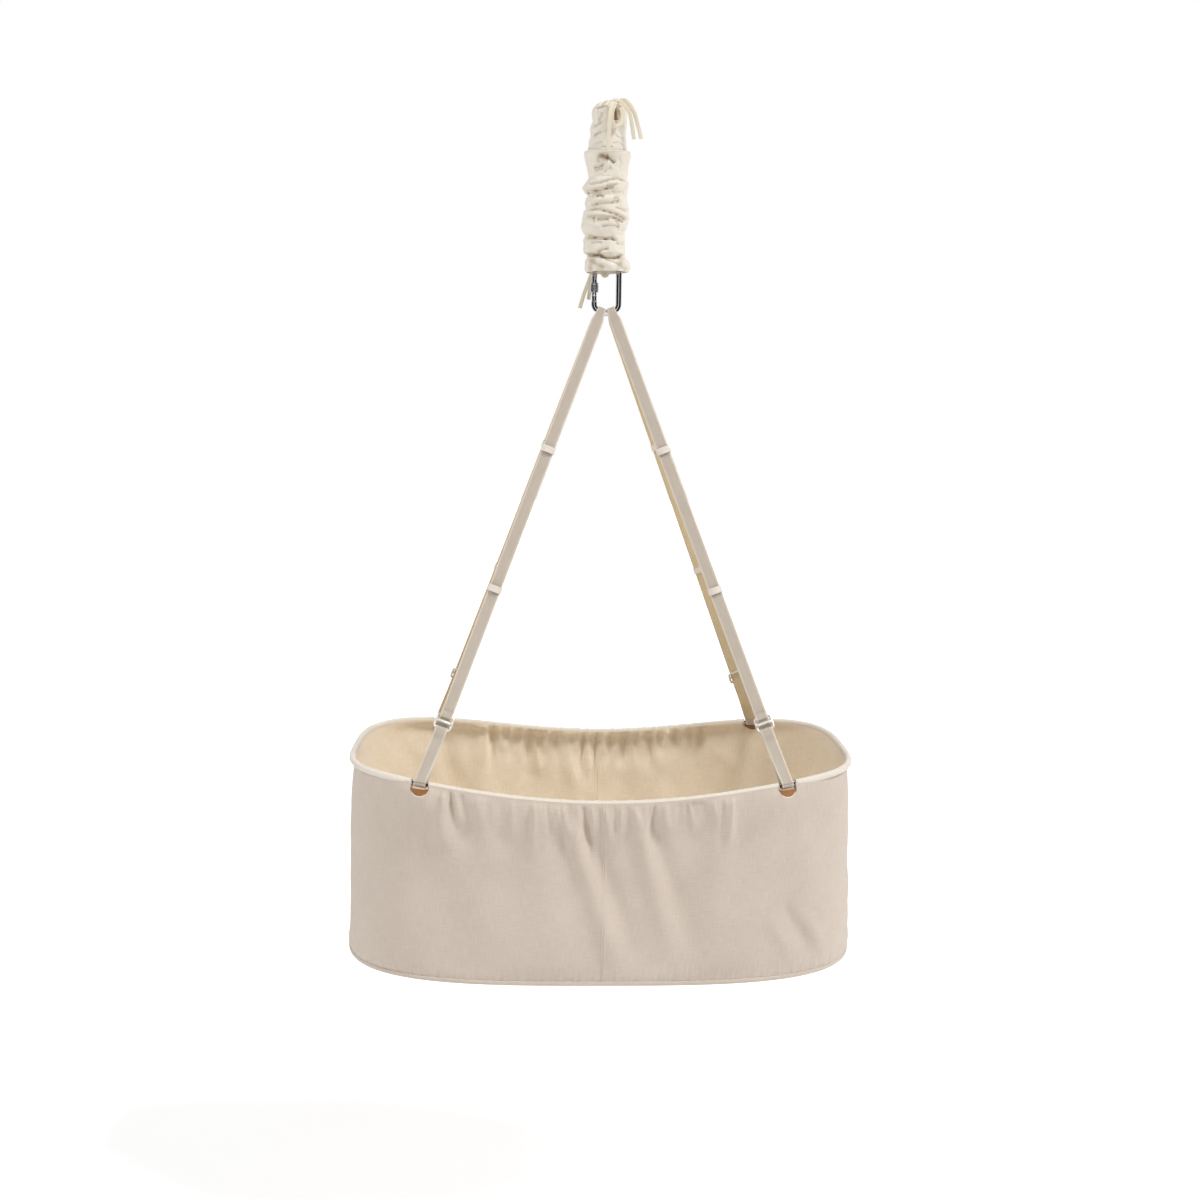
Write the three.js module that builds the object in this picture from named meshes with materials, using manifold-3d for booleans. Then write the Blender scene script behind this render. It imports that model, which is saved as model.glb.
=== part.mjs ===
// A baby cradle that hangs from a spring. A cotton sleeve hides the tension spring, a screw-lock
// carabiner hangs from its lower eye, and two webbing slings run over the carabiner's bottom bow
// to four sliders and on round the chrome rim tube of a soft basket with a stiff floor.
// Units are millimetres, +Z is up and +X runs along the basket. The origin is the point inside
// the spring's upper eye that the ceiling hook bears on, so the cradle lies below it.

import * as THREE from 'three';
import { mergeVertices } from 'three/addons/utils/BufferGeometryUtils.js';
import Module from 'manifold-3d';

// Clearances
const FIT = 0.3; // between pieces that touch
const LOOSE = 0.7; // round a tube that a strap or a hem goes over
const OVERRUN = 1; // how far a cutting body runs past what it cuts

// Spring
const WIRE_RADIUS = 2;
const EYE_INNER_RADIUS = 10;
const EYE_NECK = 14; // from an eye's centre to the coil's end
const COIL_RADIUS = 17; // to the middle of the wire
const COIL_LENGTH = 196;
const COIL_CURLS = 24;
const COIL_STEPS = 8; // to a curl
const COIL_SIDES = 5;
const COIL_END_GAP = 1.2; // to each eye's wire
const EYE_STEPS = 30;
const EYE_SIDES = 6;

// Safety cord, which lies loosely wound inside the coil
const SAFETY_CORD_RADIUS = 2.2;
const SAFETY_LOOPS = 6;
const SAFETY_STEPS = 8; // to a loop
const SAFETY_END_SHARE = 0.12; // of its length, over which it runs in to the eyes

// Cotton sleeve and its hood
const CLOTH = 1.5; // thickness of the doubled cotton
const HOOD_RADIUS = 31;
const HOOD_RISE = 4.7; // above the hanging point
const HOOD_HEIGHT = 86;
const HOOD_MOUTH_RADIUS = 7;
const HOOD_SHOULDER = 22; // height over which the mouth is drawn in
const HOOD_FLARE_HEIGHT = 20; // over which it widens to fit inside the sleeve
const HOOD_PLEATS = 11;
const HOOD_PLEAT_POINTS = 3; // to a pleat
const HOOD_PLEAT_DEPTH = 1.8;
const HOOD_ROWS = 5;
const COLLAR_RADIUS = 38.4;
const COLLAR_HEIGHT = 9;
const COLLAR_OVERLAP = 5; // of the sleeve over the hood
const SLEEVE_RADIUS = 35.5;
const SLEEVE_PLAIN = 44; // smooth height under the collar
const SLEEVE_FOLDS = 6;
const SLEEVE_FOLD_DEPTH = 2.6;
const SLEEVE_FOLD_SLANT = 0.9; // in folds round the sleeve
const SLEEVE_COLUMNS = 20;
const SLEEVE_ROWS = 27;
const BAND_RADIUS = 34.5; // hem band at the sleeve's lower end
const BAND_HEIGHT = 12;
const BAND_BELOW_EYE = 29; // its lower edge below the lower eye's centre
const BAND_THICKNESS = 1.8;

// Drawstring and tie tape, flat cotton tape
const TAPE_WIDTH = 6.5;
const TAPE_THICKNESS = 1;
const KNOT_WIDTH = 10;
const KNOT_HEIGHT = 8;
const KNOT_DEPTH = 7;
const KNOT_SET_BACK = 8.1; // of its middle behind the hood's front

// Carabiner, a 10 mm wire bent to 100 x 50 mm
const HOOK_LENGTH = 100;
const HOOK_WIDTH = 50;
const HOOK_WIRE_RADIUS = 5;
const HOOK_BOW_RADIUS = 26; // bottom bow, to the middle of the wire
const HOOK_CORNER_RADIUS = 12; // between the bow and the sides
const HOOK_SIDES = 10;
const HOOK_STEPS = 40;
const NOSE_HEIGHT = 19; // nose end above the carabiner's middle
const NOSE_TURNED = 5.5; // length of the nose turned down to the gate's radius for the nut
const HINGE_DROP = 22.5; // gate hinge below the carabiner's middle
const GATE_RADIUS = 4.6;
const GATE_SIDES = 10;
const TONGUE_THICKNESS = 4;
const TONGUE_RADIUS = 4;
const PIN_RADIUS = 1.5;
const PIN_FIT = 0.15;
const NUT_LENGTH = 16;
const NUT_RADIUS = 7.2;
const NUT_GROOVE = 0.7;
const NUT_RIBS = 16;
const NUT_DROP = 4.5; // its middle below the carabiner's middle when unlocked
const GATE_BORE_RADIUS = 2.4;
const GATE_BORE_DEPTH = 12;
const GATE_SPRING_RADIUS = 1.5;
const GATE_SPRING_WIRE = 0.35;
const GATE_SPRING_CURLS = 5;
const GATE_SPRING_SIDES = 4;

// Webbing
const WEB_WIDTH = 20;
const WEB_THICKNESS = 1.5;
const FOLD_WIDTH = 13.4; // bunched where it lies in the bow
const FOLD_TAPER = 30; // length over which it spreads again
const FOLD_CLEAR = 1.5; // round the wire, so that the basket can swing
const SLING_DROP = 764; // from the bow's centre of curvature to the rim tube
const FOLD_STEPS = 8;
const LOOP_STEPS = 5;
const LEG_STEPS = 3;
const TWIST_STEPS = 4;
const RETURN_STEPS = 4; // of the strap's end round the slider's bottom bar

// Sliders and keepers
const SLIDER_WIDTH = 30;
const SLIDER_HEIGHT = 28;
const SLIDER_THICKNESS = 2.2;
const SLIDER_RIM = 4;
const SLIDER_CORNER = 3;
const SLIDER_CURVE_STEPS = 2;
const SLIDER_SIDE_FIT = 0.5; // between the strap's edges and the frame
const SLIDER_UP = 101; // its middle above the rim tube, along the strap
const SLIDER_TILT = 0.33; // radians, its top bar behind the strap and its bottom bar in front
const SLIDER_SET_OUT = 0.9; // its middle in front of the strap's middle
const BAR_HEIGHT = 5; // middle bar, which bows out in front of the strap
const BAR_THICKNESS = 2;
const BAR_LEG = 2;
const BAR_CLEAR = 1.2; // its back in front of the frame's middle
const BAR_BOW = 1.4;
const BAR_POINTS = 6;
const TAB_LENGTH = 20; // below the bottom bar
const RETURN_SHIFT = 0.75; // of the strap's turn over the bottom bar, up from the bar's middle
const RETURN_REACH = 3.6; // below the bar's middle, where the strap's end leaves it
const TAB_CLOSE = 3.9; // from the strap to the return layer at the sewn end of the tab
const KEEPER_UP = [328, 570]; // above the rim tube, along the strap
const KEEPER_HEIGHT = 11;
const KEEPER_THICKNESS = 1;
const KEEPER_BULGE = 3;
const KEEPER_POINTS = 6;

// Basket
const RIM_LENGTH = 834;
const RIM_WIDTH = 444.8;
const RIM_POWER = 3.4;
const RIM_END_RISE = 33.4; // of the rim at its two ends, over its middle
const RIM_PEAK_SHARE = 2.19; // steepness of that rise, as a share of it
const RIM_TUBE_RADIUS = 4;
const RIM_SIDES = 8;
const RIM_STEPS = 42; // to each half
const STRAP_PLACE = 290; // of the straps from the middle, along X
const FERRULE_RADIUS = 2.6;
const FERRULE_LENGTH = 44;
const FERRULE_FIT = 0.15;
const HEM_RADIUS = 6;
const HEM_THICKNESS = 0.8;
const HEM_SIDES = 7;
const HEM_LONG_STEPS = 12;
const HEM_END_STEPS = 24;
const NOTCH_WIDTH = 30;
const NOTCH_DEPTH = 18; // below the rim tube's middle
const NOTCH_CORNER = 14;
const NOTCH_CURVE_STEPS = 3;
const WALL_THICKNESS = 2.4;
const WALL_INSET = 4; // of the wall under the hem, from the rim line
const WALL_COLUMNS = 64;
const WALL_ROWS = 5;
const WALL_BULGE = 5;
const WALL_FOLD_DEPTH = 6;
const WALL_FOLDS = 9;
const WALL_SLANT = 2; // of the folds, in radians at the floor
const WALL_WINDOW_POWER = 0.7; // how soon they fade towards the hem and the floor
const BASE_LENGTH = 859;
const BASE_WIDTH = 467.6;
const BASE_POWER = 3.18;
const BASE_DROP = 300; // underside below the rim's middle
const BAND_UP = 9; // height of the bottom panel's upturned edge
const PANEL_THICKNESS = 2;
const BOARD_THICKNESS = 5;
const MATTRESS_LENGTH = 800;
const MATTRESS_WIDTH = 400;
const MATTRESS_POWER = 4;
const MATTRESS_THICKNESS = 34;
const MATTRESS_CROWN = 7;
const MATTRESS_WAIST = 2; // how far its sides draw in
const MATTRESS_COLUMNS = 40;

// Heights, from the hanging point down
const upperEyeZ = -EYE_INNER_RADIUS;
const coilTopZ = upperEyeZ - EYE_NECK;
const coilBottomZ = coilTopZ - COIL_LENGTH;
const lowerEyeZ = coilBottomZ - EYE_NECK;
const hookTopBarZ = lowerEyeZ - EYE_INNER_RADIUS + FIT + HOOK_WIRE_RADIUS;
const hookZ = hookTopBarZ - HOOK_LENGTH / 2 + HOOK_WIRE_RADIUS;
const bowZ = hookZ - HOOK_LENGTH / 2 + HOOK_WIRE_RADIUS + HOOK_BOW_RADIUS;
const strapRimZ = bowZ - SLING_DROP;
const rimZ = strapRimZ - rimRise(STRAP_PLACE);
const floorZ = rimZ - BASE_DROP;
const panelTopZ = floorZ + BAND_UP;
const boardZ = floorZ + PANEL_THICKNESS + FIT;
const mattressZ = boardZ + BOARD_THICKNESS + FIT;
const bandBottomZ = lowerEyeZ - BAND_BELOW_EYE;
const bandTopZ = bandBottomZ + BAND_HEIGHT;
const hoodTopZ = HOOD_RISE;
const hoodBottomZ = hoodTopZ - HOOD_HEIGHT;
const sleeveTopZ = hoodBottomZ + COLLAR_OVERLAP;
const sleeveBottomZ = bandTopZ + FIT;

const wasm = await Module();
wasm.setup();

// Materials, one for each piece
function material(color, roughness, metalness) {
  return new THREE.MeshStandardMaterial({ color, roughness, metalness });
}
const cotton = () => material('#e9e1d0', 0.9, 0);
const canvas = () => material('#cfc6b6', 0.9, 0);
const canvasInside = () => material('#d8cbae', 0.9, 0);
const webbing = () => material('#b7ab98', 0.85, 0);
const polished = () => material('#c9cbcd', 0.18, 1);
const springSteel = () => material('#8d9094', 0.4, 1);
const castSilver = () => material('#d9d3c4', 0.4, 0.6);
const nylon = () => material('#eeeeea', 0.6, 0);
const board = () => material('#b99563', 0.7, 0);
const quilted = () => material('#efe9dc', 0.95, 0);

// Turns a list of points and triangles into a geometry whose faces point out
function solid(points, faces) {
  let volume = 0;
  for (const [a, b, c] of faces) {
    volume += points[a].dot(points[b].clone().cross(points[c]));
  }
  const geometry = new THREE.BufferGeometry();
  const flat = points.flatMap((p) => [p.x, p.y, p.z]);
  geometry.setAttribute('position', new THREE.Float32BufferAttribute(flat, 3));
  const index = volume < 0 ? faces.flatMap(([a, b, c]) => [a, c, b]) : faces.flat();
  geometry.setIndex(index);
  return geometry;
}

// Joins rings of equally many points, one after the other, and closes both ends. The first half
// of a ring and the second are cut along different diagonals, so that the two sides of a twisted
// strap bend alike and it keeps its thickness.
function loft(rings) {
  const count = rings[0].length;
  const points = rings.flat();
  const faces = [];
  for (let i = 0; i + 1 < rings.length; i++) {
    for (let j = 0; j < count; j++) {
      const a = i * count + j;
      const b = i * count + ((j + 1) % count);
      if (2 * j < count) {
        faces.push([a, b, b + count], [a, b + count, a + count]);
      } else {
        faces.push([a, b, a + count], [b, b + count, a + count]);
      }
    }
  }
  const last = (rings.length - 1) * count;
  for (let j = 1; j + 1 < count; j++) {
    faces.push([0, j + 1, j], [last, last + j, last + j + 1]);
  }
  return solid(points, faces);
}

// A cloth of some thickness: two sheets of rings that close on themselves, joined along both edges
function shell(outer, inner) {
  const count = outer[0].length;
  const rows = outer.length;
  const points = [...outer.flat(), ...inner.flat()];
  const start = rows * count;
  const faces = [];
  for (let i = 0; i + 1 < rows; i++) {
    for (let j = 0; j < count; j++) {
      const a = i * count + j;
      const b = i * count + ((j + 1) % count);
      faces.push([a, b, b + count], [a, b + count, a + count]);
      faces.push([start + a, start + b + count, start + b]);
      faces.push([start + a, start + a + count, start + b + count]);
    }
  }
  for (const [row, turn] of [[0, false], [rows - 1, true]]) {
    for (let j = 0; j < count; j++) {
      const a = row * count + j;
      const b = row * count + ((j + 1) % count);
      const quad = [[a, start + b, b], [a, start + a, start + b]];
      faces.push(...quad.map(([p, q, r]) => (turn ? [p, r, q] : [p, q, r])));
    }
  }
  return solid(points, faces);
}

// A closed geometry as a body that can be joined and cut
function body(geometry) {
  const bare = new THREE.BufferGeometry();
  bare.setAttribute('position', geometry.getAttribute('position').clone());
  if (geometry.index) {
    bare.setIndex(geometry.index.clone());
  }
  const merged = mergeVertices(bare);
  const mesh = new wasm.Mesh({
    numProp: 3,
    vertProperties: new Float32Array(merged.getAttribute('position').array),
    triVerts: new Uint32Array(merged.index.array),
  });
  return new wasm.Manifold(mesh);
}

function geometryOf(joined) {
  const mesh = joined.getMesh();
  const geometry = new THREE.BufferGeometry();
  geometry.setAttribute('position', new THREE.Float32BufferAttribute(mesh.vertProperties, 3));
  geometry.setIndex(Array.from(mesh.triVerts));
  return geometry;
}

function circleShape(radius, sides, turn = 0) {
  const shape = new THREE.Shape();
  for (let i = 0; i < sides; i++) {
    const angle = turn + (2 * Math.PI * i) / sides;
    const x = radius * Math.cos(angle);
    const y = radius * Math.sin(angle);
    if (i === 0) {
      shape.moveTo(x, y);
    } else {
      shape.lineTo(x, y);
    }
  }
  shape.closePath();
  return shape;
}

function rod(radius, length, sides) {
  return new THREE.CylinderGeometry(radius, radius, length, sides);
}

function tubeAlong(curve, radius, sides, steps) {
  return new THREE.ExtrudeGeometry(circleShape(radius, sides), { steps, extrudePath: curve });
}

// A curve given by a function of the share of its way
class FormulaCurve extends THREE.Curve {
  constructor(formula) {
    super();
    this.formula = formula;
  }
  getPoint(share, target = new THREE.Vector3()) {
    return target.copy(this.formula(share));
  }
}

function vec(x, y, z) {
  return new THREE.Vector3(x, y, z);
}

function mix(a, b, share) {
  return a + (b - a) * share;
}

// Eases from 0 to 1 with no corner at either end
function ease(share) {
  const s = Math.min(1, Math.max(0, share));
  return s * s * (3 - 2 * s);
}

// Least distance between two stretches of one wound wire, from surface to surface
function leastGap(name, points, radius, apart) {
  let least = Infinity;
  for (let i = 0; i < points.length; i++) {
    for (let j = i + apart; j < points.length; j++) {
      least = Math.min(least, points[i].distanceTo(points[j]));
    }
  }
  console.log(`${name}: least gap to itself ${(least - 2 * radius).toFixed(2)} mm`);
}

// Rings of a round section, square to a line of points
function woundTube(points, radius, sides) {
  const rings = [];
  let side = null;
  for (let i = 0; i < points.length; i++) {
    const ahead = points[Math.min(i + 1, points.length - 1)];
    const behind = points[Math.max(i - 1, 0)];
    const along = ahead.clone().sub(behind).normalize();
    side = side ?? vec(0, 0, 1).cross(along);
    side = side.clone().addScaledVector(along, -side.dot(along)).normalize();
    const up = along.clone().cross(side);
    const ring = [];
    for (let k = 0; k < sides; k++) {
      const angle = (2 * Math.PI * k) / sides;
      ring.push(points[i].clone()
        .addScaledVector(side, radius * Math.cos(angle))
        .addScaledVector(up, radius * Math.sin(angle)));
    }
    rings.push(ring);
  }
  return loft(rings);
}

// Spring

// The coil's wire starts at this angle and ends at the mirrored one, where the eyes' wires meet
// it end to end
const COIL_START_ANGLE = -2 * Math.PI / 3;

function springCoil() {
  const points = [];
  const count = COIL_CURLS * COIL_STEPS;
  for (let i = 0; i <= count; i++) {
    const share = i / count;
    const turned = (2 * Math.PI * COIL_CURLS + Math.PI + 2 * COIL_START_ANGLE) * share;
    const gap = (COIL_END_GAP / COIL_RADIUS) * (1 - 2 * share);
    const angle = COIL_START_ANGLE - turned - gap;
    points.push(vec(
      COIL_RADIUS * Math.cos(angle),
      COIL_RADIUS * Math.sin(angle),
      mix(coilTopZ, coilBottomZ, share),
    ));
  }
  leastGap('spring_coil', points, WIRE_RADIUS, COIL_STEPS - 1);
  return woundTube(points, WIRE_RADIUS, COIL_SIDES);
}

// An eye: the wire leaves the coil along its circle, turns up and goes round a ring that stands
// on edge across the middle. side is 1 for the upper eye and -1 for the lower one.
const EYE_TURN_SHARE = 0.86; // of a full ring
const EYE_POINTS = 14; // round it
const EYE_ENTRY_SHARES = [[-0.19, 0.1], [0, 0.36], [0, 0.64]]; // of the coil's radius and the neck
const EYE_FIRST_SHARE = 0.98; // of the coil's radius, at the first of these points

function springEye(centreZ, side) {
  const ringRadius = EYE_INNER_RADIUS + WIRE_RADIUS;
  const baseZ = centreZ - side * EYE_NECK;
  const points = [vec(
    side * COIL_RADIUS * Math.cos(COIL_START_ANGLE),
    COIL_RADIUS * Math.sin(COIL_START_ANGLE),
    baseZ,
  )];
  EYE_ENTRY_SHARES.forEach(([across, up], i) => {
    const inward = (i + 1) / (EYE_ENTRY_SHARES.length + 1);
    const outY = i === 0 ? COIL_RADIUS * EYE_FIRST_SHARE : mix(COIL_RADIUS, ringRadius, inward);
    points.push(vec(side * COIL_RADIUS * across, -outY, baseZ + side * EYE_NECK * up));
  });
  for (let i = 0; i <= EYE_POINTS; i++) {
    const angle = Math.PI - (2 * Math.PI * EYE_TURN_SHARE * i) / EYE_POINTS;
    points.push(vec(0, ringRadius * Math.cos(angle), centreZ + side * ringRadius * Math.sin(angle)));
  }
  const curve = new THREE.CatmullRomCurve3(points);
  return tubeAlong(curve, WIRE_RADIUS, EYE_SIDES, EYE_STEPS);
}

// The safety cord lies against the inside of the coil
function safetyCord() {
  const points = [];
  const loopRadius = COIL_RADIUS * Math.cos(Math.PI / COIL_STEPS) - WIRE_RADIUS - FIT - SAFETY_CORD_RADIUS;
  const count = SAFETY_LOOPS * SAFETY_STEPS;
  const clear = WIRE_RADIUS + SAFETY_CORD_RADIUS + FIT;
  const topZ = upperEyeZ - EYE_INNER_RADIUS - WIRE_RADIUS - clear;
  const bottomZ = lowerEyeZ + EYE_INNER_RADIUS + WIRE_RADIUS + clear;
  for (let i = 0; i <= count; i++) {
    const share = i / count;
    const angle = 2 * Math.PI * SAFETY_LOOPS * share;
    const radius = loopRadius * ease(Math.min(share, 1 - share) / SAFETY_END_SHARE);
    points.push(polar(radius, angle, mix(topZ, bottomZ, share)));
  }
  leastGap('safety_cord', points, SAFETY_CORD_RADIUS, SAFETY_STEPS - 1);
  return woundTube(points, SAFETY_CORD_RADIUS, COIL_SIDES);
}

// Sleeve

function polar(radius, angle, z) {
  return vec(radius * Math.cos(angle), radius * Math.sin(angle), z);
}

// The hood widens at its lower edge to fit inside the sleeve, runs up as a plain tube and is
// drawn in at the top over a quarter of an ellipse, where the pleats are deepest
function hoodRing(share, inset) {
  const count = HOOD_PLEATS * HOOD_PLEAT_POINTS;
  const shoulderShare = HOOD_SHOULDER / HOOD_HEIGHT;
  const edgeRadius = (SLEEVE_RADIUS - CLOTH) * Math.cos(Math.PI / SLEEVE_COLUMNS) - FIT;
  let radius = HOOD_RADIUS;
  let z = mix(hoodBottomZ, hoodTopZ, share);
  let pleat = 0;
  if (share > 1 - shoulderShare) {
    const turn = (1 - (1 - share) / shoulderShare) * Math.PI / 2;
    const least = Math.asin(HOOD_MOUTH_RADIUS / HOOD_RADIUS);
    const angle = mix(Math.PI / 2, least, turn / (Math.PI / 2));
    radius = HOOD_RADIUS * Math.sin(angle);
    z = hoodTopZ - HOOD_SHOULDER * (1 - Math.cos(angle));
    pleat = HOOD_PLEAT_DEPTH * Math.sin(2 * angle);
  } else {
    const flare = 1 - ease((share * HOOD_HEIGHT) / HOOD_FLARE_HEIGHT);
    radius = mix(HOOD_RADIUS, edgeRadius, flare);
  }
  const ring = [];
  for (let j = 0; j < count; j++) {
    const angle = (2 * Math.PI * j) / count;
    const deep = pleat * Math.cos(HOOD_PLEATS * angle);
    const place = polar(radius - deep, angle, z);
    if (inset > 0 && share > 1 - shoulderShare) {
      const slope = Math.acos(Math.min(1, radius / HOOD_RADIUS));
      const inner = polar(radius - deep - inset * Math.cos(slope), angle, z - inset * Math.sin(slope));
      ring.push(inner);
    } else {
      place.sub(polar(inset, angle, 0));
      ring.push(place);
    }
  }
  return ring;
}

function sleeveHood() {
  const shoulderShare = 1 - HOOD_SHOULDER / HOOD_HEIGHT;
  const flareShare = HOOD_FLARE_HEIGHT / HOOD_HEIGHT;
  const shares = [0, flareShare / 2, flareShare, shoulderShare];
  for (let i = 1; i <= HOOD_ROWS; i++) {
    shares.push(mix(shoulderShare, 1, i / HOOD_ROWS));
  }
  return shell(shares.map((s) => hoodRing(s, 0)), shares.map((s) => hoodRing(s, CLOTH)));
}

// The sleeve is smooth under its collar, then lies in slanting gathers down to the hem band
function sleeveRing(share, inset) {
  const height = sleeveTopZ - sleeveBottomZ;
  const down = share * height;
  const collar = 1 - ease(down / COLLAR_HEIGHT);
  const plain = mix(SLEEVE_RADIUS, COLLAR_RADIUS, collar);
  const way = Math.max(0, (down - SLEEVE_PLAIN) / (height - SLEEVE_PLAIN));
  const swell = Math.min(1, way * SLEEVE_FOLDS) * Math.min(1, (1 - way) * SLEEVE_FOLDS);
  const ring = [];
  for (let j = 0; j < SLEEVE_COLUMNS; j++) {
    const angle = (2 * Math.PI * j) / SLEEVE_COLUMNS;
    const slant = SLEEVE_FOLD_SLANT * Math.sin(angle + way * Math.PI) / 2;
    const wave = Math.sin(2 * Math.PI * (SLEEVE_FOLDS * way + slant));
    const ripple = Math.sin(2 * angle + SLEEVE_FOLDS * way) / 2;
    const radius = plain + SLEEVE_FOLD_DEPTH * swell * (wave + ripple);
    ring.push(polar(radius - inset, angle, mix(sleeveTopZ, sleeveBottomZ, share)));
  }
  return ring;
}

function springSleeve() {
  const height = sleeveTopZ - sleeveBottomZ;
  const shares = [0, COLLAR_HEIGHT / height / 2, COLLAR_HEIGHT / height];
  const start = SLEEVE_PLAIN / height;
  for (let i = 0; i <= SLEEVE_ROWS - shares.length; i++) {
    shares.push(mix(start, 1, i / (SLEEVE_ROWS - shares.length)));
  }
  return shell(shares.map((s) => sleeveRing(s, 0)), shares.map((s) => sleeveRing(s, CLOTH)));
}

function sleeveHem() {
  const inner = BAND_RADIUS - BAND_THICKNESS;
  const middle = (bandTopZ + bandBottomZ) / 2;
  const profile = [
    new THREE.Vector2(inner, bandBottomZ),
    new THREE.Vector2(BAND_RADIUS, bandBottomZ),
    new THREE.Vector2(BAND_RADIUS + BAND_THICKNESS, middle),
    new THREE.Vector2(BAND_RADIUS, bandTopZ),
    new THREE.Vector2(inner, bandTopZ),
    new THREE.Vector2(inner, bandBottomZ),
  ];
  const geometry = new THREE.LatheGeometry(profile, SLEEVE_COLUMNS);
  geometry.rotateX(Math.PI / 2);
  return geometry;
}

// Flat tape

// A ring of four corners across a strap: its middle, the way across it and the way out of it
function strapRing(middle, across, out, halfWidth, halfThickness) {
  return [[1, 1], [-1, 1], [-1, -1], [1, -1]].map(([w, t]) => middle.clone()
    .addScaledVector(across, w * halfWidth)
    .addScaledVector(out, t * halfThickness));
}

// A flat tape along points chosen by hand. flatSide is the way that its flat side faces.
function tape(points, flatSide) {
  const curve = new THREE.CatmullRomCurve3(points.map(([x, y, z]) => vec(x, y, z)));
  const steps = 2 * (points.length - 1);
  const rings = [];
  for (let i = 0; i <= steps; i++) {
    const along = curve.getTangent(i / steps);
    const across = flatSide.clone().cross(along).normalize();
    const out = along.clone().cross(across).normalize();
    rings.push(strapRing(curve.getPoint(i / steps), across, out, TAPE_WIDTH / 2, TAPE_THICKNESS / 2));
  }
  return loft(rings);
}

// Routes of the free tapes, chosen by hand: millimetres from the hanging point
const BOW_LOOP_ROUTE = [
  [9.2, -27, -2], [7.6, -30, -8], [5.5, -33, -14], [3.5, -34.3, -24], [4, -34.6, -34],
  [9, -34.8, -40], [16, -33.4, -37], [20.5, -31.4, -29], [20.5, -30.2, -19], [17.5, -29.6, -11],
];
const TAIL_LEFT_ROUTE = [
  [4.8, -29.1, -2.4], [3, -33.8, -9], [1, -37.2, -20], [0, -38.2, -34], [-1, -38.8, -50],
  [-1.5, -39.6, -65], [-1, -40.6, -77],
];
const TAIL_RIGHT_ROUTE = [
  [15.5, -22, 0.5], [24, -22.8, 1], [32, -23.4, -5], [39, -23.8, -16], [43, -23.5, -27],
  [46, -23.5, -38], [49, -24, -48], [51, -24.5, -57],
];
const TAIL_SHORT_ROUTE = [
  [14.4, -26, 0], [22, -27.6, -5], [30, -27.6, -14], [34, -26.4, -25], [36.5, -25.4, -38],
  [38.5, -25, -50], [40, -25.5, -58],
];
const TIE_LONG_ROUTE = [
  [-24, 24, -263.6], [-27, 24.6, -272], [-31, 25.4, -283], [-35.5, 26, -295], [-39.5, 26.4, -308],
  [-43, 26.6, -320],
];
const TIE_SHORT_ROUTE = [
  [-21, 27.4, -263.6], [-23, 28, -273], [-25.5, 28.6, -285], [-27.5, 29, -297], [-28.5, 29.2, -306],
];
const FACING_FRONT = new THREE.Vector3(0, -1, 0);
const FACING_DOWN = new THREE.Vector3(0, 0, -1);

const KNOT_COLUMNS = 10;
const KNOT_ROWS = 7;

function drawstringKnot() {
  const geometry = new THREE.SphereGeometry(1, KNOT_COLUMNS, KNOT_ROWS);
  geometry.scale(KNOT_WIDTH / 2, KNOT_DEPTH / 2, KNOT_HEIGHT / 2);
  return geometry;
}

// The tie tape goes from the hem band up through the lower eye and down to the band again
const TIE_SPAN_SHARES = [[1, 0.04], [0.93, 0.42], [0.66, 0.8], [0.3, 0.97], [0, 1]];

function tieTape() {
  const bandInner = (BAND_RADIUS - BAND_THICKNESS) * Math.cos(Math.PI / SLEEVE_COLUMNS);
  const reach = bandInner - FIT - TAPE_THICKNESS / 2;
  const topZ = lowerEyeZ + EYE_INNER_RADIUS - FIT - TAPE_THICKNESS;
  const startZ = (bandTopZ + bandBottomZ) / 2;
  const half = TIE_SPAN_SHARES.map(([out, up]) => [-reach * out, 0, mix(startZ, topZ, up)]);
  const back = half.slice(0, -1).reverse().map(([x, y, z]) => [-x, y, z]);
  return tape([...half, ...back], FACING_DOWN);
}

// Carabiner

function hookPath() {
  const side = HOOK_WIDTH / 2 - HOOK_WIRE_RADIUS;
  const half = HOOK_LENGTH / 2 - HOOK_WIRE_RADIUS;
  const topZ = half - side;
  const lowBowZ = HOOK_BOW_RADIUS - half;
  const inward = side - HOOK_CORNER_RADIUS;
  const reach = HOOK_BOW_RADIUS - HOOK_CORNER_RADIUS;
  const cornerZ = lowBowZ - Math.sqrt(reach * reach - inward * inward);
  const bend = Math.atan2(lowBowZ - cornerZ, inward);
  const path = new THREE.Path();
  path.moveTo(-side, NOSE_HEIGHT);
  path.lineTo(-side, topZ);
  path.absarc(0, topZ, side, Math.PI, 0, true);
  path.lineTo(side, cornerZ);
  path.absarc(inward, cornerZ, HOOK_CORNER_RADIUS, 0, -bend, true);
  path.absarc(0, lowBowZ, HOOK_BOW_RADIUS, -bend, bend - Math.PI, true);
  path.absarc(-inward, cornerZ, HOOK_CORNER_RADIUS, bend - Math.PI, -Math.PI, true);
  path.lineTo(-side, -HINGE_DROP - GATE_RADIUS - FIT);
  return path;
}

function crossBore(radius, z) {
  const bore = rod(radius, 2 * HOOK_WIRE_RADIUS + 2 * OVERRUN, GATE_SIDES);
  bore.translate(-(HOOK_WIDTH / 2 - HOOK_WIRE_RADIUS), 0, z);
  return body(bore);
}

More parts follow.
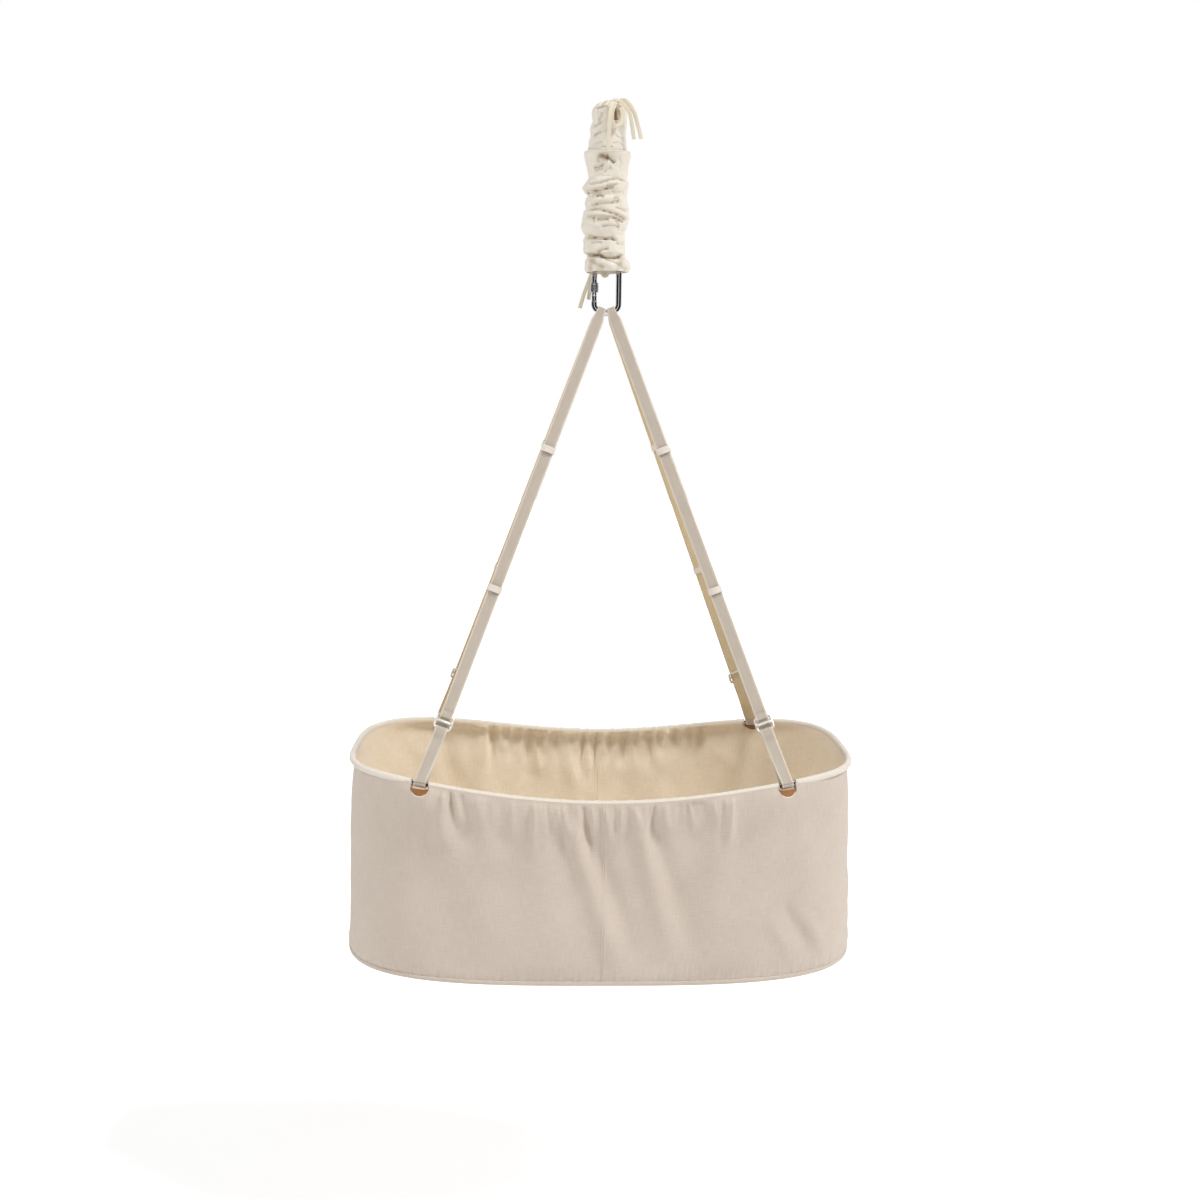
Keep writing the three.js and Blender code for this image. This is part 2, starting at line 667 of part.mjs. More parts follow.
function carabinerBody() {
  const side = HOOK_WIDTH / 2 - HOOK_WIRE_RADIUS;
  const path = hookPath();
  const wire = new FormulaCurve((share) => {
    const p = path.getPointAt(share);
    return vec(p.x, 0, p.y);
  });
  let joined = body(tubeAlong(wire, HOOK_WIRE_RADIUS, HOOK_SIDES, HOOK_STEPS));
  const tongueHeight = GATE_RADIUS + FIT + OVERRUN;
  const tongue = new THREE.BoxGeometry(2 * TONGUE_RADIUS, TONGUE_THICKNESS, tongueHeight);
  tongue.translate(-side, 0, -HINGE_DROP - tongueHeight / 2);
  const end = rod(TONGUE_RADIUS, TONGUE_THICKNESS, 2 * GATE_SIDES);
  end.translate(-side, 0, -HINGE_DROP);
  joined = joined.add(body(tongue)).add(body(end));
  joined = joined.subtract(crossBore(PIN_RADIUS + PIN_FIT, -HINGE_DROP)).subtract(noseRelief());
  return geometryOf(joined);
}

// The ring of metal turned off the nose, so that the lock nut can slide over it
function noseRelief() {
  const shape = circleShape(HOOK_WIRE_RADIUS + OVERRUN, GATE_SIDES);
  shape.holes.push(circleShape(GATE_RADIUS, GATE_SIDES));
  const ring = new THREE.ExtrudeGeometry(shape, { depth: NOSE_TURNED + OVERRUN, bevelEnabled: false });
  ring.translate(-(HOOK_WIDTH / 2 - HOOK_WIRE_RADIUS), 0, NOSE_HEIGHT - OVERRUN);
  return body(ring);
}

function carabinerGate() {
  const side = HOOK_WIDTH / 2 - HOOK_WIRE_RADIUS;
  const top = NOSE_HEIGHT - FIT - FIT / 2;
  const bar = rod(GATE_RADIUS, top + HINGE_DROP, GATE_SIDES);
  bar.rotateX(Math.PI / 2);
  bar.translate(-side, 0, (top - HINGE_DROP) / 2);
  const heel = rod(GATE_RADIUS, 2 * GATE_RADIUS, GATE_SIDES);
  heel.rotateX(Math.PI / 2);
  heel.translate(-side, 0, -HINGE_DROP);
  const round = rod(GATE_RADIUS, 2 * GATE_RADIUS + 2 * OVERRUN, 2 * GATE_SIDES);
  round.translate(-side, 0, -HINGE_DROP);
  let joined = body(bar).add(body(heel).intersect(body(round)));
  const slotTop = TONGUE_RADIUS + 2 * FIT;
  const slot = new THREE.BoxGeometry(
    2 * GATE_RADIUS + 2 * OVERRUN,
    TONGUE_THICKNESS + 2 * FIT,
    2 * slotTop + 2 * OVERRUN,
  );
  slot.translate(-side, 0, -HINGE_DROP - OVERRUN);
  const bore = rod(GATE_BORE_RADIUS, GATE_BORE_DEPTH + OVERRUN, GATE_SIDES);
  bore.rotateX(Math.PI / 2);
  bore.translate(-side, 0, slotTop - HINGE_DROP + (GATE_BORE_DEPTH - OVERRUN) / 2);
  joined = joined.subtract(body(slot)).subtract(body(bore));
  joined = joined.subtract(crossBore(PIN_RADIUS + PIN_FIT, -HINGE_DROP));
  return geometryOf(joined);
}

function gatePin() {
  const pin = rod(PIN_RADIUS, 2 * GATE_RADIUS - 2 * FIT, GATE_SIDES);
  pin.translate(-(HOOK_WIDTH / 2 - HOOK_WIRE_RADIUS), 0, -HINGE_DROP);
  return pin;
}

function gateSpring() {
  const side = HOOK_WIDTH / 2 - HOOK_WIRE_RADIUS;
  const low = -HINGE_DROP + TONGUE_RADIUS + FIT + GATE_SPRING_WIRE;
  const high = -HINGE_DROP + TONGUE_RADIUS + 2 * FIT + GATE_BORE_DEPTH - FIT - GATE_SPRING_WIRE;
  const points = [];
  const count = GATE_SPRING_CURLS * COIL_STEPS;
  for (let i = 0; i <= count; i++) {
    const angle = (2 * Math.PI * i) / COIL_STEPS;
    const place = polar(GATE_SPRING_RADIUS, angle, mix(low, high, i / count));
    points.push(place.add(vec(-side, 0, 0)));
  }
  leastGap('gate_spring', points, GATE_SPRING_WIRE, COIL_STEPS - 1);
  return woundTube(points, GATE_SPRING_WIRE, GATE_SPRING_SIDES);
}

// The lock nut is a knurled ring that screws along the gate to cover its joint with the nose
function lockNut() {
  const shape = new THREE.Shape();
  for (let i = 0; i < 2 * NUT_RIBS; i++) {
    const radius = i % 2 ? NUT_RADIUS : NUT_RADIUS - NUT_GROOVE;
    const angle = (Math.PI * i) / NUT_RIBS;
    const x = radius * Math.cos(angle);
    const y = radius * Math.sin(angle);
    if (i === 0) {
      shape.moveTo(x, y);
    } else {
      shape.lineTo(x, y);
    }
  }
  shape.closePath();
  const boreRadius = (GATE_RADIUS + FIT) / Math.cos(Math.PI / NUT_RIBS);
  shape.holes.push(circleShape(boreRadius, NUT_RIBS));
  const ring = new THREE.ExtrudeGeometry(shape, { depth: NUT_LENGTH, bevelEnabled: false });
  ring.translate(-(HOOK_WIDTH / 2 - HOOK_WIRE_RADIUS), 0, -NUT_DROP - NUT_LENGTH / 2);
  return ring;
}

// Rim line, a superellipse whose ends rise

function superY(x, length, width, power) {
  const share = Math.min(1, Math.abs(x) / (length / 2));
  return (width / 2) * (1 - share ** power) ** (1 / power);
}

function rimRise(x) {
  const share = (2 * x / RIM_LENGTH) ** 2;
  return RIM_END_RISE * (RIM_PEAK_SHARE * share - (RIM_PEAK_SHARE - 1) * share * share);
}

function superPoint(angle, length, width, power) {
  const c = Math.cos(angle);
  const s = Math.sin(angle);
  const x = (length / 2) * Math.sign(c) * Math.abs(c) ** (2 / power);
  const y = (width / 2) * Math.sign(s) * Math.abs(s) ** (2 / power);
  return new THREE.Vector2(x, y);
}

function superShape(length, width, power, count) {
  const points = [];
  for (let i = 0; i < count; i++) {
    points.push(superPoint((2 * Math.PI * i) / count, length, width, power));
  }
  return new THREE.Shape(points);
}

// The rim line by its length, from the right end round by the back
const RIM_SAMPLES = 4000;

function rimTable() {
  const points = [];
  const lengths = [0];
  for (let i = 0; i <= RIM_SAMPLES; i++) {
    const p = superPoint((2 * Math.PI * i) / RIM_SAMPLES, RIM_LENGTH, RIM_WIDTH, RIM_POWER);
    points.push(vec(p.x, p.y, rimZ + rimRise(p.x)));
    if (i > 0) {
      lengths.push(lengths[i - 1] + points[i].distanceTo(points[i - 1]));
    }
  }
  return { points, lengths, total: lengths[RIM_SAMPLES] };
}

const rim = rimTable();

function rimAt(length) {
  const wanted = ((length % rim.total) + rim.total) % rim.total;
  let low = 0;
  let high = RIM_SAMPLES;
  while (high - low > 1) {
    const middle = Math.floor((low + high) / 2);
    if (rim.lengths[middle] > wanted) {
      high = middle;
    } else {
      low = middle;
    }
  }
  const share = (wanted - rim.lengths[low]) / (rim.lengths[high] - rim.lengths[low]);
  return rim.points[low].clone().lerp(rim.points[high], share);
}

// How far along the rim line a strap's middle is. side is 1 right and -1 left, face is 1 back
// and -1 front.
function strapLength(side, face) {
  let best = 0;
  for (let i = 0; i < RIM_SAMPLES; i++) {
    const p = rim.points[i];
    const near = Math.abs(p.x - side * STRAP_PLACE);
    if (Math.sign(p.y) === face && near < Math.abs(rim.points[best].x - side * STRAP_PLACE)) {
      best = i;
    } else if (Math.sign(rim.points[best].y) !== face && Math.sign(p.y) === face) {
      best = i;
    }
  }
  return rim.lengths[best];
}

function rimStretch(start, end, shape, steps) {
  const curve = new FormulaCurve((share) => rimAt(mix(start, end, share)));
  return new THREE.ExtrudeGeometry(shape, { steps, extrudePath: curve });
}

// A half of the rim tube, with a socket in each end for the ferrule that joins it to the other
function rimTube(face) {
  const half = rim.total / 2;
  const start = face > 0 ? FIT / 2 : half + FIT / 2;
  const shape = circleShape(RIM_TUBE_RADIUS, RIM_SIDES);
  let joined = body(rimStretch(start, start + half - FIT, shape, RIM_STEPS));
  for (const side of [-1, 1]) {
    const socket = rod(FERRULE_RADIUS + FERRULE_FIT, FERRULE_LENGTH + 2 * FIT, RIM_SIDES);
    socket.translate(side * RIM_LENGTH / 2, 0, rimZ + rimRise(RIM_LENGTH / 2));
    joined = joined.subtract(body(socket));
  }
  return geometryOf(joined);
}

function rimFerrule(side) {
  const pin = rod(FERRULE_RADIUS, FERRULE_LENGTH, RIM_SIDES);
  pin.translate(side * RIM_LENGTH / 2, 0, rimZ + rimRise(RIM_LENGTH / 2));
  return pin;
}

function hem(start, end, steps) {
  const shape = circleShape(HEM_RADIUS, HEM_SIDES);
  shape.holes.push(circleShape(HEM_RADIUS - HEM_THICKNESS, HEM_SIDES));
  return rimStretch(start + NOTCH_WIDTH / 2, end - NOTCH_WIDTH / 2, shape, steps);
}

// Webbing

const LOOP_RADIUS = RIM_TUBE_RADIUS + LOOSE + WEB_THICKNESS / 2; // strap round the rim tube
const FOLD_RADIUS = HOOK_WIRE_RADIUS + FOLD_CLEAR + WEB_THICKNESS / 2; // strap over the bow

// One leg of a sling. A sling lies in a plane that holds the bow's centre of curvature, so it
// pulls square on the bow, and meets the rim tube on its inner side. down runs in that plane away
// from the bow, across is the way across the webbing, out the way its outer side faces, inward
// the way that its inner side faces and up the way back to the carabiner.
function slingLeg(side, face) {
  const centre = vec(0, 0, bowZ);
  const tube = vec(side * STRAP_PLACE, 0, strapRimZ);
  const down = tube.clone().sub(centre).normalize();
  const across = vec(-down.z, 0, down.x);
  const fold = centre.clone().addScaledVector(down, HOOK_BOW_RADIUS);
  const outward = vec(0, face, 0);
  tube.y = face * superY(STRAP_PLACE, RIM_LENGTH, RIM_WIDTH, RIM_POWER);
  const far = tube.clone().sub(fold);
  const reachDown = far.dot(down);
  const reachOut = Math.abs(tube.y) - LOOP_RADIUS;
  const distance = Math.hypot(reachDown, reachOut);
  const angle = Math.atan2(reachOut, reachDown) - Math.asin(FOLD_RADIUS / distance);
  const way = down.clone().multiplyScalar(Math.cos(angle));
  way.addScaledVector(outward, Math.sin(angle));
  const out = down.clone().multiplyScalar(-Math.sin(angle));
  out.addScaledVector(outward, Math.cos(angle));
  const top = fold.clone().addScaledVector(out, FOLD_RADIUS);
  const length = Math.sqrt(distance * distance - FOLD_RADIUS * FOLD_RADIUS);
  const up = way.clone().negate();
  const start = top.clone().addScaledVector(way, length);
  const step = NOTCH_WIDTH / 2;
  const middle = strapLength(side, face);
  const tangent = rimAt(middle + step).sub(rimAt(middle - step)).normalize();
  if (tangent.dot(across) < 0) {
    tangent.negate();
  }
  const square = up.clone().addScaledVector(tangent, -up.dot(tangent)).normalize();
  const open = out.clone().addScaledVector(tangent, -out.dot(tangent));
  open.addScaledVector(square, -open.dot(square)).normalize();
  const inward = out.clone().negate();
  const at = (along) => start.clone().addScaledVector(up, along);
  return { tube, down, across, fold, outward, out, inward, up, angle, length, tangent, square, open, at };
}

// Rings round the underside of the rim tube, from its outer side to its inner side
function loopRings(leg) {
  const rings = [];
  for (let i = 0; i <= LOOP_STEPS; i++) {
    const turn = Math.PI * (i / LOOP_STEPS);
    const out = leg.open.clone().multiplyScalar(Math.cos(turn));
    out.addScaledVector(leg.square, -Math.sin(turn));
    const middle = leg.tube.clone().addScaledVector(out, LOOP_RADIUS);
    rings.push(strapRing(middle, leg.tangent, out, WEB_WIDTH / 2, WEB_THICKNESS / 2));
  }
  return rings;
}

// Rings of a strap that turns from one way of lying to another on a straight line
function twistRings(from, to, steps) {
  const rings = [];
  const along = to.middle.clone().sub(from.middle).normalize();
  for (let i = 1; i < steps; i++) {
    const share = i / steps;
    const across = from.across.clone().lerp(to.across, ease(share)).normalize();
    const guess = from.out.clone().lerp(to.out, ease(share));
    const out = guess.addScaledVector(across, -guess.dot(across)).normalize();
    const middle = from.middle.clone().addScaledVector(along, from.middle.distanceTo(to.middle) * share);
    rings.push(strapRing(middle, across, out, WEB_WIDTH / 2, WEB_THICKNESS / 2));
  }
  return rings;
}

const TWIST_UP = SLIDER_UP / 2; // above this the strap lies flat, so that the slider can run on it

function legRings(leg) {
  const rings = loopRings(leg);
  const from = {
    middle: leg.tube.clone().addScaledVector(leg.open, -LOOP_RADIUS),
    across: leg.tangent,
    out: leg.open.clone().negate(),
  };
  const to = { middle: leg.at(TWIST_UP), across: leg.across, out: leg.inward };
  rings.push(...twistRings(from, to, TWIST_STEPS));
  rings.push(strapRing(to.middle, leg.across, leg.inward, WEB_WIDTH / 2, WEB_THICKNESS / 2));
  for (let i = 0; i <= LEG_STEPS; i++) {
    const share = i / LEG_STEPS;
    const middle = leg.at(leg.length - FOLD_TAPER * (1 - share));
    const width = mix(WEB_WIDTH, FOLD_WIDTH, ease(share));
    rings.push(strapRing(middle, leg.across, leg.inward, width / 2, WEB_THICKNESS / 2));
  }
  return rings;
}

function sling(side) {
  const front = slingLeg(side, -1);
  const back = slingLeg(side, 1);
  const rings = legRings(front);
  for (let i = 1; i < FOLD_STEPS; i++) {
    const turn = mix(-(Math.PI / 2 - front.angle), Math.PI / 2 - front.angle, i / FOLD_STEPS);
    const out = front.down.clone().multiplyScalar(-Math.cos(turn));
    out.addScaledVector(back.outward, Math.sin(turn));
    const middle = front.fold.clone().addScaledVector(out, FOLD_RADIUS);
    rings.push(strapRing(middle, front.across, out.negate(), FOLD_WIDTH / 2, WEB_THICKNESS / 2));
  }
  rings.push(...legRings(back).reverse());
  return loft(rings);
}

// The strap's end: from the outer side of the rim tube up in front of the strap, over the slider's
// bottom bar and down behind it as a short sewn tab
function returnStrap(side, face) {
  const leg = slingLeg(side, face);
  const rings = [];
  const place = (up, depth) => leg.at(SLIDER_UP + up).addScaledVector(leg.out, depth);
  const add = (middle, out) => {
    rings.push(strapRing(middle, leg.across, out, WEB_WIDTH / 2, WEB_THICKNESS / 2));
  };
  const outer = leg.tube.clone().addScaledVector(leg.open, LOOP_RADIUS);
  outer.addScaledVector(leg.square, FIT);
  rings.push(strapRing(outer, leg.tangent, leg.open, WEB_WIDTH / 2, WEB_THICKNESS / 2));
  const toBar = (SLIDER_HEIGHT - SLIDER_RIM) / 2;
  const barUp = -toBar * Math.cos(SLIDER_TILT);
  const barOut = SLIDER_SET_OUT + (toBar + SLIDER_RIM / 2) * Math.sin(SLIDER_TILT);
  const barHalf = (SLIDER_THICKNESS / 2) * Math.cos(SLIDER_TILT);
  const tabDepth = WEB_THICKNESS + FIT;
  const frontDepth = barOut + barHalf + FIT + WEB_THICKNESS / 2;
  const low = { middle: place(barUp - TAB_LENGTH, TAB_CLOSE), across: leg.across, out: leg.out };
  rings.push(...twistRings({ middle: outer, across: leg.tangent, out: leg.open }, low, TWIST_STEPS));
  add(low.middle, leg.out);
  add(place(barUp - RETURN_REACH, frontDepth), leg.out);
  const turnRadius = (frontDepth - tabDepth) / 2;
  for (let i = 0; i <= RETURN_STEPS; i++) {
    const turn = (Math.PI * i) / RETURN_STEPS;
    const out = leg.out.clone().multiplyScalar(Math.cos(turn));
    out.addScaledVector(leg.up, Math.sin(turn));
    const middle = place(barUp + RETURN_SHIFT, tabDepth + turnRadius);
    add(middle.addScaledVector(out, turnRadius), out);
  }
  add(place(barUp - TAB_LENGTH, tabDepth), leg.inward);
  return loft(rings);
}

// Sets a mesh whose X runs across a strap, Y up it and Z out of it
function onStrap(mesh, leg, along) {
  const basis = new THREE.Matrix4();
  const across = leg.up.clone().cross(leg.out).normalize();
  basis.makeBasis(across, leg.up, leg.out);
  mesh.quaternion.setFromRotationMatrix(basis);
  mesh.position.copy(leg.at(along));
  return mesh;
}

function roundedRectangle(target, width, height, corner) {
  const x = width / 2;
  const y = height / 2;
  target.moveTo(-x + corner, -y);
  target.lineTo(x - corner, -y);
  target.quadraticCurveTo(x, -y, x, -y + corner);
  target.lineTo(x, y - corner);
  target.quadraticCurveTo(x, y, x - corner, y);
  target.lineTo(-x + corner, y);
  target.quadraticCurveTo(-x, y, -x, y - corner);
  target.lineTo(-x, -y + corner);
  target.quadraticCurveTo(-x, -y, -x + corner, -y);
  return target;
}

// A slider: a tilted frame round the strap, with a middle bar that bows out in front of it
function sliderGeometry() {
  const shape = roundedRectangle(new THREE.Shape(), SLIDER_WIDTH, SLIDER_HEIGHT, SLIDER_CORNER);
  const openWidth = WEB_WIDTH + 2 * SLIDER_SIDE_FIT;
  const openHeight = SLIDER_HEIGHT - 2 * SLIDER_RIM;
  shape.holes.push(roundedRectangle(new THREE.Path(), openWidth, openHeight, SLIDER_CORNER / 2));
  const options = { depth: SLIDER_THICKNESS, bevelEnabled: false, curveSegments: SLIDER_CURVE_STEPS };
  const frame = new THREE.ExtrudeGeometry(shape, options);
  frame.translate(0, 0, -SLIDER_THICKNESS / 2);
  const inner = openWidth / 2;
  const outer = inner + BAR_LEG;
  const arch = (reach, height) => [...Array(BAR_POINTS + 1).keys()].map((i) => new THREE.Vector2(
    mix(reach, -reach, i / BAR_POINTS),
    height + BAR_BOW * Math.sin((Math.PI * i) / BAR_POINTS),
  ));
  const outline = new THREE.Shape([
    new THREE.Vector2(outer, 0),
    ...arch(outer, BAR_CLEAR + BAR_THICKNESS),
    new THREE.Vector2(-outer, 0),
    new THREE.Vector2(-inner, 0),
    ...arch(-inner, BAR_CLEAR),
    new THREE.Vector2(inner, 0),
  ]);
  const bar = new THREE.ExtrudeGeometry(outline, { depth: BAR_HEIGHT, bevelEnabled: false });
  bar.translate(0, 0, -BAR_HEIGHT / 2);
  bar.rotateX(Math.PI / 2);
  const slider = geometryOf(body(frame).add(body(bar)));
  slider.rotateX(-SLIDER_TILT);
  slider.translate(0, 0, SLIDER_SET_OUT);
  return slider;
}

// A keeper: a short sewn sleeve of webbing round the strap, bulging on its outer side
function keeperGeometry() {
  const half = WEB_WIDTH / 2 + FIT;
  const low = -WEB_THICKNESS / 2 - FIT;
  const outline = (grow) => {
    const points = [new THREE.Vector2(-half - grow, low - grow), new THREE.Vector2(half + grow, low - grow)];
    for (let i = 0; i <= KEEPER_POINTS; i++) {
      const x = mix(half, -half, i / KEEPER_POINTS);
      const bulge = KEEPER_BULGE * Math.sin((Math.PI * i) / KEEPER_POINTS);
      points.push(new THREE.Vector2(x * (1 + grow / half), -low + bulge + grow));
    }
    return points;
  };
  const shape = new THREE.Shape(outline(KEEPER_THICKNESS));
  shape.holes.push(new THREE.Path(outline(0)));
  const band = new THREE.ExtrudeGeometry(shape, { depth: KEEPER_HEIGHT, bevelEnabled: false });
  band.translate(0, 0, -KEEPER_HEIGHT / 2);
  band.rotateX(-Math.PI / 2);
  return band;
}

// Basket

// A point of the wall. share runs from the hem at 0 to the floor at 1.
function wallPoint(angle, share, inset) {
  const widen = Math.sin((Math.PI / 2) * share);
  const trim = 2 * WALL_INSET;
  const bulge = 2 * WALL_BULGE * Math.sin(Math.PI * Math.min(1, share * 2)) * (1 - share);
  const length = mix(RIM_LENGTH - trim, BASE_LENGTH, widen) + bulge - 2 * inset;
  const width = mix(RIM_WIDTH - trim, BASE_WIDTH, widen) + bulge - 2 * inset;
  const power = mix(RIM_POWER, BASE_POWER, share);
  const p = superPoint(angle, length, width, power);
  const under = superPoint(angle, RIM_LENGTH - trim, RIM_WIDTH - trim, RIM_POWER);
  const topZ = rimZ + rimRise(under.x) - HEM_RADIUS - FIT;
  const bottomZ = panelTopZ + FIT;
  const window = Math.sin(Math.PI * share) ** WALL_WINDOW_POWER;
  const slant = WALL_SLANT * Math.cos(2 * angle) * share;
  const fold = WALL_FOLD_DEPTH * window * Math.sin(WALL_FOLDS * angle + slant) * Math.cos(angle * 2) / 2;
  const out = new THREE.Vector2(p.x / length / length, p.y / width / width).normalize();
  p.addScaledVector(out, fold);
  return vec(p.x, p.y, mix(topZ, bottomZ, share));
}

// The wall is sewn from two halves that meet in the middle of the front and of the back
function wallHalf(side) {
  const outer = [];
  const inner = [];
  for (let i = 0; i <= WALL_ROWS; i++) {
    const share = i / WALL_ROWS;
    const angles = [...Array(WALL_COLUMNS).keys()].map((j) => (2 * Math.PI * (j + 0.5)) / WALL_COLUMNS);
    outer.push(angles.map((angle) => wallPoint(angle, share, 0)));
    inner.push(angles.map((angle) => wallPoint(angle, share, WALL_THICKNESS)));
  }
  let joined = body(shell(outer, inner));
  for (const face of [-1, 1]) {
    joined = joined.subtract(notchCutter(side, face));
  }
  return geometryOf(joined.trimByPlane([side, 0, 0], FIT / 2));
}

// A block with rounded lower corners that cuts the strap notch out of the wall's top edge
function notchCutter(side, face) {
  const leg = slingLeg(side, face);
  const height = 2 * NOTCH_DEPTH;
  const shape = roundedRectangle(new THREE.Shape(), NOTCH_WIDTH, height, NOTCH_CORNER);
  const depth = NOTCH_WIDTH + NOTCH_DEPTH;
  const options = { depth, bevelEnabled: false, curveSegments: NOTCH_CURVE_STEPS };
  const block = new THREE.ExtrudeGeometry(shape, options);
  block.translate(0, 0, -depth / 2);
  block.rotateX(Math.PI / 2);
  block.rotateZ(Math.atan2(leg.tangent.y, leg.tangent.x));
  block.translate(leg.tube.x, leg.tube.y, leg.tube.z);
  return body(block);
}

// The bottom panel is a cloth tray whose edge turns up outside the board
function bottomPanel() {
  const outline = superShape(BASE_LENGTH, BASE_WIDTH, BASE_POWER, WALL_COLUMNS);
  const tray = new THREE.ExtrudeGeometry(outline, { depth: BAND_UP, bevelEnabled: false });
  tray.translate(0, 0, floorZ);
  const trim = 2 * PANEL_THICKNESS;
  const pocketShape = superShape(BASE_LENGTH - trim, BASE_WIDTH - trim, BASE_POWER, WALL_COLUMNS);
  const pocket = new THREE.ExtrudeGeometry(pocketShape, { depth: BAND_UP, bevelEnabled: false });
  pocket.translate(0, 0, floorZ + PANEL_THICKNESS);
  return geometryOf(body(tray).subtract(body(pocket)));
}

function baseBoard() {
  const trim = 2 * (PANEL_THICKNESS + FIT);
  const outline = superShape(BASE_LENGTH - trim, BASE_WIDTH - trim, BASE_POWER, WALL_COLUMNS);
  const plate = new THREE.ExtrudeGeometry(outline, { depth: BOARD_THICKNESS, bevelEnabled: false });
  plate.translate(0, 0, boardZ);
  return plate;
}

// The mattress is flat below, drawn in at its sides and crowned above. Each row of shares gives
// a ring's height in the side and how far it draws in, in waists.
const MATTRESS_SIDE_SHARES = [[0, 2], [0.12, 0], [0.5, 1], [0.88, 0], [1, 2]];
const MATTRESS_TOP_SHARES = [[0.82, 0.6], [0.55, 0.88], [0.2, 1]];

function mattress() {
  const ring = (length, width, z) => {
    const points = [];
    for (let j = 0; j < MATTRESS_COLUMNS; j++) {
      const p = superPoint((2 * Math.PI * (j + 0.5)) / MATTRESS_COLUMNS, length, width, MATTRESS_POWER);
      points.push(vec(p.x, p.y, z));
    }
    return points;
  };
  const rings = MATTRESS_SIDE_SHARES.map(([up, drawn]) => {
    const trim = 2 * drawn * MATTRESS_WAIST;
    return ring(MATTRESS_LENGTH - trim, MATTRESS_WIDTH - trim, mattressZ + up * MATTRESS_THICKNESS);
  });
  for (const [size, rise] of MATTRESS_TOP_SHARES) {
    const z = mattressZ + MATTRESS_THICKNESS + rise * MATTRESS_CROWN;
    rings.push(ring(MATTRESS_LENGTH * size, MATTRESS_WIDTH * size, z));
  }
  return loft(rings);
}

// Assembly

const cradle = new THREE.Group();

function add(name, geometry, look, parent = cradle) {
  const mesh = new THREE.Mesh(geometry, look);
  mesh.name = name;
  parent.add(mesh);
  return mesh;
}

add('spring_upper_eye', springEye(upperEyeZ, 1), springSteel());
add('spring_coil', springCoil(), springSteel());
add('safety_cord', safetyCord(), nylon());
add('spring_lower_eye', springEye(lowerEyeZ, -1), springSteel());
add('sleeve_hood', sleeveHood(), cotton());
add('spring_sleeve', springSleeve(), cotton());
add('sleeve_hem', sleeveHem(), cotton());
const knot = add('drawstring_knot', drawstringKnot(), cotton());
knot.position.set(KNOT_WIDTH, KNOT_SET_BACK - HOOD_RADIUS, 0);
add('drawstring_bow', tape(BOW_LOOP_ROUTE, FACING_FRONT), cotton());
add('drawstring_tail_left', tape(TAIL_LEFT_ROUTE, FACING_FRONT), cotton());
add('drawstring_tail_right', tape(TAIL_RIGHT_ROUTE, FACING_FRONT), cotton());
add('drawstring_tail_short', tape(TAIL_SHORT_ROUTE, FACING_FRONT), cotton());
add('tie_tape', tieTape(), cotton());
add('tie_tail_long', tape(TIE_LONG_ROUTE, FACING_FRONT), cotton());
add('tie_tail_short', tape(TIE_SHORT_ROUTE, FACING_FRONT), cotton());

const hook = new THREE.Group();
hook.position.z = hookZ;
cradle.add(hook);
add('carabiner_body', carabinerBody(), polished(), hook);
add('carabiner_gate', carabinerGate(), polished(), hook);
add('gate_pin', gatePin(), polished(), hook);
add('gate_spring', gateSpring(), springSteel(), hook);
add('lock_nut', lockNut(), polished(), hook);

for (const [sideName, side] of [['left', -1], ['right', 1]]) {
  add(`sling_${sideName}`, sling(side), webbing());
  for (const [faceName, face] of [['front', -1], ['back', 1]]) {
    const place = `${faceName}_${sideName}`;
    const leg = slingLeg(side, face);
    add(`strap_end_${place}`, returnStrap(side, face), webbing());
    onStrap(add(`slider_${place}`, sliderGeometry(), castSilver()), leg, SLIDER_UP);
    KEEPER_UP.forEach((along, i) => {
      const level = i === 0 ? 'low' : 'high';
      onStrap(add(`keeper_${level}_${place}`, keeperGeometry(), webbing()), leg, along);
    });
  }
  add(`rim_ferrule_${sideName}`, rimFerrule(side), polished());
  add(`wall_${sideName}`, wallHalf(side), canvasInside());
}
add('rim_tube_front', rimTube(-1), polished());
add('rim_tube_back', rimTube(1), polished());
const corners = [[1, 1], [-1, 1], [-1, -1], [1, -1]].map(([s, f]) => strapLength(s, f));
add('hem_back', hem(corners[0], corners[1], HEM_LONG_STEPS), canvas());
add('hem_left', hem(corners[1], corners[2], HEM_END_STEPS), canvas());
add('hem_front', hem(corners[2], corners[3], HEM_LONG_STEPS), canvas());
add('hem_right', hem(corners[3], corners[0] + rim.total, HEM_END_STEPS), canvas());
add('bottom_panel', bottomPanel(), canvas());
add('base_board', baseBoard(), board());
add('mattress', mattress(), quilted());

export default cradle;
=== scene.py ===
"""Dresses a baby cradle that hangs from a spring: cotton sleeve, steel hook, webbing and basket.

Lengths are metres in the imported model's frame. The origin is the point inside the spring's upper
eye that the ceiling hook bears on, +Z is up and +X runs along the basket.
"""

from types import SimpleNamespace

import bpy
import numpy as np
from bpy.props import FloatProperty, FloatVectorProperty, IntProperty, PointerProperty
from mathutils import Matrix


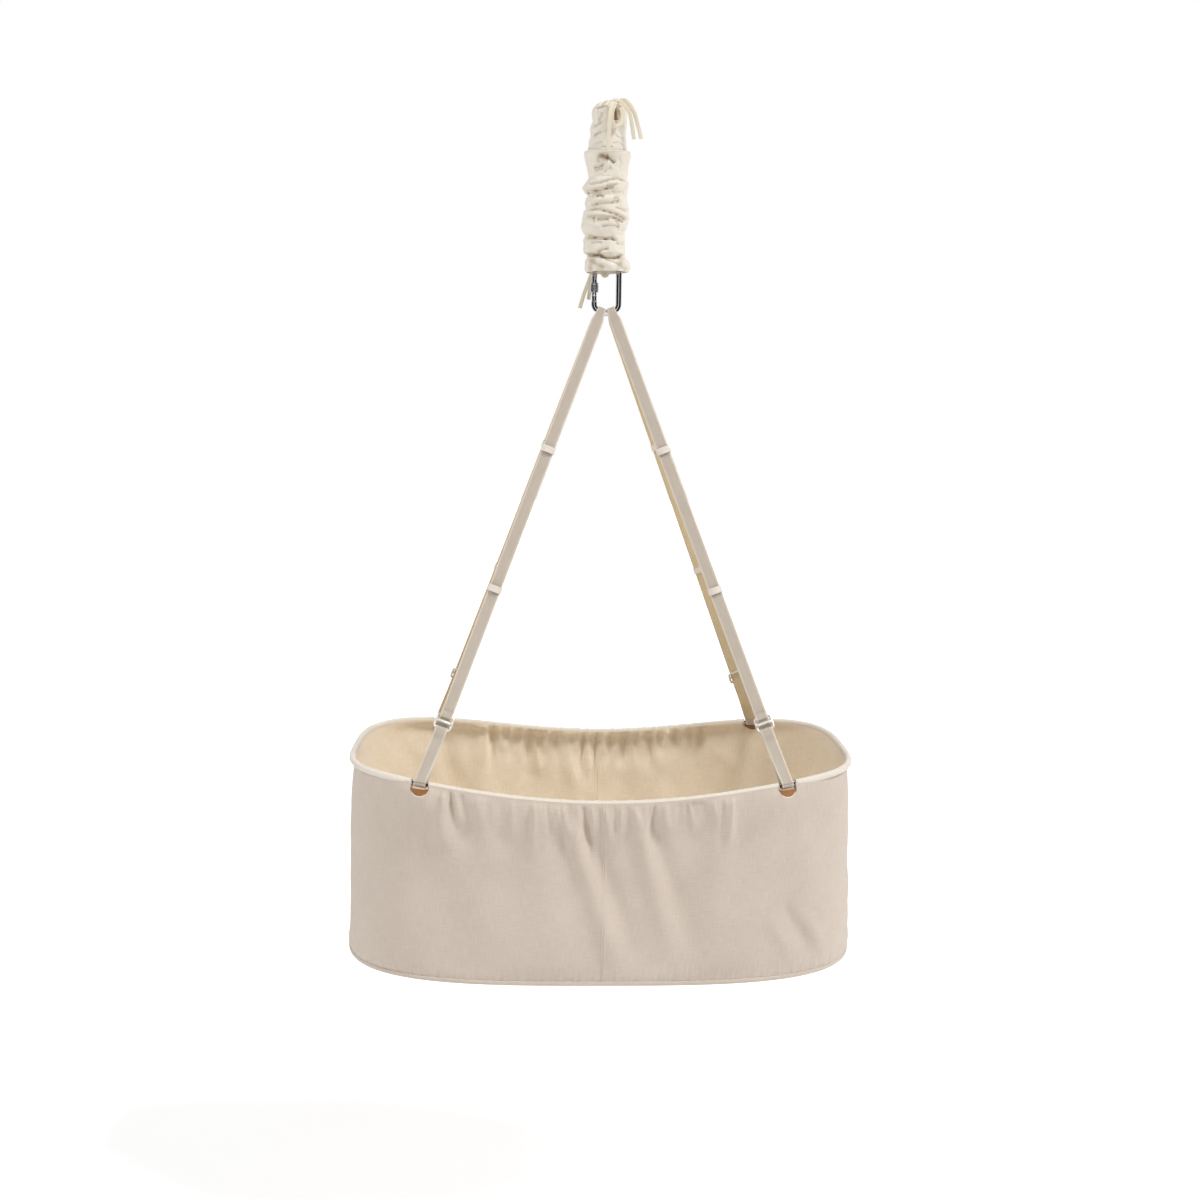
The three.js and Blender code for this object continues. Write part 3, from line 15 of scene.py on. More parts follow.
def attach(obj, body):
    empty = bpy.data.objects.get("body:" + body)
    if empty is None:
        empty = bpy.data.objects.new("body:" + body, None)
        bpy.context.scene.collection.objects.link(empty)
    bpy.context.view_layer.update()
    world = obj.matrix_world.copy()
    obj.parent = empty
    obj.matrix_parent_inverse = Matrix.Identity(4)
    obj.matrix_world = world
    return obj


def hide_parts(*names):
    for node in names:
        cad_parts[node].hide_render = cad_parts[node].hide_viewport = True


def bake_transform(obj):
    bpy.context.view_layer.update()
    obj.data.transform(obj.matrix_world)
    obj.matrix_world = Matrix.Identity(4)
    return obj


bl_info = {
    "name": "Hanging Spring Cradle", "version": (1, 0, 0), "blender": (4, 5, 0),
    "location": "View3D > Sidebar > Cradle",
    "description": "Dresses a hanging spring cradle in its cloth, webbing and steel",
    "category": "Object"}

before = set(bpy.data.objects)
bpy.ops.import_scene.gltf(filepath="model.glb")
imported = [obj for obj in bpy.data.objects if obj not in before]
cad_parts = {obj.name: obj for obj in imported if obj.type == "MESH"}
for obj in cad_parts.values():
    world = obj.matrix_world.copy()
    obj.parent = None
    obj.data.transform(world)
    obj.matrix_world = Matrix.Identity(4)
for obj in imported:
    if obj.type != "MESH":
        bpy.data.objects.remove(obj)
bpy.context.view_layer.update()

MM = 0.001
CLOTH_RELIEF = 0.00022  # height of the weave and fine creases
TURN = 2 * np.pi
SIDES = (("left", -1), ("right", 1))
FACES = (("front", -1), ("back", 1))

# Clearances
FIT = 0.3 * MM
LOOSE = 0.7 * MM

# Spring
WIRE_RADIUS = 2 * MM
EYE_INNER_RADIUS = 10 * MM
EYE_NECK = 14 * MM
COIL_RADIUS = 17 * MM
COIL_LENGTH = 196 * MM
COIL_CURLS = 24
COIL_START_ANGLE = -TURN / 3
COIL_END_GAP = 1.2 * MM
SAFETY_RADIUS = 2.2 * MM
SAFETY_LOOPS = 6

# Sleeve
HOOD_RADIUS = 31 * MM
HOOD_RISE = 4.7 * MM
HOOD_HEIGHT = 86 * MM
HOOD_SHOULDER = 22 * MM
HOOD_MOUTH = 7 * MM
BAND_RADIUS = 34.5 * MM
BAND_INNER = 33.2 * MM  # least radius of its cloth, clear of the carabiner's swing
BAND_HEIGHT = 12 * MM
BAND_BELOW_EYE = 29 * MM
COLLAR_OVERLAP = 5 * MM
SHADE_DEPTH = 6.5 * MM  # of a fold whose crease is fully shaded

# Carabiner
HOOK_LENGTH = 100 * MM
HOOK_WIDTH = 50 * MM
HOOK_BOW_RADIUS = 26 * MM
HOOK_CORNER_RADIUS = 12 * MM
NOSE_HEIGHT = 19 * MM
NOSE_TURNED = 5.5 * MM
HINGE_DROP = 22.5 * MM
GATE_RADIUS = 4.6 * MM
TONGUE_THICKNESS = 4 * MM
NUT_LENGTH = 16 * MM
NUT_RADIUS = 7.2 * MM
NUT_DROP = 4.5 * MM

# Webbing
FOLD_WIDTH = 13.4 * MM
FOLD_TAPER = 20 * MM
FOLD_CLEAR = 1.5 * MM
SLING_DROP = 764 * MM
SLIDER_WIDTH = 30 * MM
SLIDER_HEIGHT = 28 * MM
SLIDER_THICKNESS = 2.2 * MM
SLIDER_RIM = 4 * MM
SLIDER_UP = 101 * MM
SLIDER_TILT = 0.33
SLIDER_SET_OUT = 0.9 * MM
TAB_LENGTH = 20 * MM
TAB_CLOSE = 3.9 * MM
RETURN_SHIFT = 0.75 * MM
RETURN_REACH = 3.6 * MM
KEEPER_UP = (328 * MM, 570 * MM)
KEEPER_HEIGHT = 11 * MM
KEEPER_BULGE = 3 * MM

# Basket
RIM_LENGTH = 834 * MM
RIM_WIDTH = 444.8 * MM
RIM_POWER = 3.4
RIM_END_RISE = 33.4 * MM
RIM_PEAK_SHARE = 2.19
STRAP_PLACE = 290 * MM
NOTCH_WIDTH = 30 * MM
NOTCH_DEPTH = 18 * MM
NOTCH_CORNER = 14 * MM
WALL_INSET = 4 * MM
WALL_BULGE = 5 * MM
WALL_IN_HEM = 2.4 * MM
WALL_OUT_LENGTH = 75 * MM
FOLD_STRENGTH = 1.7
WALL_SHARP_ANGLE = 0.9  # edges that turn by more stay sharp
WALL_ROWS = 42
WALL_PAST_HEM = 0.6 * MM
PLAIN_END_ROWS = 20  # of a strap with two faces, where both are alike
BASE_LENGTH = 859 * MM
BASE_WIDTH = 467.6 * MM
BASE_POWER = 3.18
BASE_DROP = 300 * MM
BAND_UP = 9 * MM
PANEL_THICKNESS = 2 * MM
BOARD_THICKNESS = 5 * MM
MATTRESS_LENGTH = 800 * MM
MATTRESS_WIDTH = 400 * MM
MATTRESS_POWER = 4
MATTRESS_THICKNESS = 34 * MM

# Free tapes, in millimetres from the hanging point
TAPE_ROUTES = {
    "drawstring_bow": [
        [9.2, -27, -2], [7.6, -30, -8], [5.5, -33, -14], [3.5, -34.3, -24], [4, -34.6, -34],
        [9, -34.8, -40], [16, -33.4, -37], [20.5, -31.4, -29], [20.5, -30.2, -19],
        [17.5, -29.6, -11],
    ],
    "drawstring_tail_left": [
        [4.8, -29.1, -2.4], [3, -33.8, -9], [1, -37.2, -20], [0, -38.2, -34], [-1, -38.8, -50],
        [-1.5, -39.6, -65], [-1, -40.6, -77],
    ],
    "drawstring_tail_right": [
        [15.5, -22, 0.5], [24, -22.8, 1], [32, -23.4, -5], [39, -23.8, -16], [43, -23.5, -27],
        [46, -23.5, -38], [49, -24, -48], [51, -24.5, -57],
    ],
    "drawstring_tail_short": [
        [14.4, -26, 0], [22, -27.6, -5], [30, -27.6, -14], [34, -26.4, -25], [36.5, -25.4, -38],
        [38.5, -25, -50], [40, -25.5, -58],
    ],
    "tie_tail_long": [
        [-24, 24, -263.6], [-27, 24.6, -272], [-31, 25.4, -283], [-35.5, 26, -295],
        [-39.5, 26.4, -308], [-43, 26.6, -320],
    ],
    "tie_tail_short": [
        [-21, 27.4, -263.6], [-23, 28, -273], [-25.5, 28.6, -285], [-27.5, 29, -297],
        [-28.5, 29.2, -306],
    ],
}


def number_value(name, description, default, **limits):
    """A number that a user may change."""
    return FloatProperty(name=name, description=description, default=default, **limits)


def length_value(name, description, default, least, most):
    """A length that a user may change."""
    return number_value(name, description, default, min=least, max=most, unit="LENGTH")


def colour_value(name, description, default):
    """A colour that a user may change, as a screen shows it."""
    return FloatVectorProperty(
        name=name, description=description, default=default, subtype="COLOR_GAMMA", min=0, max=1)


class CradleSizes(bpy.types.PropertyGroup):
    """Sizes of the cradle's soft and bent pieces"""

    webbing_width: length_value("Webbing Width", "Width of the sling webbing", 0.020, 0.01, 0.04)
    webbing_thickness: length_value(
        "Webbing Thickness", "Thickness of the sling webbing", 0.0015, 0.0005, 0.003)
    tape_width: length_value(
        "Tape Width", "Width of the drawstring and tie tape", 0.0065, 0.003, 0.015)
    tape_thickness: length_value(
        "Tape Thickness", "Thickness of the drawstring and tie tape", 0.001, 0.0004, 0.002)
    sleeve_radius: length_value(
        "Sleeve Radius", "Middle radius of the gathered sleeve", 0.0352, 0.03, 0.045)
    sleeve_cloth: length_value(
        "Sleeve Cloth", "Thickness of the doubled sleeve cotton", 0.0012, 0.0005, 0.003)
    hook_wire_radius: length_value(
        "Hook Wire Radius", "Radius of the carabiner's wire", 0.005, 0.003, 0.008)
    rim_tube_radius: length_value(
        "Rim Tube Radius", "Radius of the chrome tube in the hem", 0.004, 0.002, 0.006)
    hem_radius: length_value(
        "Hem Radius", "Outer radius of the hem round the tube", 0.0054, 0.005, 0.01)
    wall_thickness: length_value(
        "Wall Thickness", "Thickness of the lined basket wall", 0.0024, 0.001, 0.005)
    mattress_crown: length_value(
        "Mattress Crown", "Rise of the mattress in its middle", 0.007, 0.0, 0.02)
    wall_columns: IntProperty(
        name="Wall Columns", description="Columns of faces round each half of the wall",
        default=900, min=200, max=1000)


class CradleColours(bpy.types.PropertyGroup):
    """Colours of the cradle's cloth and metal"""

    sleeve_cotton: colour_value(
        "Sleeve Cotton", "Cream cotton of the sleeve and its tapes", (0.940, 0.915, 0.865))
    # Painted shade: the darker colour that the sleeve, hood, band and knot take in their creases
    # and hollows.
    painted_crease_shade: colour_value(
        "Painted Crease Shade", "Deeper colour in the creases of the sleeve", (0.640, 0.530, 0.360))
    tape_cotton: colour_value("Tape Cotton", "Drawstring and tie tape", (0.925, 0.890, 0.805))
    # Partly real lining, partly painted shade: its dark tan stands for the shade inside the
    # notches.
    notch_lining: colour_value(
        "Notch Shade Lining", "Tan lining in the notches of the rim", (0.640, 0.440, 0.240))
    webbing_back: colour_value(
        "Webbing Back", "Unbleached back of the sling webbing", (0.885, 0.795, 0.640))
    outer_canvas: colour_value(
        "Outer Canvas", "Greige canvas outside the basket", (0.818, 0.765, 0.712))
    inner_canvas: colour_value(
        "Inner Canvas", "Warm cotton lining of the basket", (0.965, 0.915, 0.830))
    webbing: colour_value("Webbing", "Middle of the sling webbing", (0.795, 0.747, 0.690))
    webbing_edge: colour_value(
        "Webbing Edge", "Sewn edges of the sling webbing", (0.912, 0.862, 0.788))
    # Partly painted highlight: the hem roll is the wall's canvas folded over the tube, and this
    # paler colour stands for the light on its top. The bindings, keepers and stitches take it as
    # their own colour.
    hem_canvas: colour_value(
        "Pale Canvas And Hem Highlight", "Paler canvas of the hem and bindings", (0.900, 0.868, 0.822))
    steel: colour_value("Polished Steel", "Carabiner and rim tube", (0.83, 0.83, 0.83))
    cast_silver: colour_value("Cast Silver", "Sliders", (0.900, 0.880, 0.840))
    mattress_cotton: colour_value("Mattress Cotton", "Quilted mattress cover", (0.93, 0.91, 0.87))


class StageSettings(bpy.types.PropertyGroup):
    """Camera, lights and floor"""

    camera_place: FloatVectorProperty(
        name="Camera Place", description="Where the camera stands",
        default=(-0.0808, -2.330, -0.4171), unit="LENGTH",
    )
    camera_yaw: number_value(
        "Camera Yaw", "Turn of the camera to the right", 0.0329, unit="ROTATION")
    camera_tilt: number_value("Camera Tilt", "Tilt of the camera down", 0.1648, unit="ROTATION")
    camera_roll: number_value("Camera Roll", "Roll of the camera", 0.0129, unit="ROTATION")
    camera_lens: number_value("Lens", "Focal length on a 36 mm frame", 41.865)
    floor_height: number_value(
        "Floor Height", "Height of the floor under the cradle", -1.95, unit="LENGTH")
    world_light: number_value("World Light", "Strength of the even light", 0.44, min=0)
    right_light: number_value(
        "Right Light", "Strength of the soft light from the right", 2.15, min=0)
    left_light: number_value("Left Light", "Strength of the soft light from the left", 0.95, min=0)


# Numbers and vectors


def mix(a, b, share):
    """Goes from a to b as share goes from 0 to 1."""
    return a + (b - a) * share


def ease(share):
    """Goes from 0 to 1 as 3 s^2 - 2 s^3, with no corner at either end."""
    s = np.clip(share, 0, 1)
    return s * s * (3 - 2 * s)


def unit(vectors):
    """Each vector divided by its length."""
    return vectors / np.linalg.norm(vectors, axis=-1, keepdims=True)


def vec(x, y, z):
    """One point or direction."""
    return np.array([x, y, z], float)


def xyz(x, y, z):
    """Points from their three coordinates, which may be of different shapes."""
    return np.stack(np.broadcast_arrays(x, y, z), -1)


def linear(colour):
    """A screen colour as scene light: (c + 0.055)^2.4 / 1.055^2.4, or c / 12.92 when dark."""
    c = np.asarray(colour, float)
    return tuple(np.where(c <= 0.04045, c / 12.92, ((c + 0.055) / 1.055) ** 2.4))


def smooth_line(points, steps):
    """A line through the points: between two of them a cubic whose slope at each is half the way
    from the point before to the point after."""
    p = np.asarray(points, float)
    q = np.vstack([2 * p[0] - p[1], p, 2 * p[-1] - p[-2]])
    count = len(p) - 1
    way = np.linspace(0, count, count * steps + 1)
    i = np.minimum(way.astype(int), count - 1)
    t = (way - i)[:, None]
    a, b, c, d = q[i], q[i + 1], q[i + 2], q[i + 3]
    return 0.5 * (
        2 * b + (c - a) * t + (2 * a - 5 * b + 4 * c - d) * t**2 + (3 * b - a - 3 * c + d) * t**3)


def way_from_start(points):
    """How far along a line each of its points is."""
    return np.concatenate([[0], np.cumsum(np.linalg.norm(np.diff(points, axis=0), axis=1))])


def round_angles(count):
    """Even angles round a circle, from 0 up to just under a turn."""
    return np.arange(count) * TURN / count


def chosen_sizes():
    """The sizes as they are set in the panel."""
    return bpy.context.scene.cradle_sizes


def ripple(way, seed, longest, count=5):
    """A smooth random wave between about -1 and 1: a sum of sines, each shorter than the last."""
    rng = np.random.default_rng(seed)
    total = np.zeros_like(way, dtype=float)
    for i in range(count):
        length = longest / (1.6**i) * rng.uniform(0.85, 1.15)
        total += np.sin(TURN * way / length + rng.uniform(0, TURN)) / (1.3**i)
    return total / 2.2


def creases(u, v, lines, around, sharp=False):
    """The sum of soft ridges and creases on a flat cloth. Each runs from (u0, v0) to (u1, v1), is
    w0 wide at its start and w1 at its end, and stands height proud: height * exp(-(d / w)^2) at
    the distance d beside it, or height * exp(-d / w) where it is sharp, eased to nothing past its
    ends."""
    total = np.zeros(np.broadcast(u, v).shape)
    for u0, v0, u1, v1, w0, w1, height in lines:
        du, dv = u1 - u0, v1 - v0
        length = np.hypot(du, dv)
        pu, pv = u - u0, v - v0
        pu = (pu + around / 2) % around - around / 2
        share = (pu * du + pv * dv) / length**2
        beside = (pu * dv - pv * du) / length
        wide = mix(w0, w1, np.clip(share, 0, 1))
        fade = ease((share + 0.25) / 0.35) * ease((1.25 - share) / 0.6)
        off = np.abs(beside) / wide
        total += height * np.exp(-off if sharp else -(off**2)) * fade
    return total


def folds_along(u, v, lines):
    """Creases along bent lines of a cloth. Each is deep * exp(-d / w) below the cloth at the
    distance d from its line. w is 0.55 of the width above the line, 1.5 of it below and goes
    over smoothly beside it, as a fold that hangs over its crease. It eases out at both ends."""
    total = np.zeros(np.broadcast(u, v).shape)
    for points, wide, deep in lines:
        p = np.asarray(points, float)
        steps = np.diff(p, axis=0)
        lengths = np.hypot(*steps.T)
        before = np.concatenate([[0], np.cumsum(lengths)])
        best = np.full(total.shape, np.inf)
        way = np.zeros(total.shape)
        for (pu, pv), (du, dv), length, start in zip(p, steps, lengths, before):
            share = np.clip(((u - pu) * du + (v - pv) * dv) / length**2, 0, 1)
            off_u, off_v = u - pu - share * du, v - pv - share * dv
            off = np.hypot(off_u, off_v) + 1e-9
            off = off / mix(1.5, 0.55, 0.5 + 0.5 * off_v / off)
            nearer = off < best
            best = np.where(nearer, off, best)
            way = np.where(nearer, (start + share * length) / before[-1], way)
        fade = ease(way / 0.14) * ease((1 - way) / 0.14)
        total -= deep * np.exp(-best / wide) * fade
    return total


def crumples(u, v, seed, count, box, lean, around):
    """Random sharp creases in a box (u0, u1, v0, v1) of a cloth: short lines that lean by about
    lean[0], give or take lean[1], most of them valleys and some of them ridges."""
    rng = np.random.default_rng(seed)
    lines = []
    for _ in range(count):
        u0, v0 = rng.uniform(box[0], box[1]), rng.uniform(box[2], box[3])
        long = rng.uniform(0.012, 0.040)
        angle = rng.normal(*lean)
        wide = rng.uniform(0.0020, 0.0048)
        deep = wide * rng.uniform(0.25, 0.55) * (-1 if rng.random() < 0.6 else 0.8)
        lines.append((u0, v0, u0 + long * np.cos(angle), v0 + long * np.sin(angle),
                      wide, wide * rng.uniform(0.8, 1.6), deep))
    return creases(u, v, lines, around, sharp=True)


# Meshes


def lengths_uv(points):
    """A grid's own map in metres: u is the mean way along its rows, v the mean way down them."""
    down = np.linalg.norm(np.diff(points, axis=0), axis=2).mean(1)
    across = np.linalg.norm(np.diff(points, axis=1), axis=2).mean(0)
    v = np.concatenate([[0], np.cumsum(down)])
    u = np.concatenate([[0], np.cumsum(across)])
    return np.stack(np.meshgrid(u, v), -1)


def grid(points, wrap_rows=False, wrap_columns=False, caps=False, uv=None, slots=0, close=False,
         shade=None):
    """A part of a mesh from a grid of points. caps closes both ends of rows that wrap, and close
    joins the two faces of a shell along its first and last column. slots gives the material of
    each face or row of faces, and shade a number from 0 to 1 for each point."""
    rows, columns = points.shape[:2]
    whole = points
    if wrap_rows:
        whole = np.concatenate([whole, whole[:1]], 0)
    if wrap_columns:
        whole = np.concatenate([whole, whole[:, :1]], 1)
    if uv is None:
        uv = lengths_uv(whole)
    i, j = np.meshgrid(np.arange(whole.shape[0] - 1), np.arange(whole.shape[1] - 1), indexing="ij")
    i, j = i.ravel(), j.ravel()
    near, far = (i + 1) % rows, (j + 1) % columns
    quads = np.stack(
        [i * columns + j, i * columns + far, near * columns + far, near * columns + j], 1)
    quad_uv = np.stack([uv[i, j], uv[i, j + 1], uv[i + 1, j + 1], uv[i + 1, j]], 1)
    slots = np.asarray(slots)
    slots = slots[:, None] if slots.ndim == 1 else slots
    quad_slots = np.broadcast_to(slots, (whole.shape[0] - 1, whole.shape[1] - 1))[i, j]
    flat = points.reshape(-1, 3)
    triangles = np.zeros((0, 3), int)
    if caps:
        ring = np.arange(columns)
        after = (ring + 1) % columns
        last = (rows - 1) * columns
        first_middle, last_middle = len(flat), len(flat) + 1
        flat = np.vstack([flat, points[0].mean(0), points[-1].mean(0)])
        triangles = np.vstack([
            np.stack([np.full(columns, first_middle), after, ring], 1),
            np.stack([np.full(columns, last_middle), last + ring, last + after], 1),
        ])
    if close:
        half = rows // 2
        k = np.arange(half - 1)
        sides = []
        for column, flip in ((0, False), (columns - 1, True)):
            a, b = k * columns + column, (k + 1) * columns + column
            c, d = (rows - 2 - k) * columns + column, (rows - 1 - k) * columns + column
            side = np.stack([a, b, c, d], 1)
            sides.append(side[:, ::-1] if flip else side)
        sides = np.vstack(sides)
        quads = np.vstack([quads, sides])
        quad_uv = np.concatenate([quad_uv, np.zeros((len(sides), 4, 2))])
        quad_slots = np.concatenate([quad_slots, np.full(len(sides), quad_slots[0])])
    part = SimpleNamespace(
        points=flat, quads=quads, triangles=triangles, quad_uv=quad_uv,
        triangle_uv=np.zeros((len(triangles), 3, 2)), quad_slots=quad_slots,
        triangle_slots=np.full(len(triangles), quad_slots[0]), shade=np.zeros(len(flat)))
    if shade is not None:
        part.shade[: shade.size] = shade.ravel()
    return outward(part)


def outward(part):
    """Turns a closed part's faces out: its volume, the sum of a . (b x c) / 6, is made positive."""
    p = part.points - part.points.mean(0)
    corners = np.vstack([part.quads[:, [0, 1, 2]], part.quads[:, [0, 2, 3]], part.triangles])
    a, b, c = p[corners[:, 0]], p[corners[:, 1]], p[corners[:, 2]]
    if (a * np.cross(b, c)).sum() < 0:
        part.quads = part.quads[:, ::-1]
        part.quad_uv = part.quad_uv[:, ::-1]
        part.triangles = part.triangles[:, ::-1]
        part.triangle_uv = part.triangle_uv[:, ::-1]
    return part


def make_piece(name, parts, materials, body=None, replaces=()):
    """One object from parts of a mesh. It stands at the origin, and its place is in its mesh."""
    starts = np.cumsum([0] + [len(p.points) for p in parts[:-1]])
    points = np.vstack([p.points for p in parts])
    quads = np.vstack([p.quads + s for p, s in zip(parts, starts)])
    triangles = np.vstack([p.triangles + s for p, s in zip(parts, starts)])
    loops = np.concatenate([quads.ravel(), triangles.ravel()])
    sizes = np.concatenate([np.full(len(quads), 4), np.full(len(triangles), 3)])
    uv = np.concatenate(
        [p.quad_uv.reshape(-1, 2) for p in parts] + [p.triangle_uv.reshape(-1, 2) for p in parts])
    slots = np.concatenate([p.quad_slots for p in parts] + [p.triangle_slots for p in parts])
    mesh = bpy.data.meshes.new(name)
    mesh.vertices.add(len(points))
    mesh.vertices.foreach_set("co", points.ravel())
    mesh.loops.add(len(loops))
    mesh.loops.foreach_set("vertex_index", loops.astype(np.int32))
    mesh.polygons.add(len(sizes))
    mesh.polygons.foreach_set("loop_start", (np.cumsum(sizes) - sizes).astype(np.int32))
    mesh.polygons.foreach_set("use_smooth", np.full(len(sizes), True))
    for material in materials:
        mesh.materials.append(material)
    mesh.polygons.foreach_set("material_index", slots.astype(np.int32))
    shade = np.concatenate([p.shade for p in parts])
    if shade.any():
        mesh.attributes.new("shade", "FLOAT", "POINT").data.foreach_set("value", shade)
    layer = mesh.uv_layers.new(name="UVMap")
    layer.data.foreach_set("uv", uv.ravel())
    mesh.update(calc_edges=True)
    mesh.validate()
    obj = bpy.data.objects.new(name, mesh)
    bpy.context.scene.collection.objects.link(obj)
    if body:
        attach(obj, body)
    if replaces:
        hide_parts(*replaces)
    return obj


def circle(radius, sides):
    """A ring's section: radius (cos a, sin a)."""
    angle = round_angles(sides)
    return np.stack([radius * np.cos(angle), radius * np.sin(angle)], -1)


def sweep(path, side, up, section):
    """A section carried along a path: path + side x + up y for each point (x, y) of it."""
    section = np.broadcast_to(section, (len(path), *section.shape[-2:]))
    return path[:, None] + side[:, None] * section[..., :1] + up[:, None] * section[..., 1:]


def way_along(path, closed=False):
    """The direction of a path at each of its points, from the point before to the one after."""
    if closed:
        return unit(np.roll(path, -1, 0) - np.roll(path, 1, 0))
    return unit(np.gradient(path, axis=0))


def square_frame(path, guide, closed=False):
    """Two directions square to a path: guide x along, and along x that."""
    along = way_along(path, closed)
    side = unit(np.cross(np.broadcast_to(guide, path.shape), along))
    return side, np.cross(along, side)


def round_bar(path, guide, radius, sides=20, closed=False):
    """A round bar along a path."""
    side, up = square_frame(path, guide, closed)
    radii = np.broadcast_to(radius, (len(path),))
    section = circle(1, sides)[None] * radii[:, None, None]
    points = sweep(path, side, up, section)
    return grid(points, wrap_rows=closed, wrap_columns=True, caps=not closed)


def shell_rows(outer, inner, step=1):
    """The rows of a cloth of some thickness: down its outer face and back up its inner face, of
    which every step-th row is enough."""
    kept = np.unique(np.concatenate([np.arange(0, len(inner), step), [len(inner) - 1]]))
    return np.concatenate([outer, inner[kept][::-1]], 0)


def turned_profile(profile, sides, centre, ripples=None):
    """A profile of (radius, height) rows turned about a vertical line through centre."""
    angle = round_angles(sides)
    radius, height = np.asarray(profile, float).T
    r = np.broadcast_to(radius[:, None], (len(radius), sides))
    if ripples is not None:
        r = r + ripples
    z = np.broadcast_to(height[:, None], r.shape)
    return np.stack([r * np.cos(angle), r * np.sin(angle), z], -1) + centre


def plate(outline, thickness, bevel, to_frame):
    """A flat plate with rounded edges: its outline, drawn in by the bevel at both faces."""
    middle = outline.mean(0)
    half = thickness / 2
    rows = []
    for height, inset in (
        (-half, bevel), (-half + 0.3 * bevel, 0.3 * bevel), (-half + bevel, 0), (half - bevel, 0),
        (half - 0.3 * bevel, 0.3 * bevel), (half, bevel)):
        reach = np.linalg.norm(outline - middle, axis=1, keepdims=True)
        drawn = middle + (outline - middle) * (1 - inset / reach)
        rows.append(np.column_stack([drawn, np.full(len(outline), height)]))
    return grid(to_frame(np.array(rows)), wrap_columns=True, caps=True)


# Materials


class Nodes:
    """A material's nodes, joined by short calls."""

    def __init__(self, name, colour, roughness, metallic=0.0):
        self.material = bpy.data.materials.new(name)
        self.material.use_nodes = True
        self.tree = self.material.node_tree
        self.base = self.tree.nodes["Principled BSDF"]
        self.base.inputs["Base Color"].default_value = (*linear(colour), 1)
        self.base.inputs["Roughness"].default_value = roughness
        self.base.inputs["Metallic"].default_value = metallic
        self.material.diffuse_color = (*linear(colour), 1)

    def add(self, kind, inputs=None, **settings):
        node = self.tree.nodes.new(kind)
        for key, value in settings.items():
            setattr(node, key, value)
        for key, value in (inputs or {}).items():
            self.put(node.inputs[key], value)
        return node

    def put(self, socket, value):
        if isinstance(value, bpy.types.NodeSocket):
            self.tree.links.new(value, socket)
        else:
            socket.default_value = value

    def math(self, operation, a, b=0.0):
        node = self.add("ShaderNodeMath", {0: a, 1: b}, operation=operation)
        return node.outputs[0]

    def times(self, a, b):
        return self.math("MULTIPLY", a, b)

    def plus(self, a, b):
        return self.math("ADD", a, b)

    def ranged(self, value, **ends):
        """A value moved from one range to another, such as To_Min=0.2."""
        ends = {key.replace("_", " "): end for key, end in ends.items()}
        return self.add("ShaderNodeMapRange", {"Value": value, **ends}).outputs[0]

    def vary(self, socket, value):
        """Joins a value that varies over the surface to one of the shader's sockets."""
        self.put(self.base.inputs[socket], value)

    def place(self, kind="Object"):
        return self.add("ShaderNodeTexCoord").outputs[kind]

    def noise(self, vector, scale, detail=3.0, roughness=0.5):
        node = self.add(
            "ShaderNodeTexNoise",
            {"Vector": vector, "Scale": scale, "Detail": detail, "Roughness": roughness},
        )
        return node.outputs["Fac"]

    def stretched(self, vector, scale):
        return self.add("ShaderNodeMapping", {"Vector": vector, "Scale": scale}).outputs[0]

    def blend(self, share, dark, light):
        node = self.add("ShaderNodeMix", data_type="RGBA")
        self.put(node.inputs["Factor"], share)
        for socket, value in (("A_Color", dark), ("B_Color", light)):
            target = next(s for s in node.inputs if s.identifier == socket)
            self.put(target, value if isinstance(value, bpy.types.NodeSocket) else (*value, 1))
        return next(s for s in node.outputs if s.identifier == "Result_Color")

    def bump(self, height, distance):
        node = self.add("ShaderNodeBump", {"Height": height, "Distance": distance})
        self.tree.links.new(node.outputs[0], self.base.inputs["Normal"])

    def weave(self, u, v, pitch):
        """Height of a plain weave: |sin| of the thread that lies on top, warp and weft in turn."""
        warp = self.math("SINE", self.times(u, np.pi / pitch))
        weft = self.math("SINE", self.times(v, np.pi / pitch))
        over = self.math("GREATER_THAN", self.times(warp, weft), 0.0)
        a, b = self.math("ABSOLUTE", warp), self.math("ABSOLUTE", weft)
        return self.plus(self.times(a, over), self.times(b, self.math("SUBTRACT", 1.0, over)))


def toned(colour, factor):
    """A screen colour as scene light times a factor, 1 at most."""
    return tuple(min(1.0, c * factor) for c in linear(colour))


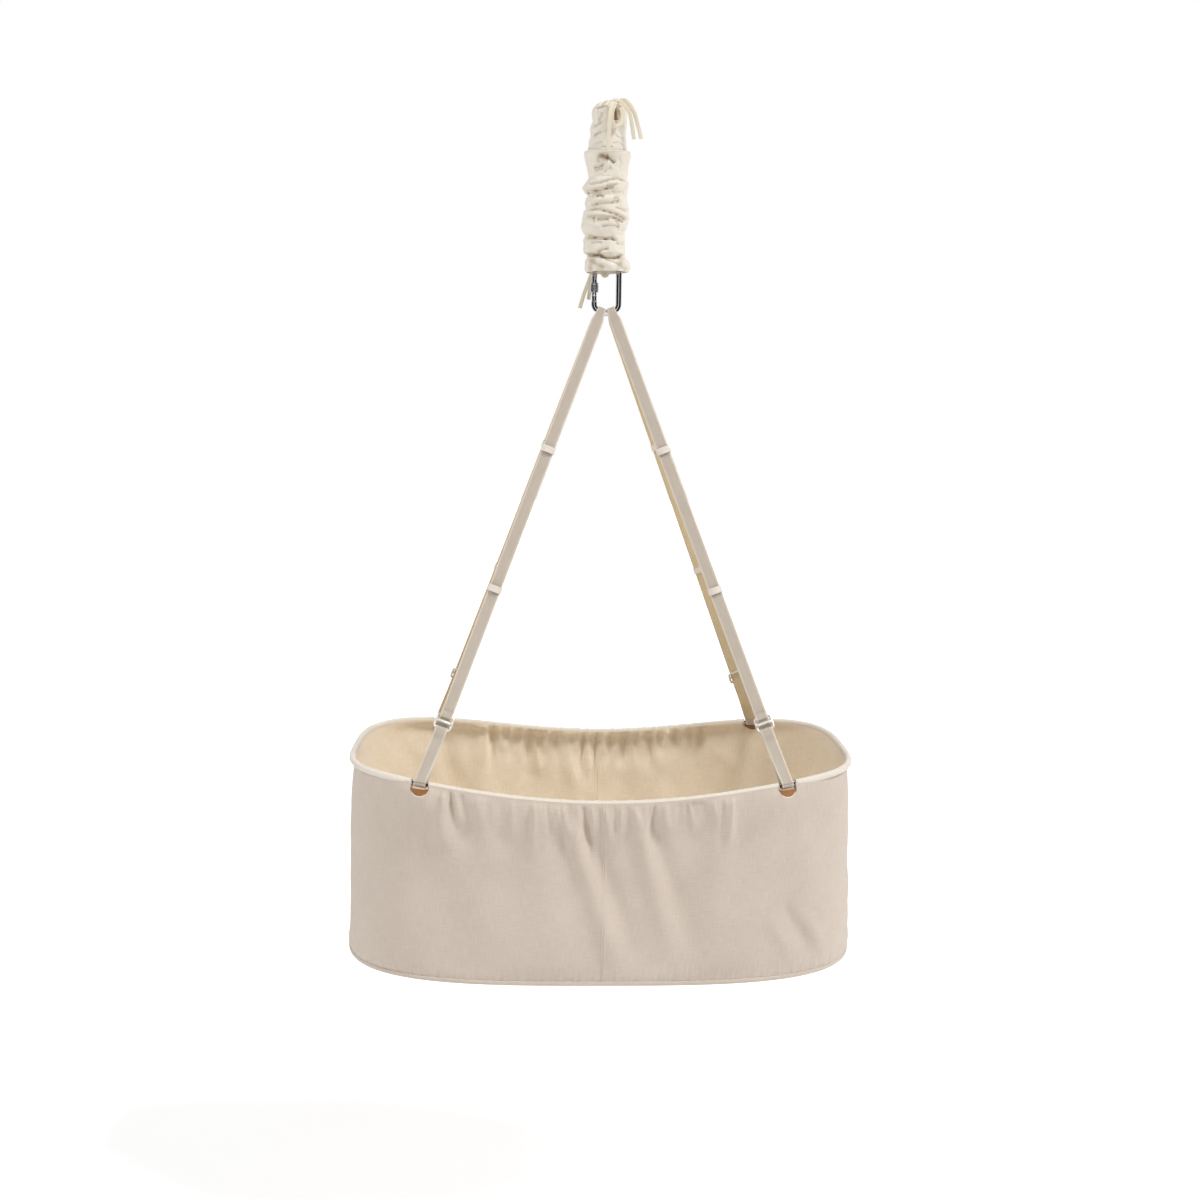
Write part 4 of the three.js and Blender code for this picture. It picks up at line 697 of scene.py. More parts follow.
def cloth_material(name, colour, pitch, warmth=0.0, slub=0.16, deep=None):
    """Plain-woven cloth on its own map: colour varies with thread streaks and slow mottling, and is
    a little darker between the weave's threads as painted shade. The weave and fine creases raise
    it, and the mesh's shade attribute draws it towards a darker crease colour as painted shade in
    creases and hollows."""
    n = Nodes(name, colour, 0.92)
    uv = n.place("UV")
    split = n.add("ShaderNodeSeparateXYZ", {0: uv})
    weave = n.weave(split.outputs[0], split.outputs[1], pitch)
    first = n.noise(n.stretched(uv, (900, 45, 1)), 1.0, 2.0)
    second = n.noise(n.stretched(uv, (45, 900, 1)), 1.0, 2.0)
    threads = n.times(n.plus(first, second), 0.5)
    mottle = n.noise(n.place(), 9.0, 4.0)
    share = n.plus(n.times(n.math("SUBTRACT", threads, 0.5), 2.4), n.times(mottle, 0.55))
    # Painted shade at the weave's scale: the colour is lighter on the threads that lie on top and
    # darker between them.
    share = n.plus(share, n.times(weave, 0.28))
    ramp = n.add("ShaderNodeClamp", {0: share}).outputs[0]
    dark = toned(colour, 1 - slub)
    light = toned(colour, 1 + slub * 0.45)
    if warmth:
        dark = (dark[0], dark[1] * (1 - warmth * 0.5), dark[2] * (1 - warmth))
    base = n.blend(ramp, dark, light)
    # Painted shade: the shade attribute draws the colour towards the darker crease colour.
    if deep:
        shade = n.add("ShaderNodeAttribute", attribute_name="shade").outputs["Fac"]
        base = n.blend(n.times(shade, 0.85), base, linear(deep))
    n.vary("Base Color", base)
    n.base.inputs["Sheen Weight"].default_value = 0.25
    n.base.inputs["Sheen Roughness"].default_value = 0.6
    n.base.inputs["Specular IOR Level"].default_value = 0.2
    fine = n.noise(n.place(), 130.0, 3.0)
    height = n.plus(n.times(weave, 0.6), n.times(threads, 0.8))
    n.bump(n.plus(height, n.times(fine, 0.9)), CLOTH_RELIEF)
    return n.material


def webbing_material(name, colour, edge, half_width):
    """Twill webbing on its own map: u runs across it from its middle, v along it. Its sewn edges
    are paler than its middle, and a row of stitches runs inside each edge."""
    n = Nodes(name, colour, 0.88)
    uv = n.place("UV")
    split = n.add("ShaderNodeSeparateXYZ", {0: uv})
    u, v = split.outputs[0], split.outputs[1]
    out = n.math("ABSOLUTE", u)
    ribs = n.math("SINE", n.plus(n.times(v, TURN / 0.0011), n.times(out, TURN / 0.0016)))
    threads = n.noise(n.stretched(uv, (700, 60, 1)), 1.0, 3.0)
    mottle = n.noise(n.place(), 30.0, 4.0)
    share = n.plus(n.times(threads, 0.7), n.times(mottle, 0.5))
    # Painted shade at the twill's scale: the colour is darker in the grooves between the ribs.
    share = n.plus(n.math("SUBTRACT", share, 0.15), n.times(ribs, 0.12))
    share = n.add("ShaderNodeClamp", {0: share}).outputs[0]
    middle = n.blend(share, toned(colour, 0.84), toned(colour, 1.08))
    border = n.blend(share, toned(edge, 0.88), toned(edge, 1.06))
    band = n.ranged(out, From_Min=half_width * 0.74, From_Max=half_width * 0.84)
    seam = n.math("LESS_THAN", n.math("ABSOLUTE", n.math("SUBTRACT", out, half_width * 0.7)),
                  0.00028)
    dash = n.math("GREATER_THAN", n.math("SINE", n.times(v, TURN / 0.0032)), -0.55)
    stitch = n.times(seam, dash)
    colour_out = n.blend(band, middle, border)
    n.vary("Base Color", n.blend(n.times(stitch, 0.5), colour_out, toned(edge, 1.1)))
    n.base.inputs["Sheen Weight"].default_value = 0.2
    n.base.inputs["Specular IOR Level"].default_value = 0.2
    height = n.plus(n.times(ribs, 0.5), n.times(threads, 0.9))
    n.bump(n.plus(height, n.times(stitch, 1.5)), 0.00025)
    return n.material


def steel_material(name, colour, roughness, worn, scale=260.0):
    """Bare metal: roughness wanders with fine noise, and faint scratches raise it."""
    n = Nodes(name, colour, roughness, 1.0)
    spot = n.noise(n.place(), scale, 4.0, 0.6)
    scratch = n.noise(n.stretched(n.place(), (1200, 1200, 60)), 1.0, 2.0)
    n.vary("Roughness", n.ranged(n.plus(n.times(spot, 0.7), n.times(scratch, 0.3)), From_Min=0.3,
                                 From_Max=0.7, To_Min=roughness * 0.8, To_Max=roughness + worn))
    n.vary("Base Color", n.blend(spot, toned(colour, 0.9), toned(colour, 1.05)))
    n.bump(scratch, 0.00002)
    return n.material


def cast_material(name, colour):
    """Plated cast metal: satin, with a faint grain and a slow random change of tone."""
    n = Nodes(name, colour, 0.40, 0.35)
    grain = n.noise(n.place(), 700.0, 3.0)
    slow = n.noise(n.place(), 120.0, 2.0)
    n.vary("Base Color", n.blend(slow, toned(colour, 0.86), toned(colour, 1.04)))
    n.vary("Roughness", n.ranged(grain, To_Min=0.26, To_Max=0.46))
    n.bump(grain, 0.00003)
    return n.material


def cord_material(name, colour):
    """Braided cord on its own map: two sets of slanting strands that cross."""
    n = Nodes(name, colour, 0.6)
    split = n.add("ShaderNodeSeparateXYZ", {0: n.place("UV")})
    u, v = split.outputs[0], split.outputs[1]
    one = n.math("SINE", n.times(n.plus(u, v), TURN / 0.0028))
    two = n.math("SINE", n.times(n.math("SUBTRACT", u, v), TURN / 0.0028))
    strands = n.math("MAXIMUM", one, two)
    # Painted shade: the cord is darker where the strands dip between each other.
    n.vary(
        "Base Color", n.blend(n.ranged(strands, From_Min=-0.5), toned(colour, 0.7), linear(colour)))
    n.bump(strands, 0.0003)
    return n.material


def board_material(name):
    """Birch ply: long grain rings stretched along X, with fine fibres."""
    n = Nodes(name, (0.74, 0.60, 0.42), 0.62)
    place = n.place()
    rings = n.noise(n.stretched(place, (3, 40, 40)), 1.0, 5.0)
    fibre = n.noise(n.stretched(place, (40, 900, 900)), 1.0, 2.0)
    share = n.plus(n.times(rings, 0.7), n.times(fibre, 0.4))
    n.vary("Base Color", n.blend(share, linear((0.60, 0.46, 0.30)), linear((0.82, 0.70, 0.52))))
    n.bump(fibre, 0.0001)
    return n.material


def material_of(key):
    """The material of that key, made the first time it is asked for."""
    colours = bpy.context.scene.cradle_colours
    sizes = chosen_sizes()
    makers = {
        "sleeve cotton": lambda n: cloth_material(n, colours.sleeve_cotton, 0.0007, 0.08, 0.06,
                                                  colours.painted_crease_shade),
        "tape cotton": lambda n: cloth_material(n, colours.tape_cotton, 0.0008, 0.10, slub=0.10),
        "notch lining": lambda n: cloth_material(n, colours.notch_lining, 0.0009, 0.10),
        "webbing back": lambda n: webbing_material(n, colours.webbing_back, colours.webbing_back,
                                                   sizes.webbing_width / 2),
        "outer canvas": lambda n: cloth_material(n, colours.outer_canvas, 0.0011, 0.04, slub=0.12),
        "inner canvas": lambda n: cloth_material(n, colours.inner_canvas, 0.0011, 0.12, slub=0.12),
        "hem canvas": lambda n: cloth_material(n, colours.hem_canvas, 0.0011, 0.05, slub=0.10),
        "mattress cotton": lambda n: cloth_material(n, colours.mattress_cotton, 0.0008, 0.06,
                                                    slub=0.08),
        "webbing": lambda n: webbing_material(n, colours.webbing, colours.webbing_edge,
                                              sizes.webbing_width / 2),
        "polished steel": lambda n: steel_material(n, colours.steel, 0.06, 0.05),
        "spring steel": lambda n: steel_material(n, (0.50, 0.51, 0.52), 0.34, 0.16, 90.0),
        "cast silver": lambda n: cast_material(n, colours.cast_silver),
        "nylon cord": lambda n: cord_material(n, (0.93, 0.93, 0.91)), "ply board": board_material}
    name = key.replace(" ", "_") + "_finish"
    return bpy.data.materials.get(name) or makers[key](name)


def dress_node(name, material):
    """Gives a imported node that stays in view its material."""
    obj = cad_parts[name]
    obj.data.materials.clear()
    obj.data.materials.append(material)


# Heights, from the hanging point down
UPPER_EYE_Z = -EYE_INNER_RADIUS
COIL_TOP_Z = UPPER_EYE_Z - EYE_NECK
COIL_BOTTOM_Z = COIL_TOP_Z - COIL_LENGTH
LOWER_EYE_Z = COIL_BOTTOM_Z - EYE_NECK
HOOK_WIRE = 5 * MM
HOOK_TOP_BAR_Z = LOWER_EYE_Z - EYE_INNER_RADIUS + FIT + HOOK_WIRE
HOOK_Z = HOOK_TOP_BAR_Z - HOOK_LENGTH / 2 + HOOK_WIRE
BOW_Z = HOOK_Z - HOOK_LENGTH / 2 + HOOK_WIRE + HOOK_BOW_RADIUS
STRAP_RIM_Z = BOW_Z - SLING_DROP
BAND_BOTTOM_Z = LOWER_EYE_Z - BAND_BELOW_EYE
BAND_TOP_Z = BAND_BOTTOM_Z + BAND_HEIGHT
HOOD_BOTTOM_Z = HOOD_RISE - HOOD_HEIGHT
SLEEVE_TOP_Z = HOOD_BOTTOM_Z + COLLAR_OVERLAP
SLEEVE_BOTTOM_Z = BAND_TOP_Z + FIT


# The rim line


def super_xy(angle, length, width, power):
    """A superellipse: x = length/2 cos^(2/power), y = width/2 sin^(2/power), signs kept."""
    c, s = np.cos(angle), np.sin(angle)
    x = length / 2 * np.sign(c) * np.abs(c) ** (2 / power)
    y = width / 2 * np.sign(s) * np.abs(s) ** (2 / power)
    return x, y


def rim_rise(x):
    """Rise of the rim over its middle: rise (p q - (p - 1) q^2) with q = (2 x / length)^2."""
    share = (2 * x / RIM_LENGTH) ** 2
    return RIM_END_RISE * (RIM_PEAK_SHARE * share - (RIM_PEAK_SHARE - 1) * share * share)


RIM_Z = STRAP_RIM_Z - rim_rise(STRAP_PLACE)
FLOOR_Z = RIM_Z - BASE_DROP
PANEL_TOP_Z = FLOOR_Z + BAND_UP
BOARD_Z = FLOOR_Z + PANEL_THICKNESS + FIT
MATTRESS_Z = BOARD_Z + BOARD_THICKNESS + FIT

RIM_ANGLES = np.linspace(0, TURN, 40001)
RIM_X, RIM_Y = super_xy(RIM_ANGLES, RIM_LENGTH, RIM_WIDTH, RIM_POWER)
RIM_POINTS = np.column_stack([RIM_X, RIM_Y, RIM_Z + rim_rise(RIM_X)])
RIM_LENGTHS = way_from_start(RIM_POINTS)
RIM_ROUND = RIM_LENGTHS[-1]


def rim_at(length):
    """Points of the rim line by the way along it, from the right end round by the back."""
    wanted = np.asarray(length) % RIM_ROUND
    return np.stack([np.interp(wanted, RIM_LENGTHS, RIM_POINTS[:, k]) for k in range(3)], -1)


def rim_angle(length):
    """The superellipse's angle by the way along the rim line, past a full turn too."""
    turns = np.floor(np.asarray(length) / RIM_ROUND)
    return np.interp(np.asarray(length) % RIM_ROUND, RIM_LENGTHS, RIM_ANGLES) + turns * TURN


def off_from(station, middle):
    """How far a place on the rim line is from another one, the shorter way round."""
    return (station - middle + RIM_ROUND / 2) % RIM_ROUND - RIM_ROUND / 2


def strap_length(side, face):
    """How far along the rim line a strap's middle is: the angle whose x is the strap's place."""
    angle = np.arccos((STRAP_PLACE / (RIM_LENGTH / 2)) ** (RIM_POWER / 2))
    angle = {(1, 1): angle, (-1, 1): np.pi - angle, (-1, -1): np.pi + angle, (1, -1): TURN - angle}
    return float(np.interp(angle[side, face], RIM_ANGLES, RIM_LENGTHS))


# The slings


def strap_leg(side, face):
    """One leg of a sling. It lies in a plane that holds the bow's centre of curvature, touches the
    circle round the bow's wire and meets the rim tube on its inner side."""
    sizes = chosen_sizes()
    loop = sizes.rim_tube_radius + LOOSE + sizes.webbing_thickness / 2
    fold_radius = sizes.hook_wire_radius + FOLD_CLEAR + sizes.webbing_thickness / 2
    centre = vec(0, 0, BOW_Z)
    tube = vec(side * STRAP_PLACE, 0, STRAP_RIM_Z)
    down = unit(tube - centre)
    across = vec(-down[2], 0, down[0])
    fold = centre + down * HOOK_BOW_RADIUS
    outward_way = vec(0, face, 0)
    share = STRAP_PLACE / (RIM_LENGTH / 2)
    tube[1] = face * RIM_WIDTH / 2 * (1 - share**RIM_POWER) ** (1 / RIM_POWER)
    reach_down = (tube - fold) @ down
    reach_out = abs(tube[1]) - loop
    distance = np.hypot(reach_down, reach_out)
    angle = np.arctan2(reach_out, reach_down) - np.arcsin(fold_radius / distance)
    way = down * np.cos(angle) + outward_way * np.sin(angle)
    out = -down * np.sin(angle) + outward_way * np.cos(angle)
    length = np.sqrt(distance**2 - fold_radius**2)
    start = fold + out * fold_radius + way * length
    up = -way
    middle = strap_length(side, face)
    tangent = unit(rim_at(middle + NOTCH_WIDTH / 2) - rim_at(middle - NOTCH_WIDTH / 2))
    if tangent @ across < 0:
        tangent = -tangent
    square = unit(up - tangent * (up @ tangent))
    open_way = out - tangent * (out @ tangent)
    open_way = unit(open_way - square * (open_way @ square))
    return SimpleNamespace(
        tube=tube, down=down, across=across, fold=fold, outward=outward_way, out=out, up=up,
        angle=angle, length=length, start=start, tangent=tangent, square=square, open=open_way,
        loop=loop, fold_radius=fold_radius, side=side, face=face, middle=middle)


def strap_section(width, thickness, points=15):
    """A strap's section: x across it as sin, y the half thickness rounded off at the edges, with
    the sewn edges a little thicker than the middle."""
    x = np.sin(np.linspace(-np.pi / 2, np.pi / 2, points))
    y = np.sqrt(np.clip(1 - np.abs(x) ** 9, 0, 1)) * (0.86 + 0.14 * ease((np.abs(x) - 0.6) / 0.12))
    top = np.stack([x, y], -1)
    bottom = np.stack([x[::-1], -y[::-1]], -1)[1:-1]
    return np.vstack([top, bottom]) * (width / 2, thickness / 2)


def ribbon(middles, across, out, width, thickness, back_slot=0):
    """A strap along its middle line, with u across it from the middle and v along it. The face
    towards out takes the material of back_slot, except on the plain rows at both ends."""
    width = np.broadcast_to(width, (len(middles),))
    section = (strap_section(1, thickness)[None]
               * np.stack([width, np.ones_like(width)], -1)[:, None])
    slots = np.zeros((len(middles) - 1, section.shape[1]), int)
    slots[PLAIN_END_ROWS:-PLAIN_END_ROWS, :14] = back_slot
    points = sweep(middles, across, out, section)
    way = way_from_start(middles)
    u = np.concatenate([section[0, :, 0], section[0, :1, 0]])
    uv = np.stack(np.meshgrid(u, way), -1)
    return grid(points, wrap_columns=True, caps=True, uv=uv, slots=slots)


def turned_ways(a, b, share):
    """Directions that turn evenly from a to b."""
    return unit(mix(a[None], b[None], ease(share)[:, None]))


def twist(start, end, across_a, across_b, out_a, out_b, steps):
    """A straight stretch of strap that turns from one way of lying to another."""
    share = np.linspace(0, 1, steps)
    middles = mix(start[None], end[None], share[:, None])
    across = turned_ways(across_a, across_b, share)
    out = turned_ways(out_a, out_b, share)
    out = unit(out - across * (out * across).sum(1, keepdims=True))
    return middles, across, out


def leg_line(leg):
    """Middle line, ways and widths of a leg, from the rim tube's outer side up to the bow."""
    width = chosen_sizes().webbing_width
    turn = np.linspace(0, np.pi, 18)[:, None]
    round_out = leg.open * np.cos(turn) - leg.square * np.sin(turn)
    loop = (leg.tube + round_out * leg.loop, np.tile(leg.tangent, (18, 1)), round_out)
    begin = leg.tube - leg.open * leg.loop
    twist_end = leg.start + leg.up * SLIDER_UP / 2
    rising = twist(begin, twist_end, leg.tangent, leg.across, -leg.open, -leg.out, 16)
    share = np.linspace(0, 1, 60)[1:]
    way = mix(SLIDER_UP / 2, leg.length - FOLD_TAPER, share)[:, None]
    straight = (leg.start + leg.up * way, np.tile(leg.across, (59, 1)), np.tile(-leg.out, (59, 1)))
    share = np.linspace(0, 1, 10)[1:]
    way = (leg.length - FOLD_TAPER * (1 - share))[:, None]
    taper = (leg.start + leg.up * way, np.tile(leg.across, (9, 1)), np.tile(-leg.out, (9, 1)))
    parts = [loop, tuple(x[1:] for x in rising), straight, taper]
    middles, across, out = (np.vstack([p[k] for p in parts]) for k in range(3))
    widths = np.full(len(middles), width)
    widths[-9:] = mix(width, FOLD_WIDTH, ease(share))
    return middles, across, out, widths


def sling_part(side):
    """A sling: up the front leg, over the bow on a circle round its wire and down the back."""
    thickness = chosen_sizes().webbing_thickness
    front, back = strap_leg(side, -1), strap_leg(side, 1)
    m1, a1, o1, w1 = leg_line(front)
    m2, a2, o2, w2 = leg_line(back)
    turn = np.linspace(-(np.pi / 2 - front.angle), np.pi / 2 - front.angle, 20)[1:-1, None]
    out = -front.down * np.cos(turn) + back.outward * np.sin(turn)
    middles = np.vstack([m1, front.fold + out * front.fold_radius, m2[::-1]])
    across = np.vstack([a1, np.tile(front.across, (len(out), 1)), a2[::-1]])
    ways = np.vstack([o1, -out, o2[::-1]])
    widths = np.concatenate([w1, np.full(len(out), FOLD_WIDTH), w2[::-1]])
    return ribbon(middles, across, ways, widths, thickness, back_slot=1)


def strap_end_part(leg):
    """A strap's end: from the rim tube's outer side up in front, over the slider's bottom bar and
    down behind it as a sewn tab. Returns the strap and the middle of its seam."""
    sizes = chosen_sizes()
    thickness = sizes.webbing_thickness
    to_bar = (SLIDER_HEIGHT - SLIDER_RIM) / 2
    bar_up = -to_bar * np.cos(SLIDER_TILT)
    bar_out = SLIDER_SET_OUT + (to_bar + SLIDER_RIM / 2) * np.sin(SLIDER_TILT)
    tab_depth = thickness + FIT
    front_depth = bar_out + SLIDER_THICKNESS / 2 * np.cos(SLIDER_TILT) + FIT + thickness / 2

    def place(up, depth):
        up, depth = np.atleast_1d(up)[:, None], np.atleast_1d(depth)[:, None]
        return leg.start + leg.up * (SLIDER_UP + up) + leg.out * depth

    outer = leg.tube + leg.open * leg.loop + leg.square * FIT
    low = place(bar_up - TAB_LENGTH, TAB_CLOSE)[0]
    rising = twist(outer, low, leg.tangent, leg.across, leg.open, leg.out, 22)
    share = np.linspace(0, 1, 14)[1:]
    climb = place(mix(bar_up - TAB_LENGTH, bar_up - RETURN_REACH, share),
                  mix(TAB_CLOSE, front_depth, ease(share)))
    radius = (front_depth - tab_depth) / 2
    turn = np.linspace(0, np.pi, 16)[:, None]
    out = leg.out * np.cos(turn) + leg.up * np.sin(turn)
    bend = place(bar_up + RETURN_SHIFT, tab_depth + radius) + out * radius
    tab = place(np.linspace(bar_up, bar_up - TAB_LENGTH, 10), np.full(10, tab_depth))
    middles = np.vstack([rising[0], climb, bend, tab])
    across = np.vstack([rising[1], np.tile(leg.across, (13 + 16 + 10, 1))])
    ways = np.vstack([rising[2], np.tile(leg.out, (13, 1)), out, np.tile(-leg.out, (10, 1))])
    part = ribbon(middles, across, ways, sizes.webbing_width, thickness)
    return part, place(bar_up - TAB_LENGTH + 2.5 * MM, TAB_CLOSE)[0]


def stitch_rows(centres, along, out, length=2.4 * MM, radius=0.35 * MM):
    """Stitches as small beads: each an ellipsoid about its centre, six-sided and four rows long."""
    rows = np.linspace(0, np.pi, 5)
    angle = round_angles(6)
    parts = []
    for centre, way, rise in zip(centres, along, out):
        side = np.cross(way, rise)
        ring = (side[None] * np.cos(angle)[:, None] + rise[None] * np.sin(angle)[:, None]) * radius
        points = (centre - way * length / 2 * np.cos(rows)[:, None, None]
                  + ring[None] * np.maximum(np.sin(rows), 0.15)[:, None, None])
        parts.append(grid(points.reshape(5, 6, 3), wrap_columns=True, caps=True, slots=1))
    return parts


def on_strap(points, leg, along):
    """Takes points with x across a strap, y up it and z out of it to the cradle's frame."""
    across = unit(np.cross(leg.up, leg.out))
    origin = leg.start + leg.up * along
    return origin + points[..., :1] * across + points[..., 1:2] * leg.up + points[..., 2:] * leg.out


def slider_parts(leg):
    """A slider: an oval bar bent round a rounded rectangle |x/a|^5 + |y/b|^5 = 1, tilted on the
    strap, and a middle bar that bows out as the sine of its way across."""
    def tilted(points):
        c, s = np.cos(SLIDER_TILT), np.sin(SLIDER_TILT)
        x, y, z = points[..., 0], points[..., 1], points[..., 2]
        turned = xyz(x, y * c + z * s, SLIDER_SET_OUT - y * s + z * c)
        return on_strap(turned, leg, SLIDER_UP)

    angle = round_angles(96)
    x, y = super_xy(angle, SLIDER_WIDTH - SLIDER_RIM, SLIDER_HEIGHT - SLIDER_RIM, 5.5)
    path = np.column_stack([x, y, np.zeros_like(x)])
    side, up = square_frame(path, vec(0, 0, 1), closed=True)
    section = circle(1, 16) * (SLIDER_RIM / 2, SLIDER_THICKNESS / 2 + 0.2 * MM)
    ring = sweep(path, side, up, section)
    share = np.linspace(0, 1, 28)
    reach = SLIDER_WIDTH / 2 - SLIDER_RIM / 2
    bow = np.column_stack(
        [mix(-reach, reach, share), np.zeros_like(share),
         0.4 * MM + 3.2 * MM * np.sin(np.pi * share) ** 0.6])
    side, up = square_frame(bow, vec(0, 1, 0))
    bar = sweep(bow, side, up, circle(1, 14) * (1.15 * MM, 2.3 * MM))
    return [grid(tilted(ring), wrap_rows=True, wrap_columns=True),
            grid(tilted(bar), wrap_columns=True, caps=True)]


def slider_fold_part(leg):
    """The strap's fold over the slider's top bar: out of the strap, down in front of the bar and
    back into the upper slot round a half circle."""
    sizes = chosen_sizes()
    thickness = sizes.webbing_thickness
    start = thickness + FIT / 2
    out_at = 2.9 * MM
    share = np.linspace(0, 1, 12)
    ups = mix(19 * MM, 9.2 * MM, share)
    depths = mix(start, out_at, ease(share))
    radius = (out_at - start + 0.2 * MM) / 2
    turn = np.linspace(0, np.pi, 12)[1:]
    ups = np.concatenate([ups, ups[-1] - radius * np.sin(turn) * 1.6])
    depths = np.concatenate([depths, out_at - radius * (1 - np.cos(turn))])
    local = np.column_stack([np.zeros_like(ups), ups, depths])
    middles = on_strap(local, leg, SLIDER_UP)
    along = way_along(middles)
    across = np.tile(leg.across, (len(middles), 1))
    return ribbon(
        middles, across, unit(np.cross(across, along)), sizes.webbing_width * 0.985,
        thickness * 0.9)


def keeper_part(leg, along):
    """A keeper: a flat band closed round the strap, flat behind and bulging as a sine in front."""
    sizes = chosen_sizes()
    half = sizes.webbing_width / 2 + FIT + 0.6 * MM
    low = -(sizes.webbing_thickness / 2 + FIT + 0.55 * MM)
    share = np.linspace(0, 1, 24)
    front = np.column_stack(
        [mix(half, -half, share), np.zeros(24), -low + KEEPER_BULGE * np.sin(np.pi * share)])
    back = np.column_stack([mix(-half, half, share), np.zeros(24), np.full(24, low)])
    path = np.vstack([front, back])
    side, up = square_frame(path, vec(0, 1, 0), closed=True)
    height, thick = KEEPER_HEIGHT / 2, 0.55 * MM
    angle = round_angles(24)
    section = np.column_stack(
        [thick * np.sign(np.cos(angle)) * np.abs(np.cos(angle)) ** 0.5,
         height * np.sign(np.sin(angle)) * np.abs(np.sin(angle)) ** 0.35])
    points = sweep(path, side, up, section)
    return grid(on_strap(points, leg, along), wrap_rows=True, wrap_columns=True)


# The sleeve


def tape_part(points, width, thickness, guide):
    """A flat tape along a line, flat side towards guide, with a slight crease down its middle."""
    along = way_along(points)
    across = unit(np.cross(np.broadcast_to(guide, points.shape), along))
    out = np.cross(along, across)
    section = strap_section(width, thickness, 11)
    section = section + np.column_stack(
        [np.zeros(len(section)), 0.25 * MM * (1 - (section[:, 0] / (width / 2)) ** 2)])
    way = way_from_start(points)
    u = np.concatenate([section[:, 0], section[:1, 0]])
    return grid(sweep(points, across, out, section), wrap_columns=True, caps=True,
                uv=np.stack(np.meshgrid(u, way), -1))


# Creases of the hood and the sleeve on their front: points (x, z) in millimetres from the axis
# and the hanging point, the width and the depth. The back has the same ones.
HOOD_CREASES = (
    ([(-25, -10.5), (-14, -8.8), (-4, -8)], 2.2, 5),
    ([(-4, 1), (-3.5, -6), (-6, -9)], 1.8, 3),
    ([(-27, -51.5), (-20, -48.5), (-13, -46)], 2.2, 4.4),
    ([(-27, -38.5), (-20, -35), (-14, -31)], 2.4, 3.2),
    ([(-22, -29), (-16, -24), (-13, -17)], 3, 2.4),
    ([(-26, -64), (-18, -66), (-8, -63)], 2.4, 1.8),
    ([(-3, -40), (4, -43), (8, -49)], 2, 2.6),
    ([(5, -35), (15, -38), (26, -38)], 4, 3),
    ([(10, -50), (18, -56), (26, -55)], 2.6, 2),
    ([(6, -66), (16, -63), (26, -67)], 2.6, 2),
    ([(16, -12), (21, -22), (25, -27)], 2.6, 2.6),
    ([(-12, -70), (-2, -72), (8, -71)], 1.8, 1.6),
    # The last line is a deep hollow behind the bow's loop, darkened further by painted crease
    # shade.
    ([(11, -8), (12, -20), (12.5, -31)], 5.5, 8.5),
)
SLEEVE_CREASES = (
    ([(-14, -77), (-4, -80), (4, -87), (14, -95)], 3, 7),
    ([(-16, -80), (-8, -84), (2, -86)], 5, 3.6),
    ([(-25, -101), (-15, -98.5), (-6, -96)], 2, 5),
    ([(-14, -79), (-17, -88), (-14, -94)], 2.4, 2.2),
    ([(-8, -110), (0, -104), (6, -100)], 3, 2.4),
    ([(-24, -106), (-14, -103), (-8, -104)], 2, 2.2),
    ([(16, -84), (21, -94), (19, -106)], 3, 2),
    ([(-30, -127), (-12, -125), (2, -121), (16, -118), (33, -121)], 2.4, 4.2),
    ([(-2, -129), (8, -128.5), (18, -127)], 1.8, 3),
    ([(-35, -139), (-20, -135.5), (-7, -134), (6, -132), (17, -131)], 2.2, 7),
    ([(-26, -142), (-18, -139), (-8, -140)], 1.8, 2),
    ([(-20, -144.5), (-12, -144), (-5, -147)], 1.8, 5.5),
    ([(6, -138), (18, -140), (30, -138)], 2.6, 2),
    ([(11, -149), (15, -148), (20, -147.5)], 1.6, 3.6),
    ([(-28, -160), (-15, -156), (6, -155.5), (24, -151)], 2.2, 5.6),
    ([(10, -163), (22, -165), (32, -168)], 2, 2.6),
    ([(-30, -165.5), (-12, -166), (-4, -168), (9, -171), (20, -174), (29, -179), (33, -183)],
     1.9, 6),
    ([(-32, -176), (-7, -177), (9, -177.5), (20, -180), (31, -186)], 2, 6),
    ([(-15, -181), (-6, -183), (6, -181)], 4, 3.4),
    ([(-21, -177), (-18, -183), (-16, -188)], 1.8, 2.4),
    ([(-7, -193), (8, -191), (25, -192)], 2.6, 3.2),
    ([(14, -183), (21, -187), (24, -196)], 2.2, 2.4),
    ([(-34, -206), (-15, -209), (1, -211), (12, -209.5), (22, -216)], 2.4, 8),
    ([(-24, -217), (-12, -217.5), (-4, -217)], 2.2, 2),
    ([(18, -218), (26, -221), (32, -219)], 2, 2.4),
    ([(-14, -231.5), (-2, -228), (8, -226)], 2, 4.4),
    ([(-36, -234), (-20, -235), (-13, -234.5), (-7, -240), (0, -242), (14, -242), (22, -239),
      (32, -236)], 2.4, 9.5),
)
